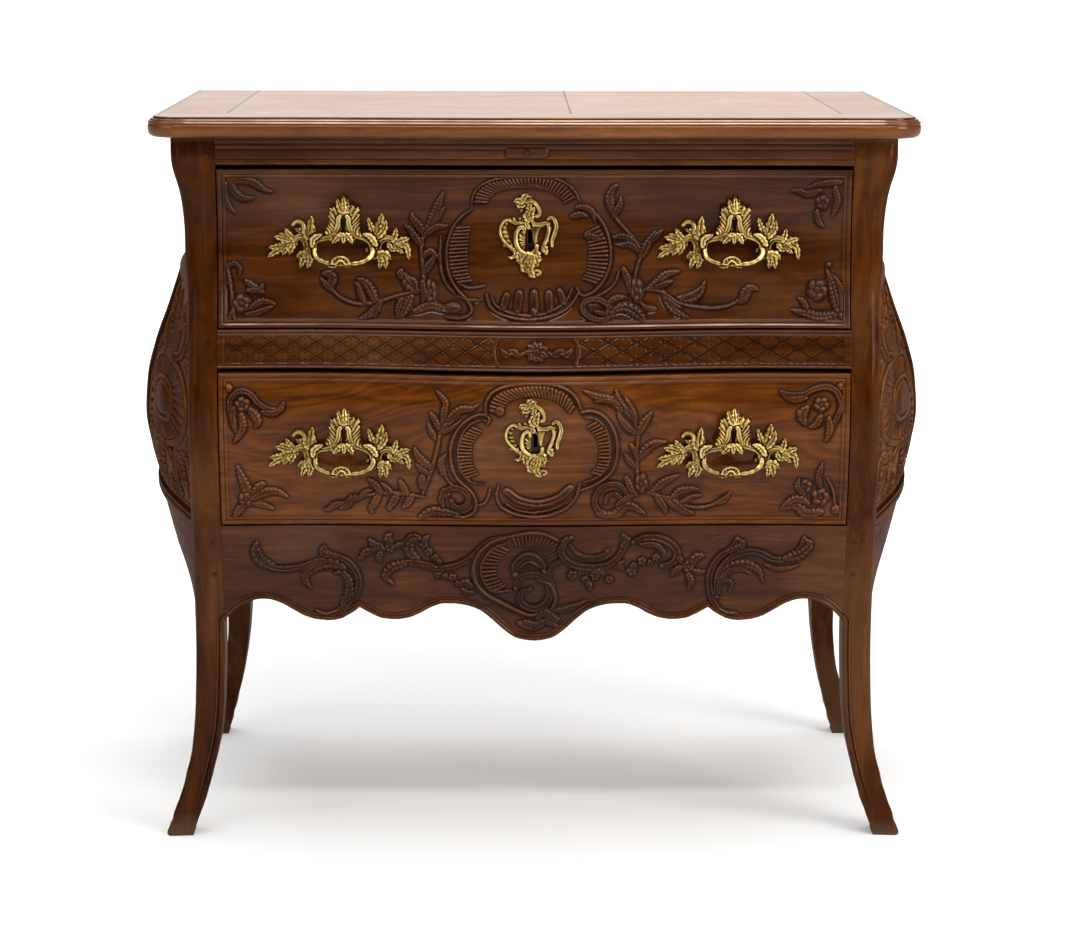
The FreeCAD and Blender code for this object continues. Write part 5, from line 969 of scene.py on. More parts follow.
        ["tube", [[-37.1, 453.0], [-25.7, 444.4], [-9.5, 440.1], [10.0, 440.9], [26.3, 445.9], [39.2, 453.9]], 1.14, 2],
        ["beads", [[21.4, 443.7], [31.1, 446.6], [40.8, 451.2], [48.1, 458.6]], 1.14, 1.6, {"n": 9}],
        ["cut", [[-35.5, 469.0], [-19.3, 456.7], [5.1, 451.7], [29.4, 459.3], [45.5, 473.4]], 6.53, 1.8],
        ["tube", [[-72.5, 448.7], [-63.1, 452.7], [-57.9, 463.5], [-56.2, 472.4]], 1.63, 2.2],
        ["tube", [[131.4, 474.6], [129.6, 499.9], [129.2, 522.2], [130.1, 546.8], [123.3, 565.8]], 2.12, 2.4],
        ["leaf", [[124.7, 562.6], [116.7, 573.9], [106.1, 587.3], [101.6, 603.5]], 3.98, 2.6],
        ["leaf", [[127.4, 557.1], [123.3, 573.8], [116.6, 587.1], [111.9, 594.5]], 3.18, 2.6],
        ["leaf", [[128.8, 546.3], [119.5, 551.2], [108.9, 563.5], [104.3, 575.3]], 3.98, 2.6],
        ["leaf", [[108.8, 576.3], [98.2, 587.5], [79.9, 593.1], [59.0, 602.3]], 4.51, 2.6],
        ["leaf", [[106.1, 583.2], [90.4, 588.8], [73.4, 587.6]], 2.92, 2.6],
        ["leaf", [[131.5, 546.2], [136.6, 557.4], [143.1, 566.6], [147.5, 574.1]], 4.51, 2.6],
        ["leaf", [[132.0, 513.2], [141.0, 524.6], [151.5, 531.2], [168.4, 534.0]], 5.04, 2.6],
        ["leaf", [[129.6, 499.4], [120.2, 508.5], [112.9, 520.4]], 3.45, 2.6],
        ["leaf", [[130.7, 510.5], [125.2, 525.0], [119.3, 534.0]], 3.18, 2.6],
        ["rose", [[135.3, 478.5]], 9.02, 3.4, {"e": 1.6}],
        ["leaf", [[116.1, 486.8], [123.6, 469.1], [132.8, 459.8]], 3.98, 2.6],
        ["tube", [[143.5, 465.9], [158.2, 461.3], [174.3, 456.8], [190.4, 447.9], [209.2, 444.3], [227.7, 448.1], [240.7, 457.3], [249.8, 464.3]], 1.86, 2.4],
        ["leaf", [[233.0, 449.7], [242.1, 455.3], [250.5, 464.9]], 3.45, 2.6],
        ["leaf", [[150.1, 467.2], [160.5, 476.9], [168.3, 482.3], [185.2, 489.5]], 4.24, 2.6],
        ["leaf", [[174.8, 457.3], [187.2, 467.9], [211.1, 470.1]], 4.24, 2.6],
        ["leaf", [[185.6, 450.3], [200.8, 459.2], [215.0, 461.9]], 2.92, 2.6],
        ["leaf", [[155.5, 461.4], [163.8, 448.3], [168.7, 435.6]], 4.51, 2.6],
        ["leaf", [[177.0, 453.9], [187.9, 442.2], [205.2, 435.7]], 4.51, 2.6],
        ["leaf", [[166.3, 456.9], [179.9, 445.2], [197.1, 437.2]], 2.92, 2.6],
        ["leaf", [[81.8, 437.4], [100.4, 434.2], [118.7, 448.5], [144.0, 435.1]], 5.57, 2.6],
        ["leaf", [[105.4, 448.7], [118.4, 460.1], [130.0, 463.9]], 3.18, 2.6],
        ["chan", [[372.7, 542.9], [381.5, 560.4], [387.7, 579.0], [382.3, 595.9], [369.2, 602.3], [353.6, 599.0], [340.5, 593.0], [324.8, 592.1], [312.5, 595.7]], 3.18, 3.2],
        ["leaf", [[343.2, 588.6], [327.5, 586.1], [317.0, 590.0], [312.2, 595.2]], 3.45, 2.6],
        ["rose", [[362.9, 580.1]], 10.08, 3.2],
        ["leaf", [[343.8, 575.5], [338.2, 565.4], [344.2, 553.2]], 5.31, 2.6],
        ["leaf", [[362.3, 565.1], [356.7, 554.9], [346.9, 550.3]], 3.71, 2.6],
        ["leaf", [[372.3, 562.5], [373.9, 547.0], [368.6, 530.7]], 3.98, 2.6],
        ["boss", [[387.5, 602.9]], 4.78, 3.0],
        ["rose", [[344.7, 472.9]], 9.55, 2.6],
        ["leaf", [[344.3, 461.2], [335.5, 472.9], [337.7, 484.5]], 3.71, 2.6],
        ["rose", [[365.0, 458.6]], 12.2, 3.2],
        ["leaf", [[366.5, 438.7], [347.6, 435.7], [333.8, 447.0], [314.5, 440.6]], 5.84, 2.6],
        ["leaf", [[350.1, 449.9], [336.1, 456.1], [323.1, 450.3], [314.4, 442.3]], 4.24, 2.6],
        ["leaf", [[364.5, 472.6], [361.4, 484.1], [363.7, 495.2], [367.0, 506.2]], 3.45, 2.6],
        ["tube", [[384.0, 447.4], [380.5, 467.7], [372.5, 484.2]], 1.86, 2],
        ["boss", [[385.6, 441.7]], 5.84, 3.0],
    ],
    "ap": [
        ["leaf", [[-335.6, 360.9], [-352.3, 371.2], [-358.6, 385.4], [-355.0, 399.4]], 6.27, 3.6],
        ["chan", [[-354.4, 385.9], [-349.7, 371.2], [-339.5, 362.3], [-323.9, 359.1], [-305.5, 361.0], [-289.6, 365.7], [-273.7, 371.3], [-263.1, 374.1]], 3.92, 3.4],
        ["chan", [[-256.7, 301.2], [-238.0, 312.4], [-227.6, 332.0], [-228.1, 351.6], [-239.6, 368.5], [-255.2, 376.9], [-265.5, 381.2], [-270.6, 389.7]], 4.18, 3.8],
        ["leaf", [[-255.2, 376.4], [-265.6, 378.4], [-272.3, 382.6], [-272.1, 391.9]], 4.96, 3.6],
        ["leaf", [[-245.0, 361.4], [-260.6, 367.0], [-276.4, 365.6], [-290.3, 357.2], [-295.9, 345.4], [-287.2, 330.9]], 6.79, 3.6],
        ["leaf", [[-268.5, 367.9], [-284.4, 364.0], [-294.6, 353.9], [-297.0, 343.2]], 3.92, 3],
        ["leaf", [[-247.3, 307.4], [-239.1, 326.4], [-239.6, 343.1], [-247.8, 354.3], [-260.4, 352.6]], 5.22, 3.4],
        ["leaf", [[-236.6, 313.0], [-245.5, 306.3], [-247.3, 323.0]], 3.13, 3],
        ["tube", [[-283.1, 302.7], [-269.9, 297.6], [-253.5, 302.6]], 2.09, 2.6],
        ["rose", [[-185.3, 388.7]], 6.79, 3.6],
        ["leaf", [[-185.2, 393.8], [-187.7, 402.8], [-183.4, 409.0]], 4.7, 3.2],
        ["leaf", [[-194.0, 388.0], [-204.9, 391.3], [-210.1, 398.3], [-214.5, 399.7]], 4.7, 3.2],
        ["leaf", [[-207.1, 385.7], [-218.3, 381.3], [-223.7, 373.7], [-228.3, 377.0]], 4.18, 3.2],
        ["leaf", [[-197.2, 382.9], [-200.0, 374.4], [-197.0, 368.1]], 3.92, 3],
        ["leaf", [[-178.7, 391.0], [-170.8, 393.9], [-167.3, 397.3]], 3.13, 3],
        ["leaf", [[-199.2, 390.8], [-207.7, 383.9], [-210.9, 379.4]], 3.13, 3],
        ["chan", [[-147.0, 401.8], [-154.9, 405.9], [-162.8, 400.2], [-165.1, 387.4], [-157.9, 374.7], [-144.9, 366.3], [-129.1, 361.4], [-113.3, 361.5], [-97.5, 366.2], [-81.7, 375.4], [-68.5, 389.8], [-55.4, 399.8], [-34.4, 404.8]], 3.66, 3.6],
        ["leaf", [[-149.5, 371.4], [-160.4, 383.2], [-157.6, 397.4], [-146.5, 403.2]], 5.75, 3.4],
        ["chan", [[-126.5, 362.2], [-142.2, 366.4], [-160.6, 368.5], [-176.5, 364.6], [-187.7, 356.0], [-191.0, 347.6], [-183.4, 339.2]], 3.92, 3.4],
        ["leaf", [[-165.9, 367.8], [-183.1, 360.9], [-192.0, 349.0], [-182.7, 338.4]], 5.22, 3.4],
        ["rose", [[-141.9, 393.4]], 5.75, 3.4],
        ["rose", [[-135.5, 383.5]], 5.75, 3.4],
        ["rose", [[-127.7, 375.0]], 5.22, 3.4],
        ["rose", [[-122.5, 369.4]], 4.18, 3.4],
        ["rose", [[-124.0, 351.5]], 4.7, 3.4],
        ["rose", [[-114.8, 349.6]], 4.7, 3.4],
        ["rose", [[-105.5, 348.2]], 5.75, 3.4],
        ["rose", [[-99.0, 339.9]], 4.18, 3.4],
        ["leaf", [[-141.9, 397.0], [-137.9, 403.3], [-134.7, 406.7]], 3.13, 3],
        ["leaf", [[-95.1, 337.9], [-87.1, 341.3], [-78.5, 332.4]], 4.18, 3],
        ["leaf", [[-92.5, 332.3], [-87.2, 327.3], [-75.9, 328.8]], 3.13, 3],
        ["tube", [[-34.4, 404.8], [-55.4, 397.0], [-71.2, 381.2], [-77.8, 359.8], [-75.3, 341.4], [-63.5, 326.0], [-45.0, 314.9], [-26.5, 305.1], [-5.3, 296.6], [10.5, 302.3], [19.7, 316.3]], 3.13, 3.8],
        ["tube", [[-37.1, 395.7], [-52.8, 388.5], [-63.3, 375.6], [-68.6, 358.4], [-64.7, 341.5], [-52.9, 328.9], [-29.2, 330.4]], 1.83, 2.4],
        ["flutes", [[-44.9, 394.2], [-60.7, 378.4], [-66.0, 358.4], [-61.3, 338.7], [-48.9, 328.9]], [[-31.8, 387.2], [-44.9, 374.2], [-50.2, 358.5], [-45.5, 343.0], [-35.8, 336.0]], 2.2, {"n": 13}],
        ["chan", [[-23.9, 351.5], [-21.8, 365.8], [-8.2, 375.8], [5.5, 369.5], [12.1, 355.2]], 7.84, 4.2],
        ["cut", [[-20.8, 353.5], [-14.7, 359.8], [-5.5, 362.1], [5.0, 358.7], [9.8, 353.5]], 3.13, 6],
        ["chan", [[-23.9, 333.2], [-18.6, 347.3], [-2.9, 353.0], [13.0, 347.3], [20.9, 330.4], [15.8, 313.5], [-0.1, 305.1], [-15.9, 312.1], [-17.3, 326.2], [-5.4, 332.7]], 4.7, 4],
        ["tube", [[-34.4, 404.8], [-10.9, 409.4], [12.6, 408.6], [31.0, 399.1]], 2.35, 3],
        ["flutes", [[-29.2, 402.0], [-5.7, 407.2], [15.3, 403.7], [31.0, 393.4]], [[-24.0, 389.5], [-5.6, 394.1], [10.1, 391.2], [22.7, 383.8]], 2.2, {"n": 12}],
        ["leaf", [[-19.6, 285.4], [-2.7, 280.7], [10.6, 284.9], [16.9, 294.4]], 4.44, 3.4],
        ["leaf", [[15.8, 299.4], [21.1, 291.0], [32.8, 287.6]], 4.44, 3.2],
        ["leaf", [[10.6, 288.2], [23.8, 284.8], [32.9, 279.2]], 3.13, 3],
        ["flutes", [[-7.1, 406.3], [6.8, 405.0], [22.1, 395.7], [30.6, 375.9]], [[-9.9, 391.1], [1.3, 389.9], [13.0, 382.6], [18.7, 369.3]], 2.2, {"n": 11}],
        ["chan", [[47.1, 403.1], [37.4, 397.1], [34.2, 383.5], [41.8, 371.3], [57.3, 363.6], [76.9, 362.0], [93.6, 364.9], [106.1, 373.9], [112.9, 385.9], [115.5, 396.5], [113.9, 406.1]], 4.72, 3.8],
        ["leaf", [[36.4, 388.0], [40.2, 399.5], [49.6, 404.3]], 4.44, 3.6],
        ["leaf", [[112.8, 389.9], [119.3, 398.8], [113.6, 407.9]], 4.44, 3.6],
        ["chan", [[45.3, 393.4], [55.7, 380.3], [73.9, 375.7], [87.8, 379.5], [94.5, 384.6]], 2.5, 2.8],
        ["boss", [[93.9, 384.6]], 3.33, 3.0],
        ["rose", [[49.0, 351.6]], 6.94, 3.6],
        ["rose", [[65.9, 345.5]], 5.55, 3.6],
        ["rose", [[78.4, 349.9]], 6.66, 3.6],
        ["rose", [[96.7, 345.3]], 5.55, 3.6],
        ["rose", [[109.1, 363.3]], 5.55, 3.6],
        ["rose", [[126.0, 356.5]], 7.22, 3.6],
        ["rose", [[128.4, 364.3]], 5.0, 3.6],
        ["rose", [[138.9, 370.5]], 6.11, 3.6],
        ["rose", [[149.6, 368.3]], 4.44, 3.6],
        ["rose", [[156.4, 375.5]], 5.55, 3.6],
        ["leaf", [[68.1, 341.9], [71.6, 336.5], [71.1, 329.3]], 3.61, 3],
        ["leaf", [[74.2, 356.0], [85.4, 356.5], [90.5, 349.5]], 3.89, 3],
        ["leaf", [[113.3, 359.6], [109.8, 366.3], [115.9, 371.7]], 3.33, 3],
        ["chan", [[126.6, 396.3], [140.5, 402.8], [160.0, 402.0], [177.0, 392.8], [184.4, 379.2], [177.6, 367.1], [164.3, 363.6]], 5.0, 3.6],
        ["leaf", [[137.9, 393.8], [154.6, 393.0], [166.0, 383.9], [166.8, 374.2]], 3.89, 3],
        ["chan", [[18.4, 321.8], [23.9, 333.7], [18.2, 351.7], [23.7, 363.8], [34.9, 371.3], [43.8, 368.0]], 2.78, 3],
        ["tube", [[18.5, 300.2], [27.4, 315.8], [21.7, 336.7], [4.3, 345.7]], 2.5, 3],
        ["leaf", [[21.3, 303.2], [35.3, 303.2], [52.2, 309.1], [70.1, 317.4]], 3.61, 3],
        ["rose", [[198.8, 362.5]], 8.88, 4.2],
        ["leaf", [[202.9, 367.8], [209.7, 375.9], [220.5, 378.0]], 5.0, 3.4],
        ["leaf", [[199.0, 352.8], [202.4, 341.5], [199.5, 327.8]], 4.16, 3.2],
        ["leaf", [[190.4, 362.5], [183.5, 358.1], [177.2, 348.2]], 3.89, 3.2],
        ["leaf", [[190.2, 367.9], [185.9, 374.6], [182.4, 378.6]], 3.33, 3],
        ["leaf", [[206.0, 356.4], [214.4, 354.5], [221.4, 356.6]], 3.33, 3],
        ["chan", [[243.8, 299.7], [232.2, 314.6], [226.7, 335.4], [228.4, 356.3], [237.7, 374.3], [250.0, 384.8], [258.1, 393.8], [260.7, 400.7]], 4.16, 3.8],
        ["leaf", [[248.7, 382.7], [261.1, 387.5], [267.6, 393.8], [260.1, 401.9]], 5.0, 3.6],
        ["chan", [[236.3, 320.5], [235.7, 344.3], [242.3, 362.2], [255.9, 375.7], [275.2, 382.7], [292.1, 380.3], [306.3, 372.9], [320.3, 372.0], [334.0, 379.1], [343.3, 389.7], [347.0, 402.3]], 4.16, 3.8],
        ["leaf", [[323.1, 373.0], [342.3, 380.0], [354.0, 392.7], [346.4, 403.4]], 6.11, 3.8],
        ["leaf", [[242.6, 349.6], [253.5, 362.2], [273.0, 365.2], [288.7, 357.7], [296.8, 339.6]], 5.55, 3.4],
        ["leaf", [[240.0, 343.7], [250.9, 355.6], [267.6, 358.6], [283.0, 350.8]], 3.61, 3],
        ["leaf", [[298.2, 364.7], [312.4, 359.4], [329.1, 360.7], [344.0, 365.6]], 3.05, 2.8],
        ["chan", [[239.0, 325.9], [240.1, 338.3], [249.8, 342.8], [256.1, 336.8], [253.0, 328.8]], 2.5, 3],
        ["tube", [[238.0, 305.6], [249.4, 299.7], [264.1, 298.2]], 1.94, 2.6],
        ["leaf", [[-12.4, 288.3], [1.7, 283.9], [16.8, 291.9]], 3.61, 3.2],
        ["leaf", [[4.5, 291.3], [12.9, 300.9], [24.1, 294.9], [33.7, 289.5]], 4.16, 3.2],
    ],
}

# the castings: kind, points from the casting's centre, half width, height over the wood at the start and the end

CASTINGS = {
    "handle": [
        ["bow", [[-30.7, 4.6], [-31.0, -1.4], [-27.6, -7.9], [-19.7, -12.2], [-10.2, -14.0], [1.9, -14.8], [14.0, -14.2], [23.7, -13.5], [32.2, -11.0], [39.4, -5.9], [41.9, 0.1], [39.7, 5.4]], 2.79, 9, 9, {"up": 13}],
        ["arm", [[-30.5, 2.8], [-30.9, 8.2], [-28.0, 13.0], [-22.1, 15.4], [-16.1, 16.6], [-10.0, 19.3], [-5.4, 23.9], [-2.7, 29.4], [-1.2, 35.4], [-0.8, 41.5], [1.1, 44.3]], 3.04, 10, 15],
        ["arm", [[40.1, 4.2], [38.5, 10.2], [33.5, 15.0], [27.4, 17.8], [21.4, 19.8], [16.0, 22.8], [13.4, 29.4], [11.9, 35.5], [11.5, 41.5], [9.8, 44.3]], 3.04, 10, 15],
        ["leaf", [[-34.3, 7.0], [-32.8, 15.4], [-26.9, 19.3], [-22.3, 21.5]], 2.92, 12, 14],
        ["leaf", [[46.2, 8.5], [40.7, 16.9], [35.9, 20.5], [30.5, 22.1]], 2.92, 12, 14],
        ["fill", [[-13.9, 14.8], [-11.2, 19.1], [-5.2, 20.9], [0.9, 22.7], [9.3, 22.7], [14.2, 21.0], [19.0, 16.8], [19.9, 13.1], [15.9, 10.1], [11.7, 11.7], [8.0, 10.1], [3.8, 10.1], [0.8, 13.1], [-2.8, 13.1], [-5.9, 10.3], [-10.1, 10.6]], 1.8, 13, 13],
        ["leaf", [[1.5, 22.1], [-2.2, 16.7], [-8.3, 10.9]], 2.92, 15, 14],
        ["leaf", [[4.7, 22.1], [5.2, 16.7], [5.4, 10.7]], 2.67, 16, 14],
        ["leaf", [[8.7, 22.1], [12.9, 16.7], [16.3, 10.7]], 2.92, 15, 14],
        ["leaf", [[-5.2, 22.1], [-10.0, 18.5], [-13.5, 14.0]], 2.19, 14, 12],
        ["leaf", [[14.2, 22.2], [17.8, 18.6], [19.9, 14.1]], 2.19, 14, 12],
        ["berry", [[0.3, 20.1]], 1.82, 17, 17],
        ["fan", [[-16.3, 20.9], [-10.0, 22.7], [-5.1, 26.9], [-2.4, 33.6], [-1.1, 40.9], [1.7, 44.3]], 1.9, 14, 12, {"outer": [[-19.4, 24.5], [-17.1, 31.4], [-14.7, 36.2], [-14.4, 40.9], [-13.5, 47.0], [-12.4, 54.3], [-6.8, 57.0]], "n": 7}],
        ["fan", [[27.4, 18.0], [20.2, 22.8], [14.8, 27.6], [12.1, 33.6], [11.0, 40.9], [8.4, 44.3]], 1.9, 14, 12, {"outer": [[27.5, 24.6], [27.1, 30.7], [27.1, 36.4], [26.5, 42.4], [25.8, 48.9], [26.6, 54.4], [18.3, 58.0]], "n": 7}],
        ["fan", [[-0.6, 40.9], [1.1, 44.1], [5.0, 45.5], [8.4, 44.1], [10.3, 40.9]], 1.9, 14, 11, {"outer": [[-9.5, 54.9], [-4.0, 61.0], [5.4, 65.6], [15.3, 59.2], [24.8, 54.1]], "n": 5}],
        ["rim", [[2.3, 23.2], [1.8, 30.0], [1.9, 37.0], [3.0, 40.7], [5.5, 42.1], [7.8, 40.7], [8.8, 37.0], [8.7, 30.0], [8.4, 23.2]], 0.97, 14, 14],
        ["leaf", [[2.5, 50.4], [-0.1, 58.0], [-2.1, 65.3]], 3.04, 15, 9],
        ["leaf", [[6.5, 51.9], [6.0, 61.7], [5.7, 68.7]], 2.92, 15, 9],
        ["leaf", [[8.7, 51.3], [10.1, 59.2], [10.4, 66.3]], 2.19, 14, 9],
        ["leaf", [[11.1, 49.7], [13.6, 54.4], [16.5, 59.0]], 2.67, 14, 9],
        ["leaf", [[15.1, 46.4], [20.5, 50.1], [25.7, 54.9]], 3.04, 13, 8],
        ["leaf", [[-1.5, 48.0], [-6.9, 51.3], [-10.7, 56.1]], 3.04, 13, 8],
        ["leaf", [[15.0, 43.4], [21.7, 44.4], [26.5, 44.4]], 2.19, 12, 8],
        ["leaf", [[-4.3, 43.3], [-9.7, 44.3], [-14.1, 44.3]], 2.19, 12, 8],
        ["fill", [[0.3, 49.2], [2.5, 51.3], [5.5, 52.1], [8.5, 51.3], [10.9, 49.2], [8.4, 47.0], [5.4, 46.1], [2.4, 47.0]], 2.4, 15, 15],
        ["berry", [[4.4, 59.0]], 1.58, 14, 14],
        ["beads", [[-0.7, 44.3], [1.8, 46.3], [5.4, 45.1], [8.7, 46.0], [12.0, 44.1]], 0.97, 16, 16, {"n": 5}],
        ["fan", [[-2.4, -16.4], [-0.3, -13.6], [1.9, -12.9], [4.0, -13.6], [6.1, -16.3]], 1.6, 24.5, 24, {"outer": [[-11.7, -14.4], [-9.6, -8.6], [-5.1, -4.7], [1.9, -3.2], [9.4, -4.7], [13.4, -8.5], [15.4, -14.2]], "n": 7}],
        ["rim", [[-9.5, -14.4], [-7.6, -9.1], [-2.7, -6.2], [1.9, -5.2], [7.0, -6.1], [11.1, -9.0], [13.0, -14.3]], 0.85, 25.5, 25.5],
        ["rim", [[-4.0, -14.8], [-1.0, -11.2], [1.9, -10.2], [5.0, -11.2], [7.9, -14.8]], 0.73, 26, 26],
        ["leaf", [[-3.0, -16.0], [-9.0, -17.2], [-15.1, -16.3]], 2.43, 23, 20],
        ["leaf", [[7.3, -16.3], [12.8, -17.1], [18.8, -15.7]], 2.19, 23, 20],
        ["fill", [[-42.1, 16.0], [-35.2, 13.6], [-31.9, 4.6], [-31.7, -6.2], [-34.4, -13.7], [-42.9, -11.3], [-45.0, -1.4], [-43.0, 8.2]], 1.8, 6, 6],
        ["arm", [[-33.8, -9.3], [-36.8, -1.4], [-37.9, 5.8], [-40.0, 13.0], [-44.4, 17.8], [-49.9, 19.3], [-54.9, 16.9], [-58.4, 12.4]], 2.92, 9, 6],
        ["arm", [[-45.0, -7.4], [-43.4, 1.0], [-43.9, 8.2], [-46.3, 13.0], [-50.1, 15.2], [-53.8, 14.0]], 2.19, 8, 6],
        ["leaf", [[-39.8, -2.6], [-45.3, -9.3], [-49.6, -20.0]], 3.77, 8, 4],
        ["leaf", [[-36.8, -5.0], [-37.8, -12.9], [-40.7, -20.4]], 3.64, 8, 4],
        ["leaf", [[-42.2, -2.0], [-48.3, -3.2], [-53.5, -7.7]], 2.92, 8, 5],
        ["rim", [[-46.4, -1.4], [-52.2, -4.1], [-53.1, -7.4], [-50.3, -8.9]], 1.21, 8, 6],
        ["berry", [[-43.5, -13.2]], 1.7, 8, 8],
        ["leaf", [[-38.4, 17.2], [-37.0, 29.3], [-35.3, 42.1]], 4.62, 9, 5],
        ["leaf", [[-36.4, 18.4], [-32.7, 24.5], [-32.4, 31.4]], 2.67, 9, 6],
        ["leaf", [[-40.0, 17.2], [-43.7, 26.9], [-46.5, 34.2]], 3.64, 9, 6],
        ["rim", [[-44.7, 28.1], [-45.8, 33.3], [-49.9, 36.6], [-55.0, 36.6], [-58.6, 33.3]], 2.43, 8, 5],
        ["leaf", [[-41.2, 18.8], [-48.0, 23.6], [-55.5, 27.7]], 2.67, 8, 5],
        ["berry", [[-49.5, 27.5]], 1.94, 8, 8],
        ["arm", [[-46.3, 17.8], [-53.5, 16.6], [-59.6, 10.6], [-65.6, 7.6]], 2.43, 7, 4],
        ["fill", [[-74.0, 13.0], [-63.2, 15.7], [-54.8, 10.8], [-58.5, 3.1], [-70.5, 2.0], [-76.5, 6.8]], 1.8, 3.5, 3.5],
        ["leaf", [[-58.3, 15.2], [-64.1, 21.5], [-68.1, 27.3]], 3.16, 6, 4],
        ["leaf", [[-60.5, 16.4], [-68.2, 18.5], [-75.4, 21.3]], 2.92, 5, 4],
        ["leaf", [[-63.2, 12.8], [-72.6, 15.5], [-81.4, 17.6]], 3.64, 5, 3],
        ["leaf", [[-65.6, 8.0], [-76.5, 5.2], [-88.3, 3.7]], 3.89, 4, 2.5],
        ["leaf", [[-64.5, 6.4], [-77.8, 0.8], [-89.6, -7.1]], 3.89, 4, 2],
        ["leaf", [[-61.8, 8.0], [-68.4, 0.8], [-71.8, -5.0]], 3.16, 5, 3],
        ["leaf", [[-58.2, 8.0], [-61.1, 1.9], [-63.6, -4.1]], 3.16, 5, 3],
        ["leaf", [[-54.5, 10.4], [-57.0, 5.6], [-58.5, 1.9]], 2.43, 5, 3],
        ["berry", [[-66.3, 3.6]], 2.07, 6, 6],
        ["berry", [[-71.6, 10.6]], 1.7, 6, 6],
        ["fill", [[41.9, 8.5], [48.0, 14.5], [51.8, 10.9], [50.4, -1.1], [52.3, -5.8], [47.9, -12.1], [41.9, -7.4], [40.4, 1.3]], 1.8, 6, 6],
        ["arm", [[42.5, -8.3], [44.3, -1.1], [45.3, 6.1], [48.6, 13.1], [54.1, 16.7], [61.3, 17.5], [67.1, 15.3]], 2.92, 9, 6],
        ["arm", [[52.5, -8.2], [50.8, -0.5], [50.4, 6.1], [52.6, 10.7], [57.1, 13.8], [62.5, 13.4], [61.3, 8.0]], 2.19, 8, 5],
        ["leaf", [[47.9, -3.5], [51.8, -10.0], [50.3, -20.4]], 3.64, 8, 4],
        ["leaf", [[49.1, -2.3], [56.4, -8.4], [58.2, -20.4]], 3.89, 8, 4],
        ["leaf", [[51.0, -2.0], [58.8, -4.4], [63.9, -9.6]], 3.64, 8, 5],
        ["berry", [[53.4, -12.4]], 1.82, 8, 8],
        ["leaf", [[45.3, 15.7], [50.5, 30.2], [53.3, 46.0]], 4.86, 9, 5],
        ["leaf", [[48.6, 17.9], [56.5, 27.6], [58.5, 37.7]], 3.4, 9, 6],
        ["leaf", [[44.4, 17.8], [39.9, 30.1], [35.9, 41.3]], 3.28, 9, 6],
        ["leaf", [[44.4, 16.6], [39.8, 21.7], [36.9, 27.7]], 2.19, 9, 7],
        ["berry", [[51.7, 31.1]], 1.7, 10, 9],
        ["fill", [[62.5, 16.0], [68.6, 17.0], [77.3, 12.3], [78.5, 5.1], [70.9, 2.4], [63.7, 5.0]], 1.8, 3.5, 3.5],
        ["arm", [[61.3, 17.0], [67.4, 14.4], [74.6, 10.8], [80.6, 6.1]], 2.19, 6, 3],
        ["leaf", [[67.6, 13.2], [70.0, 20.7], [71.3, 27.6]], 3.4, 6, 4],
        ["leaf", [[72.2, 10.8], [78.5, 13.7], [86.7, 15.7]], 3.4, 5, 3.5],
        ["leaf", [[74.6, 8.4], [80.0, 10.4], [86.7, 11.8]], 2.43, 5, 3],
        ["leaf", [[74.6, 8.4], [84.5, 4.9], [87.4, -9.4]], 3.4, 4, 2],
        ["leaf", [[61.3, 8.4], [65.1, 2.4], [71.2, 1.2]], 3.16, 5, 3],
        ["leaf", [[68.8, 7.2], [74.8, 1.3], [79.7, -2.3]], 2.67, 4, 3],
        ["berry", [[69.5, 9.6]], 1.82, 6, 6],
    ],
    "plate": [
        ["hole", [[-5.1, 2.6], [-4.0, 4.6], [0.0, 4.6], [1.6, 2.6], [2.0, -2.9], [3.1, -8.7], [4.4, -14.5], [4.1, -20.2], [-6.4, -20.2], [-5.9, -12.4], [-5.5, -3.6]], 0.0, 0, 0],
        ["fill", [[1.1, 12.5], [7.8, 10.3], [15.2, 10.3], [14.5, 5.9], [11.9, 0.8], [9.7, -9.4], [9.3, -16.7], [10.8, -21.8], [5.6, -25.1], [-1.1, -25.8], [4.9, -19.6], [3.8, -10.9], [2.3, -3.6], [1.9, 3.0]], 2.0, 1.2, 1.2],
        ["fill", [[-7.0, 5.9], [-11.4, 5.9], [-15.1, -0.0], [-16.2, -8.0], [-13.6, -16.0], [-9.2, -21.8], [-5.5, -23.3], [-6.2, -12.4], [-5.5, -4.4], [-4.8, 2.2]], 1.0, 0.6, 0.6],
        ["fill", [[-18.1, -16.1], [-12.9, -23.3], [-5.5, -26.9], [3.4, -26.9], [10.8, -22.5], [16.7, -16.7], [21.1, -20.3], [21.1, -24.8], [15.2, -24.1], [12.3, -26.2], [9.3, -29.4], [4.9, -30.9], [-1.1, -31.6], [-7.7, -30.9], [-14.4, -28.7], [-17.7, -24.0]], 1.5, 0.8, 0.8],
        ["rim", [[-6.1, 2.2], [-7.4, 6.2], [-11.0, 7.5], [-15.1, 5.3], [-17.7, -0.7], [-18.3, -8.0], [-16.6, -15.3], [-12.9, -21.1], [-7.0, -25.1], [-1.1, -25.9], [4.1, -24.1], [7.8, -19.8], [8.7, -16.0]], 1.71, 3.2, 3.2],
        ["berry", [[-13.5, -2.3]], 1.64, 2.2, 2.2],
        ["berry", [[-12.3, -7.4]], 1.64, 2.2, 2.2],
        ["berry", [[-10.2, -14.6]], 1.64, 2.2, 2.2],
        ["berry", [[-7.4, -18.9]], 1.64, 2.2, 2.2],
        ["berry", [[6.3, -18.5]], 1.64, 2.2, 2.2],
        ["berry", [[8.6, -14.5]], 1.64, 2.2, 2.2],
        ["rim", [[4.8, 10.4], [10.8, 10.2], [15.6, 10.2], [19.0, 12.5], [22.6, 9.6], [23.5, 3.7], [21.9, -3.6], [19.1, -10.9], [16.7, -16.0], [16.8, -21.1], [20.4, -24.8]], 1.64, 2.6, 2.6],
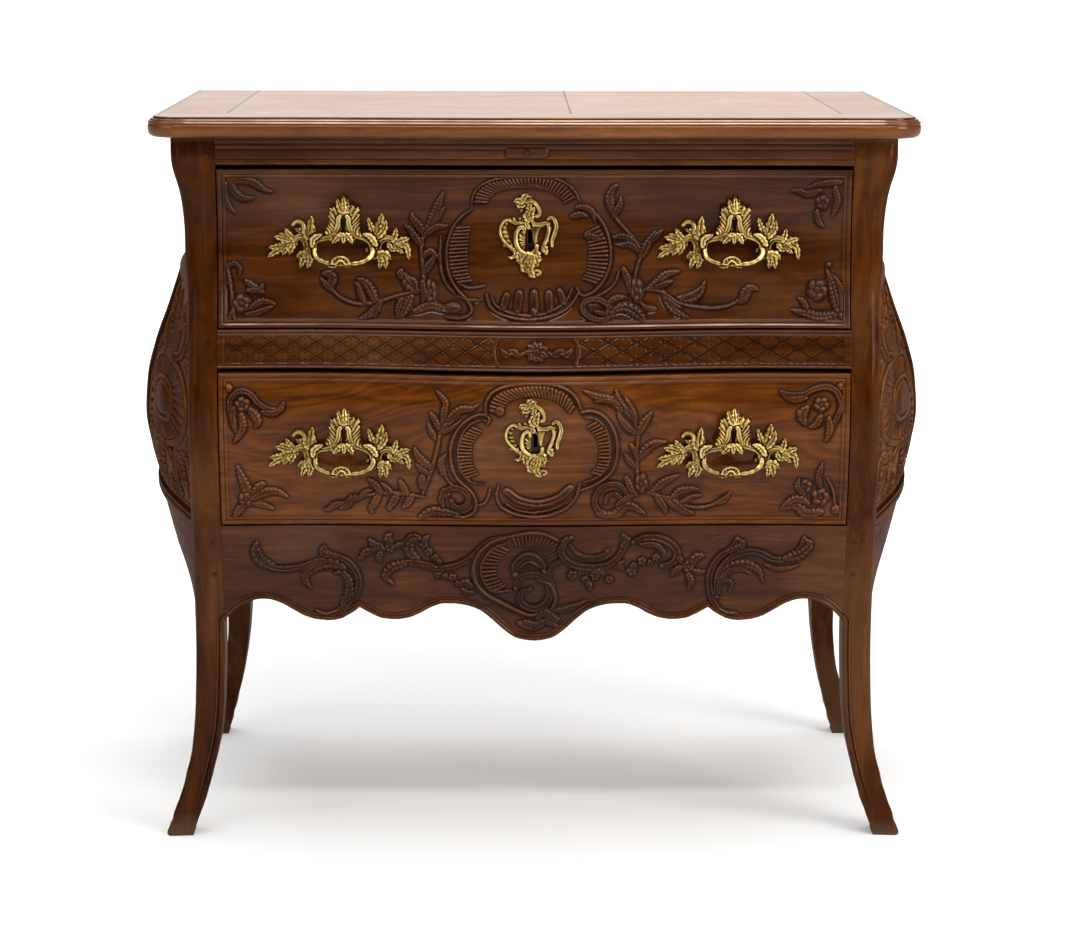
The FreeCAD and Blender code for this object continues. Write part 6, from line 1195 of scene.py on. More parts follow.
        ["arm", [[22.7, 17.7], [26.6, 20.3], [30.7, 16.9], [33.1, 10.3], [32.6, 3.7], [30.2, -2.9], [28.2, -8.7], [27.8, -15.3]], 1.86, 2.8, 2.8],
        ["fill", [[24.4, 9.6], [28.5, 6.6], [30.9, 2.2], [28.7, -5.1], [25.7, -12.4], [22.0, -17.1], [18.2, -17.1], [20.4, -8.7], [23.0, -1.4], [23.7, 5.2]], 1.3, 1.0, 1.0],
        ["berry", [[27.8, -16.9]], 2.83, 2.4, 2.4],
        ["berry", [[23.5, 18.1]], 2.24, 2.8, 2.8],
        ["berry", [[24.7, 0.0]], 1.64, 2.6, 2.6],
        ["berry", [[22.5, -9.6]], 1.64, 2.6, 2.6],
        ["berry", [[26.0, 6.6]], 1.64, 2.6, 2.6],
        ["berry", [[20.0, -15.3]], 1.64, 2.6, 2.6],
        ["arm", [[-1.1, 18.4], [1.9, 16.9], [4.8, 12.5], [9.3, 10.7], [13.7, 11.4], [18.9, 12.8], [24.1, 11.6]], 1.64, 3, 3],
        ["fan", [[-24.0, 15.4], [-28.3, 9.5], [-29.2, 5.1], [-27.3, -0.8], [-25.1, -8.8], [-21.4, -12.4], [-18.7, -19.0]], 1.5, 1.5, 1.3, {"outer": [[-25.1, 17.2], [-31.4, 16.5], [-36.2, 11.7], [-38.6, 5.0], [-37.7, -3.0], [-33.6, -9.6], [-27.7, -15.4], [-21.0, -22.6]], "n": 7}],
        ["rim", [[-25.1, 16.7], [-31.4, 16.0], [-35.7, 11.2], [-38.0, 4.5], [-37.2, -3.0], [-33.1, -9.9], [-27.3, -15.7], [-21.0, -22.2], [-18.7, -26.9]], 1.27, 2.4, 2.4],
        ["arm", [[-24.7, 15.2], [-21.8, 13.8], [-18.1, 12.3], [-12.9, 12.8], [-8.8, 12.3]], 1.49, 2.6, 2.6],
        ["berry", [[-20.7, 18.7]], 2.01, 2.6, 2.6],
        ["arm", [[-20.7, 18.2], [-18.8, 14.7], [-14.4, 12.5]], 1.34, 2.6, 2.6],
        ["berry", [[-12.9, 18.2]], 2.24, 2.8, 2.8],
        ["berry", [[-8.8, 16.0]], 2.24, 2.8, 2.8],
        ["berry", [[-9.9, 12.3]], 1.94, 2.8, 2.8],
        ["berry", [[-14.8, 32.1]], 2.24, 2.8, 2.8],
        ["berry", [[-11.1, 28.4]], 2.24, 2.8, 2.8],
        ["berry", [[-2.2, 17.5]], 2.53, 2.8, 2.8],
        ["berry", [[-4.0, 10.1]], 2.24, 2.8, 2.8],
        ["berry", [[0.4, 5.7]], 1.64, 2.8, 2.8],
        ["berry", [[-32.5, -15.4]], 2.61, 2.2, 2.2],
        ["arm", [[-31.4, -14.8], [-27.7, -16.2], [-23.1, -16.9]], 1.27, 2.2, 2.2],
        ["arm", [[-20.1, -19.7], [-18.7, -24.0], [-19.1, -27.8], [-22.4, -30.0], [-25.8, -30.0]], 1.64, 2.6, 2.6],
        ["berry", [[-23.6, -30.9]], 3.35, 2.4, 2.4],
        ["berry", [[-23.6, -30.9]], 1.34, 4.6, 4.6],
        ["leaf", [[-15.0, -25.5], [-13.8, -30.5], [-13.6, -36.7]], 2.98, 2.8, 2.2],
        ["berry", [[-14.0, -33.8]], 2.53, 2.6, 2.6],
        ["fill", [[-5.5, 15.4], [-9.2, 18.4], [-10.7, 21.3], [-7.0, 24.3], [-5.5, 29.5], [-7.0, 34.7], [-4.1, 39.9], [1.8, 39.9], [7.8, 35.5], [6.3, 29.5], [2.6, 24.3], [1.9, 19.1], [3.7, 13.6], [-1.1, 12.1]], 1.8, 1.6, 1.6],
        ["rim", [[-4.1, 39.2], [0.4, 40.8], [5.5, 38.6], [10.0, 32.7], [12.1, 26.6], [10.9, 22.5], [8.5, 21.4]], 1.79, 3.2, 3.2],
        ["berry", [[8.5, 23.4]], 2.68, 3.0, 3.0],
        ["fill", [[-18.8, 39.8], [-17.0, 43.6], [-11.5, 44.8], [-9.2, 47.7], [-4.8, 49.2], [0.7, 47.4], [0.5, 42.9], [-5.5, 39.9], [-10.0, 37.2], [-15.9, 38.0]], 1.6, 1.4, 1.4],
        ["leaf", [[-9.6, 38.8], [-14.0, 41.3], [-19.7, 39.9]], 2.53, 3, 2.2],
        ["leaf", [[-9.2, 39.8], [-7.9, 44.8], [-4.1, 49.0]], 2.83, 3, 2.2],
        ["leaf", [[-6.9, 40.5], [-2.6, 44.3], [1.2, 46.0]], 2.53, 3, 2.2],
        ["leaf", [[-7.4, 34.6], [-12.8, 34.6], [-17.2, 36.3]], 1.94, 2.8, 2.2],
        ["leaf", [[1.9, 16.9], [1.1, 24.3], [5.0, 31.8]], 2.68, 3.2, 3.2],
        ["leaf", [[-2.2, 15.4], [-4.6, 22.1], [-1.1, 28.8]], 2.53, 3.2, 3.2],
        ["leaf", [[-1.1, 29.5], [-1.1, 34.0], [1.1, 37.7]], 2.24, 3, 3],
        ["leaf", [[-5.5, 12.5], [-3.3, 9.5], [-0.9, 5.7]], 1.94, 3, 3],
        ["leaf", [[-2.5, -26.3], [-8.3, -34.1], [-9.2, -43.9]], 3.28, 3.4, 2.2],
        ["leaf", [[-9.3, -40.6], [-7.7, -44.4], [-5.5, -47.7]], 2.53, 2.6, 2],
        ["leaf", [[0.4, -26.9], [-0.9, -36.3], [-4.0, -45.1]], 2.83, 3.6, 2.4],
        ["leaf", [[2.1, -26.9], [3.5, -32.7], [1.3, -40.6], [-1.1, -48.7]], 2.83, 3.6, 2.4],
        ["leaf", [[5.0, -27.6], [8.0, -34.1], [10.2, -39.3]], 2.98, 3.2, 2.2],
        ["leaf", [[3.4, -36.4], [8.0, -38.6], [10.6, -40.0]], 2.09, 3, 2.2],
        ["leaf", [[-1.1, -40.8], [0.6, -48.6], [5.2, -53.7]], 3.13, 2.8, 2],
        ["berry", [[6.0, -50.0]], 3.43, 2.2, 2.2],
        ["rim", [[4.9, -46.8], [9.3, -46.2], [12.7, -48.0], [12.0, -50.7], [9.4, -51.6]], 1.34, 2.4, 2.4],
        ["leaf", [[8.7, -23.4], [10.2, -29.1], [13.1, -32.8]], 2.53, 3, 2.2],
        ["berry", [[14.3, -32.4]], 2.53, 2.4, 2.4],
        ["leaf", [[17.6, -16.9], [19.7, -21.1], [20.1, -25.8]], 2.24, 2.6, 2],
    ],
}

GROUND = 0.9


def moulded_border(f, x0, x1, z0, z1):
    """Outer band, groove and bead around a drawer front, and the sunk field inside them."""
    e = np.minimum(np.minimum(f.U - x0, x1 - f.U), np.minimum(f.V - z0, z1 - f.V))
    band = 0.9 + 1.5 * np.sqrt(np.clip(1 - ((np.clip(e, 0, 5.6) - 3.0) / 3.1) ** 2, 0, 1))
    bead = GROUND + 1.15 * np.sqrt(np.clip(1 - ((e - 8.4) / 1.7) ** 2, 0, 1))
    groove = GROUND - 0.35 * np.exp(-(((e - 6.4) / 0.55) ** 2))
    H = np.where(e < 5.8, band, np.where(e < 6.7, groove, bead))
    f.H = np.where(e < 10.2, H, GROUND)
    return e


def tongues(strokes):
    """Broad gouge marks are carved as fluted tongues."""
    for s in strokes:
        if s[0] == "cut" and s[2] > 4:
            yield ["tube", s[1], s[2] * 0.80, 2.6, {"taper": 0.85}]
            for k in (-0.36, 0.0, 0.36):
                yield ["cut", [[p[0] + k * s[2] * (1.0 if i else 0.8), p[1]] for i, p in enumerate(s[1])], 0.62, 1.3]
        else:
            yield s


def front_piece(name, node, mat, body, f, deep, hole=None, zlow=None, shadow=None, plain_at=None, painted_flash=None):
    f.H = np.maximum(f.H, 0.08)
    dark, light = f.shade()
    if plain_at is not None:
        light = np.where(plain_at, 0.0, light)
    if painted_flash is not None:
        light = np.maximum(light, painted_flash)
    if shadow is not None:
        dark = np.maximum(dark, shadow)
    if zlow is None:
        X, Z, H, dk, lt = f.U, f.V, f.H, dark, light
    else:
        lo = zlow(f.u)
        t = (f.v - f.v[0]) / (f.v[-1] - f.v[0])
        X = f.U
        Z = lo[None, :] + (f.v[-1] - lo)[None, :] * t[:, None]
        H, dk, lt = f.sample(f.H, X, Z), f.sample(dark, X, Z), f.sample(light, X, Z)
    y = front_y(X, Z)
    P = np.stack([X, y - H, Z], -1)
    Q = np.stack([X, y + deep, Z], -1)
    o = slab(name, P, Q, mat, body, dk, lt, hole)
    return o


def on_top(f, H0):
    """Records the ground already there as the field's base."""
    f.base = H0


made = {}
# drawers
for which, (x0, x1, z0, z1, kx, kz) in {"upper": (-399.4, 399.4, 674.7, 873.3, -6, 794), "lower": (-399.4, 399.4, 421.2, 618.8, 1, 543)}.items():
    f = Field(x0, x1, z0, z1, 1.0)
    e = moulded_border(f, x0, x1, z0, z1)
    ground = f.H.copy()
    f.H[:] = 0.0
    f.carve(tongues(CARVING["ud" if which == "upper" else "ld"]))
    f.finish_ground(0.9, 2.4)
    f.H *= 1.30
    f.H = ground + f.H * np.clip((e - 9.5) / 1.5, 0, 1)
    # painted shade in and round the keyhole opening, and inside the broad gouged tongues, deepest toward their lower
    # ends
    painted_hollow_shade = np.clip(2.2 - 1.3 * np.hypot((f.U - kx) / 4.6, (f.V - kz + 8.5) / 12.5), 0, 1)
    # painted highlight lines along the border beads: on the upper drawer at its lower band and bead, varying across the
    # width, and faintly near its top; on the lower drawer along its top edge
    painted_flash = np.zeros_like(f.U)
    if which == "upper":
        for stroke in CARVING["ud"]:
            if stroke[0] == "cut" and stroke[2] > 4:
                win, d, s_, side_, total_ = f.near(catmull([tuple(q) for q in stroke[1]], 0.8), stroke[2] * 1.2)
                painted_hollow_shade[win] = np.maximum(painted_hollow_shade[win], np.clip((1.05 - d / stroke[2]) * 4, 0, 0.85) * np.clip(s_ * 2.2, 0.2, 1))
        painted_flash_strength = np.interp(f.u, np.linspace(-400, 400, 41), 0.55 + 0.45 * smooth(np.random.default_rng(4).uniform(0, 1, (41, 1)), 0.6)[:, 0])
        painted_flash_strength = painted_flash_strength * np.interp(f.u, [-400, -385, -330, -260, -120, -60, 60, 150, 380, 400], [0.3, 1, 1, 0.7, 0.6, 0.9, 1, 1.1, 1.1, 0.3])
        painted_flash = 2.1 * painted_flash_strength[None, :] * np.exp(-(((f.V - z0 - 4.4) / 1.15) ** 2)) * (np.abs(f.U) < 397)
        painted_flash = np.maximum(painted_flash, 1.0 * painted_flash_strength[None, :] * np.exp(-(((f.V - z0 - 10.6) / 0.9) ** 2)) * (np.abs(f.U) < 389))
        painted_flash = np.maximum(painted_flash, 0.95 * np.exp(-(((f.V - z1 + 8.0) / 0.8) ** 2)) * (np.abs(f.U) < 390))
    else:
        painted_flash = np.maximum(painted_flash, 0.9 * np.exp(-(((f.V - z1 + 2.4) / 1.0) ** 2)) * (np.abs(f.U) < 397))
    i0, i1 = int(np.searchsorted(f.u, kx - 2.6)), int(np.searchsorted(f.u, kx + 2.6))
    j0, j1 = int(np.searchsorted(f.v, kz - 14.5)), int(np.searchsorted(f.v, kz + 5.5))
    made[which + "_relief"] = front_piece(which + "_drawer_carving", None, M["front_x" if which == "upper" else "lower_x"], which + "_drawer", f, 2.5, hole=(i0, i1, j0, j1), shadow=painted_hollow_shade, painted_flash=painted_flash)

# middle rail: two panels of lattice and a flower between them
f = Field(-400.6, 400.6, 624.7, 672.3, 0.9)
a = np.abs(f.V - 648.5)
H = np.full_like(f.U, 1.7)
edge_d = 23.8 - a
H = np.where(edge_d < 3.2, 1.0 + 1.1 * np.sqrt(np.clip(1 - ((edge_d - 1.8) / 1.9) ** 2, 0, 1)), H)
H = np.where((edge_d > 3.2) & (edge_d < 4.6), 0.5, H)
ax = np.abs(f.U - 2.0)
inside = (edge_d > 7.0) & (f.U > -392) & (f.U < 392)
arc = 6.0 * (1 - ((f.V - 648.5) / 16.8) ** 2)
pan_l, pan_r = inside & (f.U < -48 - arc), inside & (f.U > 51 + arc)
mid = inside & (f.U > -44 - arc) & (f.U < 47 + arc)
H = np.where(pan_l | pan_r | mid, 0.45, H)
frame_in = np.minimum(edge_d - 7.0, np.minimum(392 - np.abs(f.U), np.minimum(np.where(f.U < 0, -50 - f.U, f.U - 53), 999)))
frame_in = np.where(pan_l | pan_r, frame_in, 0)
wide, tall = np.where(f.U < 0, 29.0, 37.0), np.where(f.U < 0, 17.6, 20.4)
p, q = f.U / wide + (f.V - 648.5) / tall, f.U / wide - (f.V - 648.5) / tall
dp, dq = np.abs(p - np.round(p)), np.abs(q - np.round(q))
lines = np.minimum(dp, dq) * 15.4
cut = 0.6 * np.exp(-((lines / 0.80) ** 2))
du = f.U - (np.round(p) + np.round(q)) / 2 * wide
dv = f.V - 648.5 - (np.round(p) - np.round(q)) / 2 * tall
dots = np.zeros_like(cut)
for au, av in ((6.4, 0), (-6.4, 0), (0, 4.6), (0, -4.6)):
    dots += 0.8 * np.exp(-((np.hypot(du - au, dv - av) / 1.15) ** 2))
H = np.where(pan_l | pan_r, 1.15 - cut - dots, H)
f.H = H.copy()
ground = H
f.H = np.zeros_like(H)
for k in range(9):
    t = 2 * math.pi * k / 9 + 0.35
    L = math.hypot(15.5 * math.cos(t), 12.5 * math.sin(t))
    f.leaf([(2 + 3.2 * math.cos(t), 648.5 + 3.0 * math.sin(t)), (2 + 0.6 * L * math.cos(t + 0.05), 648.5 + 0.6 * L * math.sin(t + 0.05)), (2 + L * math.cos(t), 648.5 + L * math.sin(t))], 3.3, 2.9, lobes=1)
f.rose([(2, 648.5)], 4.4, 3.6)
for sx in (-1, 1):
    f.tube([(2 + sx * 15, 648), (2 + sx * 23, 644), (2 + sx * 31, 647), (2 + sx * 38, 643), (2 + sx * 43, 647)], 2.0, 2.2)
    f.leaf([(2 + sx * 22, 645), (2 + sx * 29, 650), (2 + sx * 36, 650)], 2.2, 1.8, lobes=1)
    f.leaf([(2 + sx * 36, 645), (2 + sx * 42, 649), (2 + sx * 44, 653)], 2.0, 1.8, lobes=1)
f.finish_ground(0.4)
f.H = ground + f.H
# painted shade in the lattice grooves and the pits at their crossings; the lattice panels get no painted highlight
painted_groove_shade = np.where(pan_l | pan_r, np.clip(1.15 * np.exp(-((lines / 0.85) ** 2)) + 1.7 * dots, 0, 1), 0)
made["middle_rail"] = front_piece("middle_rail_carving", None, M["rail_x"], "carcase", f, 2.5, shadow=painted_groove_shade, plain_at=pan_l | pan_r)

# frieze: two grooves run along it, broken by a small block at the centre peg
f = Field(-400.6, 400.6, 879.3, 913.7, 1.2)
v = f.V
H = np.full_like(f.U, 1.3)
for zc, dep, wd in ((905.5, 0.9, 1.0), (898.8, 1.0, 1.2), (886.0, 0.7, 1.0)):
    H -= dep * np.exp(-(((v - zc) / wd) ** 2))
H = np.where((v < 898.8) & (v > 886), H - 0.35, H)
blk = np.clip((26 - np.abs(f.U + 9.9)) / 1.5, 0, 1) * np.clip((6.5 - np.abs(v - 895.0)) / 1.5, 0, 1)
H = H * (1 - blk) + 1.9 * blk
qx, qz = np.maximum(np.abs(f.U + 9.9) - 22.0, 0), np.abs(v - 895.0)
rim_d = np.hypot(qx, qz) - 6.2
peg_d = np.hypot(f.U + 9.9, v - 895.0)
mark = 0.9 * np.exp(-((rim_d / 0.9) ** 2)) + 1.0 * np.exp(-(((peg_d - 4.1) / 0.75) ** 2))
f.H = H - mark
# the groove round the centre block and the ring round its peg are painted dark as well, as shade
made["frieze_rail"] = front_piece("frieze_rail_moulding", None, M["rail_x"], "carcase", f, 2.5, shadow=np.clip(mark * 1.1, 0, 1))

# apron: carved field above the scalloped edge, which carries a double bead
f = Field(-400.6, 400.6, 258.0, 418.7, 1.0)
f.H[:] = GROUND
f.orn[:] = 0
ground = f.H.copy()
f.H[:] = 0.0
f.carve(tongues(CARVING["ap"]))
f.finish_ground()
f.H *= 1.15
f.H += ground
xs = np.linspace(-400.6, 400.6, 900)
edge_path = np.stack([xs, apron_edge(xs)], -1)
win, d, s, side, total = f.near(edge_path, 11.0)
sub = f.H[win]
bead1 = GROUND + 1.7 * np.sqrt(np.clip(1 - ((d - 2.4) / 2.4) ** 2, 0, 1))
bead2 = GROUND + 1.1 * np.sqrt(np.clip(1 - ((d - 7.0) / 1.5) ** 2, 0, 1))
sub[:] = np.where(d < 4.9, np.maximum(bead1, 0.4), np.where(d < 5.5, GROUND - 0.3, np.where(d < 8.6, np.maximum(bead2, sub), sub)))
made["apron"] = front_piece("front_apron_carving", None, M["rail_x"], "carcase", f, 2.5, zlow=lambda u: apron_edge(u) + 0.2)

# side panels: an oval boss in a fluted ring, foliage above and below, in a moulded frame
SIDE = [
    ["flutes", [[212, 600], [300, 588], [330, 550], [300, 510], [212, 498], [124, 510], [94, 550], [124, 588], [212, 600]], [[212, 581], [262, 575], [280, 549], [262, 524], [212, 518], [162, 524], [144, 549], [162, 575], [212, 581]], 2.4, {"n": 34, "taper": 0.7}],
    ["tube", [[212, 607], [270, 603], [322, 585], [342, 550], [322, 515], [270, 496], [212, 491], [154, 496], [102, 515], [82, 550], [102, 585], [154, 603], [212, 607]], 4.6, 3.6, {"taper": 0.95}],
    ["tube", [[212, 577], [258, 571], [272, 549], [258, 527], [212, 521], [166, 527], [152, 549], [166, 571], [212, 577]], 3.0, 3.2, {"taper": 0.95}],
    ["boss", [[212, 549]], 50.0, 6.5, {"e": 0.46}],
    ["leaf", [[212, 606], [200, 640], [204, 668], [214, 696]], 17.0, 4.4],
    ["leaf", [[206, 610], [176, 628], [158, 652], [160, 680]], 12.0, 4.0],
    ["leaf", [[218, 610], [248, 628], [266, 652], [264, 680]], 12.0, 4.0],
    ["chan", [[176, 612], [136, 616], [106, 636], [100, 664], [118, 684], [140, 674], [138, 654]], 7.5, 3.8],
    ["chan", [[248, 612], [288, 616], [318, 636], [324, 664], [306, 684], [284, 674], [286, 654]], 7.5, 3.8],
    ["rose", [[118, 655]], 10.0, 4.0], ["rose", [[306, 655]], 10.0, 4.0],
    ["leaf", [[100, 640], [84, 660], [78, 690]], 7.0, 3.2], ["leaf", [[324, 640], [342, 660], [348, 690]], 7.0, 3.2],
    ["leaf", [[104, 612], [80, 606], [66, 586]], 7.5, 3.2], ["leaf", [[320, 612], [346, 606], [362, 586]], 7.5, 3.2],
    ["leaf", [[212, 494], [222, 470], [218, 448], [212, 431]], 13.0, 4.2],
    ["chan", [[204, 492], [170, 486], [140, 466], [136, 446], [154, 436], [170, 446], [160, 458]], 7.5, 3.8],
    ["chan", [[220, 492], [254, 486], [284, 466], [288, 446], [270, 436], [254, 446], [264, 458]], 7.5, 3.8],
    ["leaf", [[140, 484], [112, 474], [92, 454], [84, 434]], 10.0, 3.8], ["leaf", [[284, 484], [312, 474], [334, 454], [342, 434]], 10.0, 3.8],
    ["leaf", [[120, 480], [94, 486], [70, 478]], 8.0, 3.4], ["leaf", [[306, 480], [332, 486], [356, 478]], 8.0, 3.4],
    ["leaf", [[150, 452], [132, 440], [110, 434]], 7.0, 3.2], ["leaf", [[276, 452], [294, 440], [318, 434]], 7.0, 3.2],
    ["leaf", [[90, 505], [70, 512], [62, 530]], 7.0, 3.2], ["leaf", [[336, 505], [356, 512], [366, 530]], 7.0, 3.2],
]
f = Field(47.3, 392.7, 420.3, 711.7, 1.25)
e = np.minimum(np.minimum(f.U - 47.3, 392.7 - f.U), np.minimum(f.V - 420.3, 711.7 - f.V))
corner = 30 - np.hypot(np.minimum(f.U - 77.3, 0), np.maximum(f.V - 681.7, 0))
corner2 = 30 - np.hypot(np.maximum(f.U - 362.7, 0), np.maximum(f.V - 681.7, 0))
e = np.where((f.U < 77.3) & (f.V > 681.7), corner, np.where((f.U > 362.7) & (f.V > 681.7), corner2, e))
f.carve(SIDE)
f.finish_ground(0.7, 3.0)
ground = 0.4 + 1.5 * np.sqrt(np.clip(1 - ((e - 5.0) / 2.2) ** 2, 0, 1)) + 1.6 * np.clip((3.0 - e) / 3.0, 0, 1) + 4.4 * (e < 0)
f.H = ground + f.H * np.clip((e - 8) / 2, 0, 1)
# painted shade in the hollows and painted highlights on the crests, as on the fronts
side_dark, side_light = f.shade()
g = Field(23.6, 412.4, 399.0, 733.0, 1.3)
gi0, gi1 = int(np.searchsorted(g.u, 47.2)), int(np.searchsorted(g.u, 392.8))
gj0, gj1 = int(np.searchsorted(g.v, 420.2)), int(np.searchsorted(g.v, 711.8))
out_d = np.hypot(np.maximum(np.maximum(g.u[gi0] - g.U, g.U - g.u[gi1]), 0), np.maximum(np.maximum(g.v[gj0] - g.V, g.V - g.v[gj1]), 0))
g.H = np.where(out_d < 4.0, 0.3 + 1.6 * np.sqrt(np.clip(1 - ((out_d - 2.0) / 2.0) ** 2, 0, 1)), np.where(out_d < 5.0, 0.5, np.where(out_d < 16.4, 0.5 + 3.4 * np.sqrt(np.clip(1 - ((out_d - 10.7) / 5.7) ** 2, 0, 1)), np.where(out_d < 20.5, 0.3, -0.6))))
frame_dark, frame_light = g.shade()
# painted shade on the outer flank of the frame's wide bead and beyond it, and in the groove between the two beads; the
# wide bead's crest gets a painted highlight line below
frame_dark = np.maximum(frame_dark, np.clip((out_d - 14.0) / 1.2, 0, 1))
frame_dark = np.maximum(frame_dark, np.clip(1.5 - np.abs(out_d - 4.6) / 0.9, 0, 1))
for side, sg in (("right", 1), ("left", -1)):
    x = side_x(f.V, f.U)
    P = np.stack([sg * (x - 6.0 + f.H), f.U, f.V], -1)
    Q = np.stack([sg * (x - 9.0), f.U, f.V], -1)
    slab("side_panel_%s_carving" % side, P, Q, M["side_z"], "carcase", side_dark, side_light, flip=sg < 0)
    x = side_x(g.V, g.U)
    P = np.stack([sg * (x + g.H), g.U, g.V], -1)
    Q = np.stack([sg * (x - 6.3), g.U, g.V], -1)
    slab("side_frame_%s_moulding" % side, P, Q, M["side_y"], "carcase", frame_dark, np.maximum(frame_light, 0.75 * np.clip(1.4 - np.abs(out_d - 11.0) / 1.6, 0, 1)), hole=(gi0, gi1, gj0, gj1), flip=sg < 0)

# the side apron's arch runs on into the rear leg over a small bracket
t = np.linspace(0, 1, 90)[None, :]
r = np.linspace(0, 1, 40)[:, None]
y_a, y_b = 47.0, 393.0


def arch(y):
    q = np.clip((y - y_a) / (y_b - y_a), 0, 1)
    return 292 + 46 * np.sin(np.pi * q) ** 0.8 + 14 * q


def curve(p0, p1, p2):
    return [(1 - t) ** 2 * p0[i] + 2 * t * (1 - t) * p1[i] + t * t * p2[i] for i in (0, 1)]


low_y, low_z = curve((352.0, float(arch(352.0)) - 0.2), (396.0, 304.0), (447.0, 222.0))
top_y, top_z = curve((352.0, float(arch(352.0)) + 1.5), (404.0, 345.0), (454.0, 226.0))
By, Bz = low_y * (1 - r) + top_y * r, low_z * (1 - r) + top_z * r
for side, sg in (("right", 1), ("left", -1)):
    x = side_x(Bz, By)
    slab("side_bracket_%s" % side, np.stack([sg * (x - 0.25), By, Bz], -1), np.stack([sg * (x - 19.0), By, Bz], -1), M["side_y"], "carcase", flip=sg < 0)

# the moulding of the apron's edge runs on down the inner edge of each front leg
zs = np.linspace(0.4, 330.0, 300)
across = np.linspace(0.15, 15.0, 34)
tail_x = np.linspace(380, 401, 24)
leg_path = np.vstack([np.stack([tail_x, apron_edge(tail_x)], -1), np.stack([inner(zs[zs < 287][::-1]), zs[zs < 287][::-1]], -1)])
A, Zl = np.meshgrid(across, zs)
Xl = inner(Zl) + A
lf = Field(380, 470, 0, 332, 1.0)
win, d, s, side_of, total = lf.near(leg_path, 16.0)
dist = np.full(lf.U.shape, 16.0)
dist[win] = np.minimum(d, 16.0)
dl = lf.sample(dist, Xl, Zl)
Hl = np.where(dl < 6.6, 0.5 + 1.9 * np.sqrt(np.clip(1 - ((dl - 3.3) / 3.3) ** 2, 0, 1)), np.where(dl < 7.8, 0.12, np.where(dl < 11.0, 0.2 + 1.3 * np.sqrt(np.clip(1 - ((dl - 9.4) / 1.6) ** 2, 0, 1)), -0.9)))
fade = np.clip((Zl - 20) / 60.0, 0.15, 1)
Hl = np.where(Hl > 0, Hl * fade, Hl)
# painted shade in the moulding's two grooves and a painted highlight along its small bead
dark_l = np.clip(1.1 * np.exp(-(((dl - 7.2) / 0.9) ** 2)) + 0.8 * np.exp(-(((dl - 11.2) / 0.8) ** 2)), 0, 1) * fade
light_l = np.clip(np.exp(-(((dl - 9.4) / 0.8) ** 2)), 0, 1) * fade * 0.9
for side, sg in (("right", 1), ("left", -1)):
    y = front_y(Xl, Zl)
    P = np.stack([sg * Xl, y - Hl, Zl], -1)
    Q = np.stack([sg * Xl, y + 2.0, Zl], -1)
    slab("front_leg_%s_moulding" % side, P, Q, M["post_z"], "carcase", dark_l, light_l, flip=sg < 0)

# the lip of the top: a low step, two beads and a roll below them
LIP = [(9.5, 913.8), (6.0, 914.15), (3.5, 915.0), (1.5, 916.5), (0.2, 918.5), (-0.6, 921.0), (-1.0, 924.2), (-1.0, 927.0), (-0.6, 929.2), (0.1, 930.4), (0.15, 930.9), (-0.45, 931.3), (-0.6, 932.2), (-0.3, 933.3), (0.5, 934.1), (1.5, 934.5), (2.0, 934.7), (1.9, 935.2), (2.3, 936.1), (3.2, 936.9), (4.3, 937.2), (5.3, 937.1), (5.9, 937.25), (6.0, 938.2), (6.1, 939.2), (6.7, 939.95), (8.0, 940.2), (10.5, 940.15), (13.2, 940.02)]
lip = np.array(LIP)
seg = np.concatenate([[0], np.cumsum(np.hypot(*np.diff(lip, axis=0).T))])
along = np.arange(0, seg[-1], 0.4)
lip = np.stack([np.interp(along, seg, lip[:, 0]), np.interp(along, seg, lip[:, 1])], -1)
lip[1:-1] = (lip[:-2] + 2 * lip[1:-1] + lip[2:]) / 4
heart = np.array([12.5, 927.0])
toward = heart - lip
toward /= np.hypot(toward[:, 0], toward[:, 1])[:, None]
lip_in = lip + 1.4 * toward
# painted highlight lines on the two beads and faintly on the lower roll; painted shade lines at the step and in the
# grooves
painted_lip_highlight = 1.3 * np.maximum(np.exp(-(((lip[:, 1] - 933.45) / 1.0) ** 2)), np.exp(-(((lip[:, 1] - 936.65) / 0.85) ** 2)) * (lip[:, 0] < 5.2))
painted_lip_highlight += 0.40 * np.exp(-(((lip[:, 1] - 914.9) / 0.7) ** 2))
painted_lip_shade = np.maximum(np.exp(-(((lip[:, 1] - 938.0) / 0.7) ** 2)) * (lip[:, 0] < 7), np.exp(-(((lip[:, 1] - 930.7) / 0.5) ** 2)) * 0.8)
painted_lip_shade = np.maximum(painted_lip_shade, 0.9 * np.exp(-(((lip[:, 1] - 934.9) / 0.35) ** 2)))


def around(part, d):
    """The top's outline at inset d, in plan."""
    hw, r = 485.0 - d, 42.0 - d
    if part == "left":
        y = np.linspace(549.8, 10.0, 220)
        return np.stack([-hw + 0 * y, y], -1)
    if part == "right":
        y = np.linspace(10.0, 549.8, 220)
        return np.stack([hw + 0 * y, y], -1)
    a = np.linspace(math.pi, 1.5 * math.pi, 26)[:-1]
    b = np.linspace(1.5 * math.pi, 2 * math.pi, 26)[1:]
    x = np.linspace(-443.0, 443.0, 520)
    front = np.stack([x, -32.0 + d - 8.0 * bump(x, 300.0)], -1)
    return np.vstack([np.stack([-443 + r * np.cos(a), 10 + r * np.sin(a)], -1), front, np.stack([443 + r * np.cos(b), 10 + r * np.sin(b)], -1)])


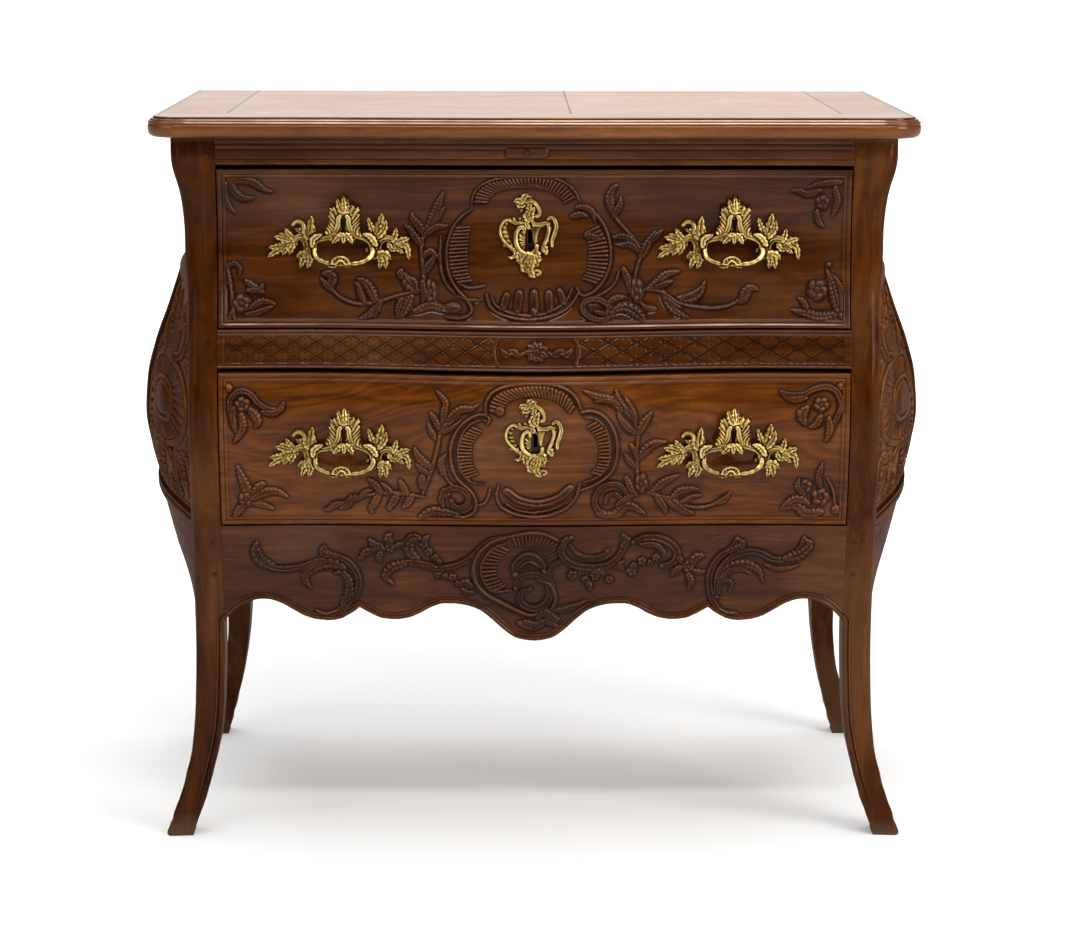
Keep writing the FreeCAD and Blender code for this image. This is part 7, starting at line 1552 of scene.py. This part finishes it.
for part in ("left", "front", "right"):
    P = np.stack([np.column_stack([around(part, d), np.full(len(around(part, d)), z)]) for d, z in lip])
    Q = np.stack([np.column_stack([around(part, d), np.full(len(around(part, d)), z)]) for d, z in lip_in])
    # the painted highlight varies along the front, fades at the corners and is left off the ends
    wave = np.interp(P[0, :, 0], np.linspace(-485, 485, 60), np.random.default_rng(5).uniform(0.78, 1.0, 60)) * np.clip((446 - np.abs(P[0, :, 0])) / 14, 0, 1)
    if part != "front":
        wave = wave * 0
    slab("top_lip_%s_moulding" % part, P, Q, M["lip_x" if part == "front" else "lip_y"], "carcase", np.repeat(painted_lip_shade[:, None], P.shape[1], 1), np.clip(painted_lip_highlight[:, None] * wave[None, :] * 1.15, 0, 1))


# bronze
def bronze_piece(name, key, body, node, cx, cz, half_w, lo, hi, step, mirror=1, extra=None, turn=0.0, grow=1.0, fat=1.0):
    c = Cast(cx - half_w, cx + half_w, cz + lo, cz + hi, step)
    for kind, pts, w, c0, c1, *rest in CASTINGS[key]:
        c.stroke(kind, pts, w * (fat if kind in ("arm", "rim", "rib", "leaf", "bow") else 1.0), c0, c1, cx, cz, mirror, turn=turn, grow=grow, **(rest[0] if rest else {}))
    if extra:
        extra(c)
    ok = (c.T > c.B + 0.35) & ~c.cut
    o = casting(name, c, c.T, np.maximum(c.B, -0.4), ok, lambda x, z: front_y(x, z) - GROUND, M["bronze"], body)
    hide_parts(node)
    return o


def feet(cx, cz):
    def add(c):
        for sx in (-1, 1):
            p = np.array([cx + sx * 37.5, cz + 1.0])
            win = c.window(p - 9, p + 9)
            d = np.hypot(c.U[win] - p[0], c.V[win] - p[1])
            c.add(win, 9 + 1.5 * np.sqrt(np.maximum(0, 1 - (d / 5.5) ** 2)), np.full_like(d, -0.4), d < 5.5)
        p = np.array([cx, cz + 46.0])
        win = c.window(p - 8, p + 8)
        d = np.hypot(c.U[win] - p[0], c.V[win] - p[1])
        c.add(win, 7 + 0 * d, np.full_like(d, -0.4), d < 4.0)
    return add


def web(cx, cz):
    """The low sheet of a keyhole plate, between its scrolls and round the keyhole."""
    def add(c):
        p = np.array([cx - 2.5, cz - 10.5])
        win = c.window(p - 18, p + 18)
        du, dv = c.U[win] - p[0], c.V[win] - p[1]
        ku, kv = c.U[win] - cx, c.V[win] - cz
        r = np.hypot(du / 12.5, dv / 16.5)
        slot = (np.hypot(ku, kv + 2.5) < 3.9) | ((np.abs(ku) < 2.2 - 0.09 * kv) & (kv < -2.5) & (kv > -18.0))
        top = 2.6 + 0.55 * np.cos(15 * np.arctan2(dv, du)) * np.clip(r * 1.4 - 0.2, 0, 1)
        c.add(win, top, np.full_like(top, -0.4), (r < 1) & ~slot)
    return add


for which, cz in (("upper", 771.0), ("lower", 508.0)):
    for side, cx in (("left", -246.0), ("right", 246.0)):
        bronze_piece("%s_handle_%s_casting" % (which, side), "handle", which + "_drawer", "%s_handle_%s" % (which, side), cx, cz, 93, -22, 71, 0.55, extra=feet(cx, cz), fat=1.12)
bronze_piece("upper_keyhole_casting", "plate", "upper_drawer", "upper_keyhole_plate", -6.0, 794.0, 48, -60, 54, 0.42, fat=1.5, extra=web(-6.0, 794.0))
bronze_piece("lower_keyhole_casting", "plate", "lower_drawer", "lower_keyhole_plate", 1.0, 543.0, 48, -60, 54, 0.42, turn=0.026, grow=0.98, fat=1.5, extra=web(1.0, 543.0))

# ---------------------------------------------------------------- floor, light and camera
bpy.ops.mesh.primitive_plane_add(size=80, location=(0, 0, -0.0005))
floor = bpy.context.object
floor.name = "floor"
mat, nt, bsdf = graph("floor_white")
fn = put(nt, "ShaderNodeTexNoise", {"Scale": 3.0, "Detail": 3.0}).outputs["Fac"]
nt.links.new(ramp(nt, fn, [(0.3, (0.80, 0.835, 0.89)), (0.7, (0.82, 0.855, 0.91))]), bsdf.inputs["Base Color"])
bsdf.inputs["Roughness"].default_value = 0.9
bsdf.inputs["Specular IOR Level"].default_value = 0.1
bsdf.inputs["Emission Color"].default_value = (1, 1, 1, 1)
co = put(nt, "ShaderNodeTexCoord").outputs["Object"]
# the floor glows to camera rays only, more the farther it lies from the chest, so it reads white far off; the weaker
# glow close in leaves the floor darker near the chest, adding painted shade to the real shadow
away = put(nt, "ShaderNodeVectorMath", {0: co}, operation="LENGTH").outputs["Value"]
glow = put(nt, "ShaderNodeMapRange", {"Value": away, "From Min": 0.75, "From Max": 2.6, "To Min": 0.205, "To Max": 0.85}).outputs[0]
nt.links.new(maths(nt, "MULTIPLY", glow, put(nt, "ShaderNodeLightPath").outputs["Is Camera Ray"]), bsdf.inputs["Emission Strength"])
floor.data.materials.append(mat)

world = bpy.data.worlds.new("studio")
bpy.context.scene.world = world
world.use_nodes = True
wt = world.node_tree
bg = wt.nodes["Background"]
gen = put(wt, "ShaderNodeTexCoord").outputs["Generated"]
sep = put(wt, "ShaderNodeSeparateXYZ", {"Vector": gen})
behind = put(wt, "ShaderNodeMapRange", {"Value": sep.outputs["Y"], "From Min": -0.25, "From Max": 0.45, "To Min": 0.05, "To Max": 1.0}).outputs[0]
aside = maths(wt, "ABSOLUTE", sep.outputs["X"])
card = put(wt, "ShaderNodeMapRange", {"Value": aside, "From Min": 0.22, "From Max": 0.48, "To Min": 1.0, "To Max": 0.13}).outputs[0]
behind = maths(wt, "MULTIPLY", behind, card)
seen = put(wt, "ShaderNodeLightPath").outputs["Is Camera Ray"]
strength = put(wt, "ShaderNodeMix", {"Factor": seen, "A": behind, "B": 1.5}, data_type="FLOAT").outputs["Result"]
wt.links.new(strength, bg.inputs["Strength"])
bg.inputs["Color"].default_value = (1.0, 0.955, 0.895, 1)


def area(name, loc, target, size, power, color=(1, 1, 1), shape="RECTANGLE"):
    l = bpy.data.lights.new(name, "AREA")
    l.shape = shape
    l.size, l.size_y = size
    l.energy = power
    l.color = color
    o = bpy.data.objects.new(name, l)
    bpy.context.scene.collection.objects.link(o)
    o.location = loc
    o.rotation_euler = (Vector(target) - Vector(loc)).to_track_quat("-Z", "Y").to_euler()
    return o


area("overhead", (0, 0.2, 3.4), (0, 0.1, 0), (4.2, 3.2), 55, (1, 0.955, 0.895))
area("key_right", (3.6, -3.0, 2.4), (0, 0, 0.5), (2.2, 2.6), 146, (1, 0.93, 0.84))
area("key_left", (-3.6, -3.2, 2.3), (0, 0, 0.5), (2.2, 2.6), 32, (1, 0.95, 0.88))
area("front_top", (0.1, -2.2, 3.2), (0, -0.2, 0.6), (3.0, 0.32), 50, (1, 0.95, 0.88))
sun = bpy.data.lights.new("sky", "SUN")
sun.energy = 1.2
sun.angle = 1.2
sun.color = (1.0, 0.97, 0.93)
so = bpy.data.objects.new("sky", sun)
bpy.context.scene.collection.objects.link(so)
so.rotation_euler = (-0.10, 0.06, 0)

cam = bpy.data.cameras.new("photo_camera")
cam.sensor_width = 36.0
cam.lens = 2903.94 / 1080 * 36
cam.clip_end = 100
yaw, pitch, roll = 0.0111, 0.1882, 0.0023
fw = Vector((math.sin(yaw) * math.cos(pitch), math.cos(yaw) * math.cos(pitch), -math.sin(pitch)))
rt = Vector((math.cos(yaw), -math.sin(yaw), 0))
up = rt.cross(fw)
R = rt * math.cos(roll) + up * math.sin(roll)
U = -rt * math.sin(roll) + up * math.cos(roll)
co = bpy.data.objects.new("photo_camera", cam)
bpy.context.scene.collection.objects.link(co)
co.matrix_world = Matrix(((R.x, U.x, -fw.x, -0.0332), (R.y, U.y, -fw.y, -3.8986), (R.z, U.z, -fw.z, 1.1828), (0, 0, 0, 1)))
bpy.context.scene.camera = co
bpy.context.scene.view_settings.view_transform = "Standard"
bpy.context.scene.view_settings.look = "None"

bpy.context.view_layer.update()
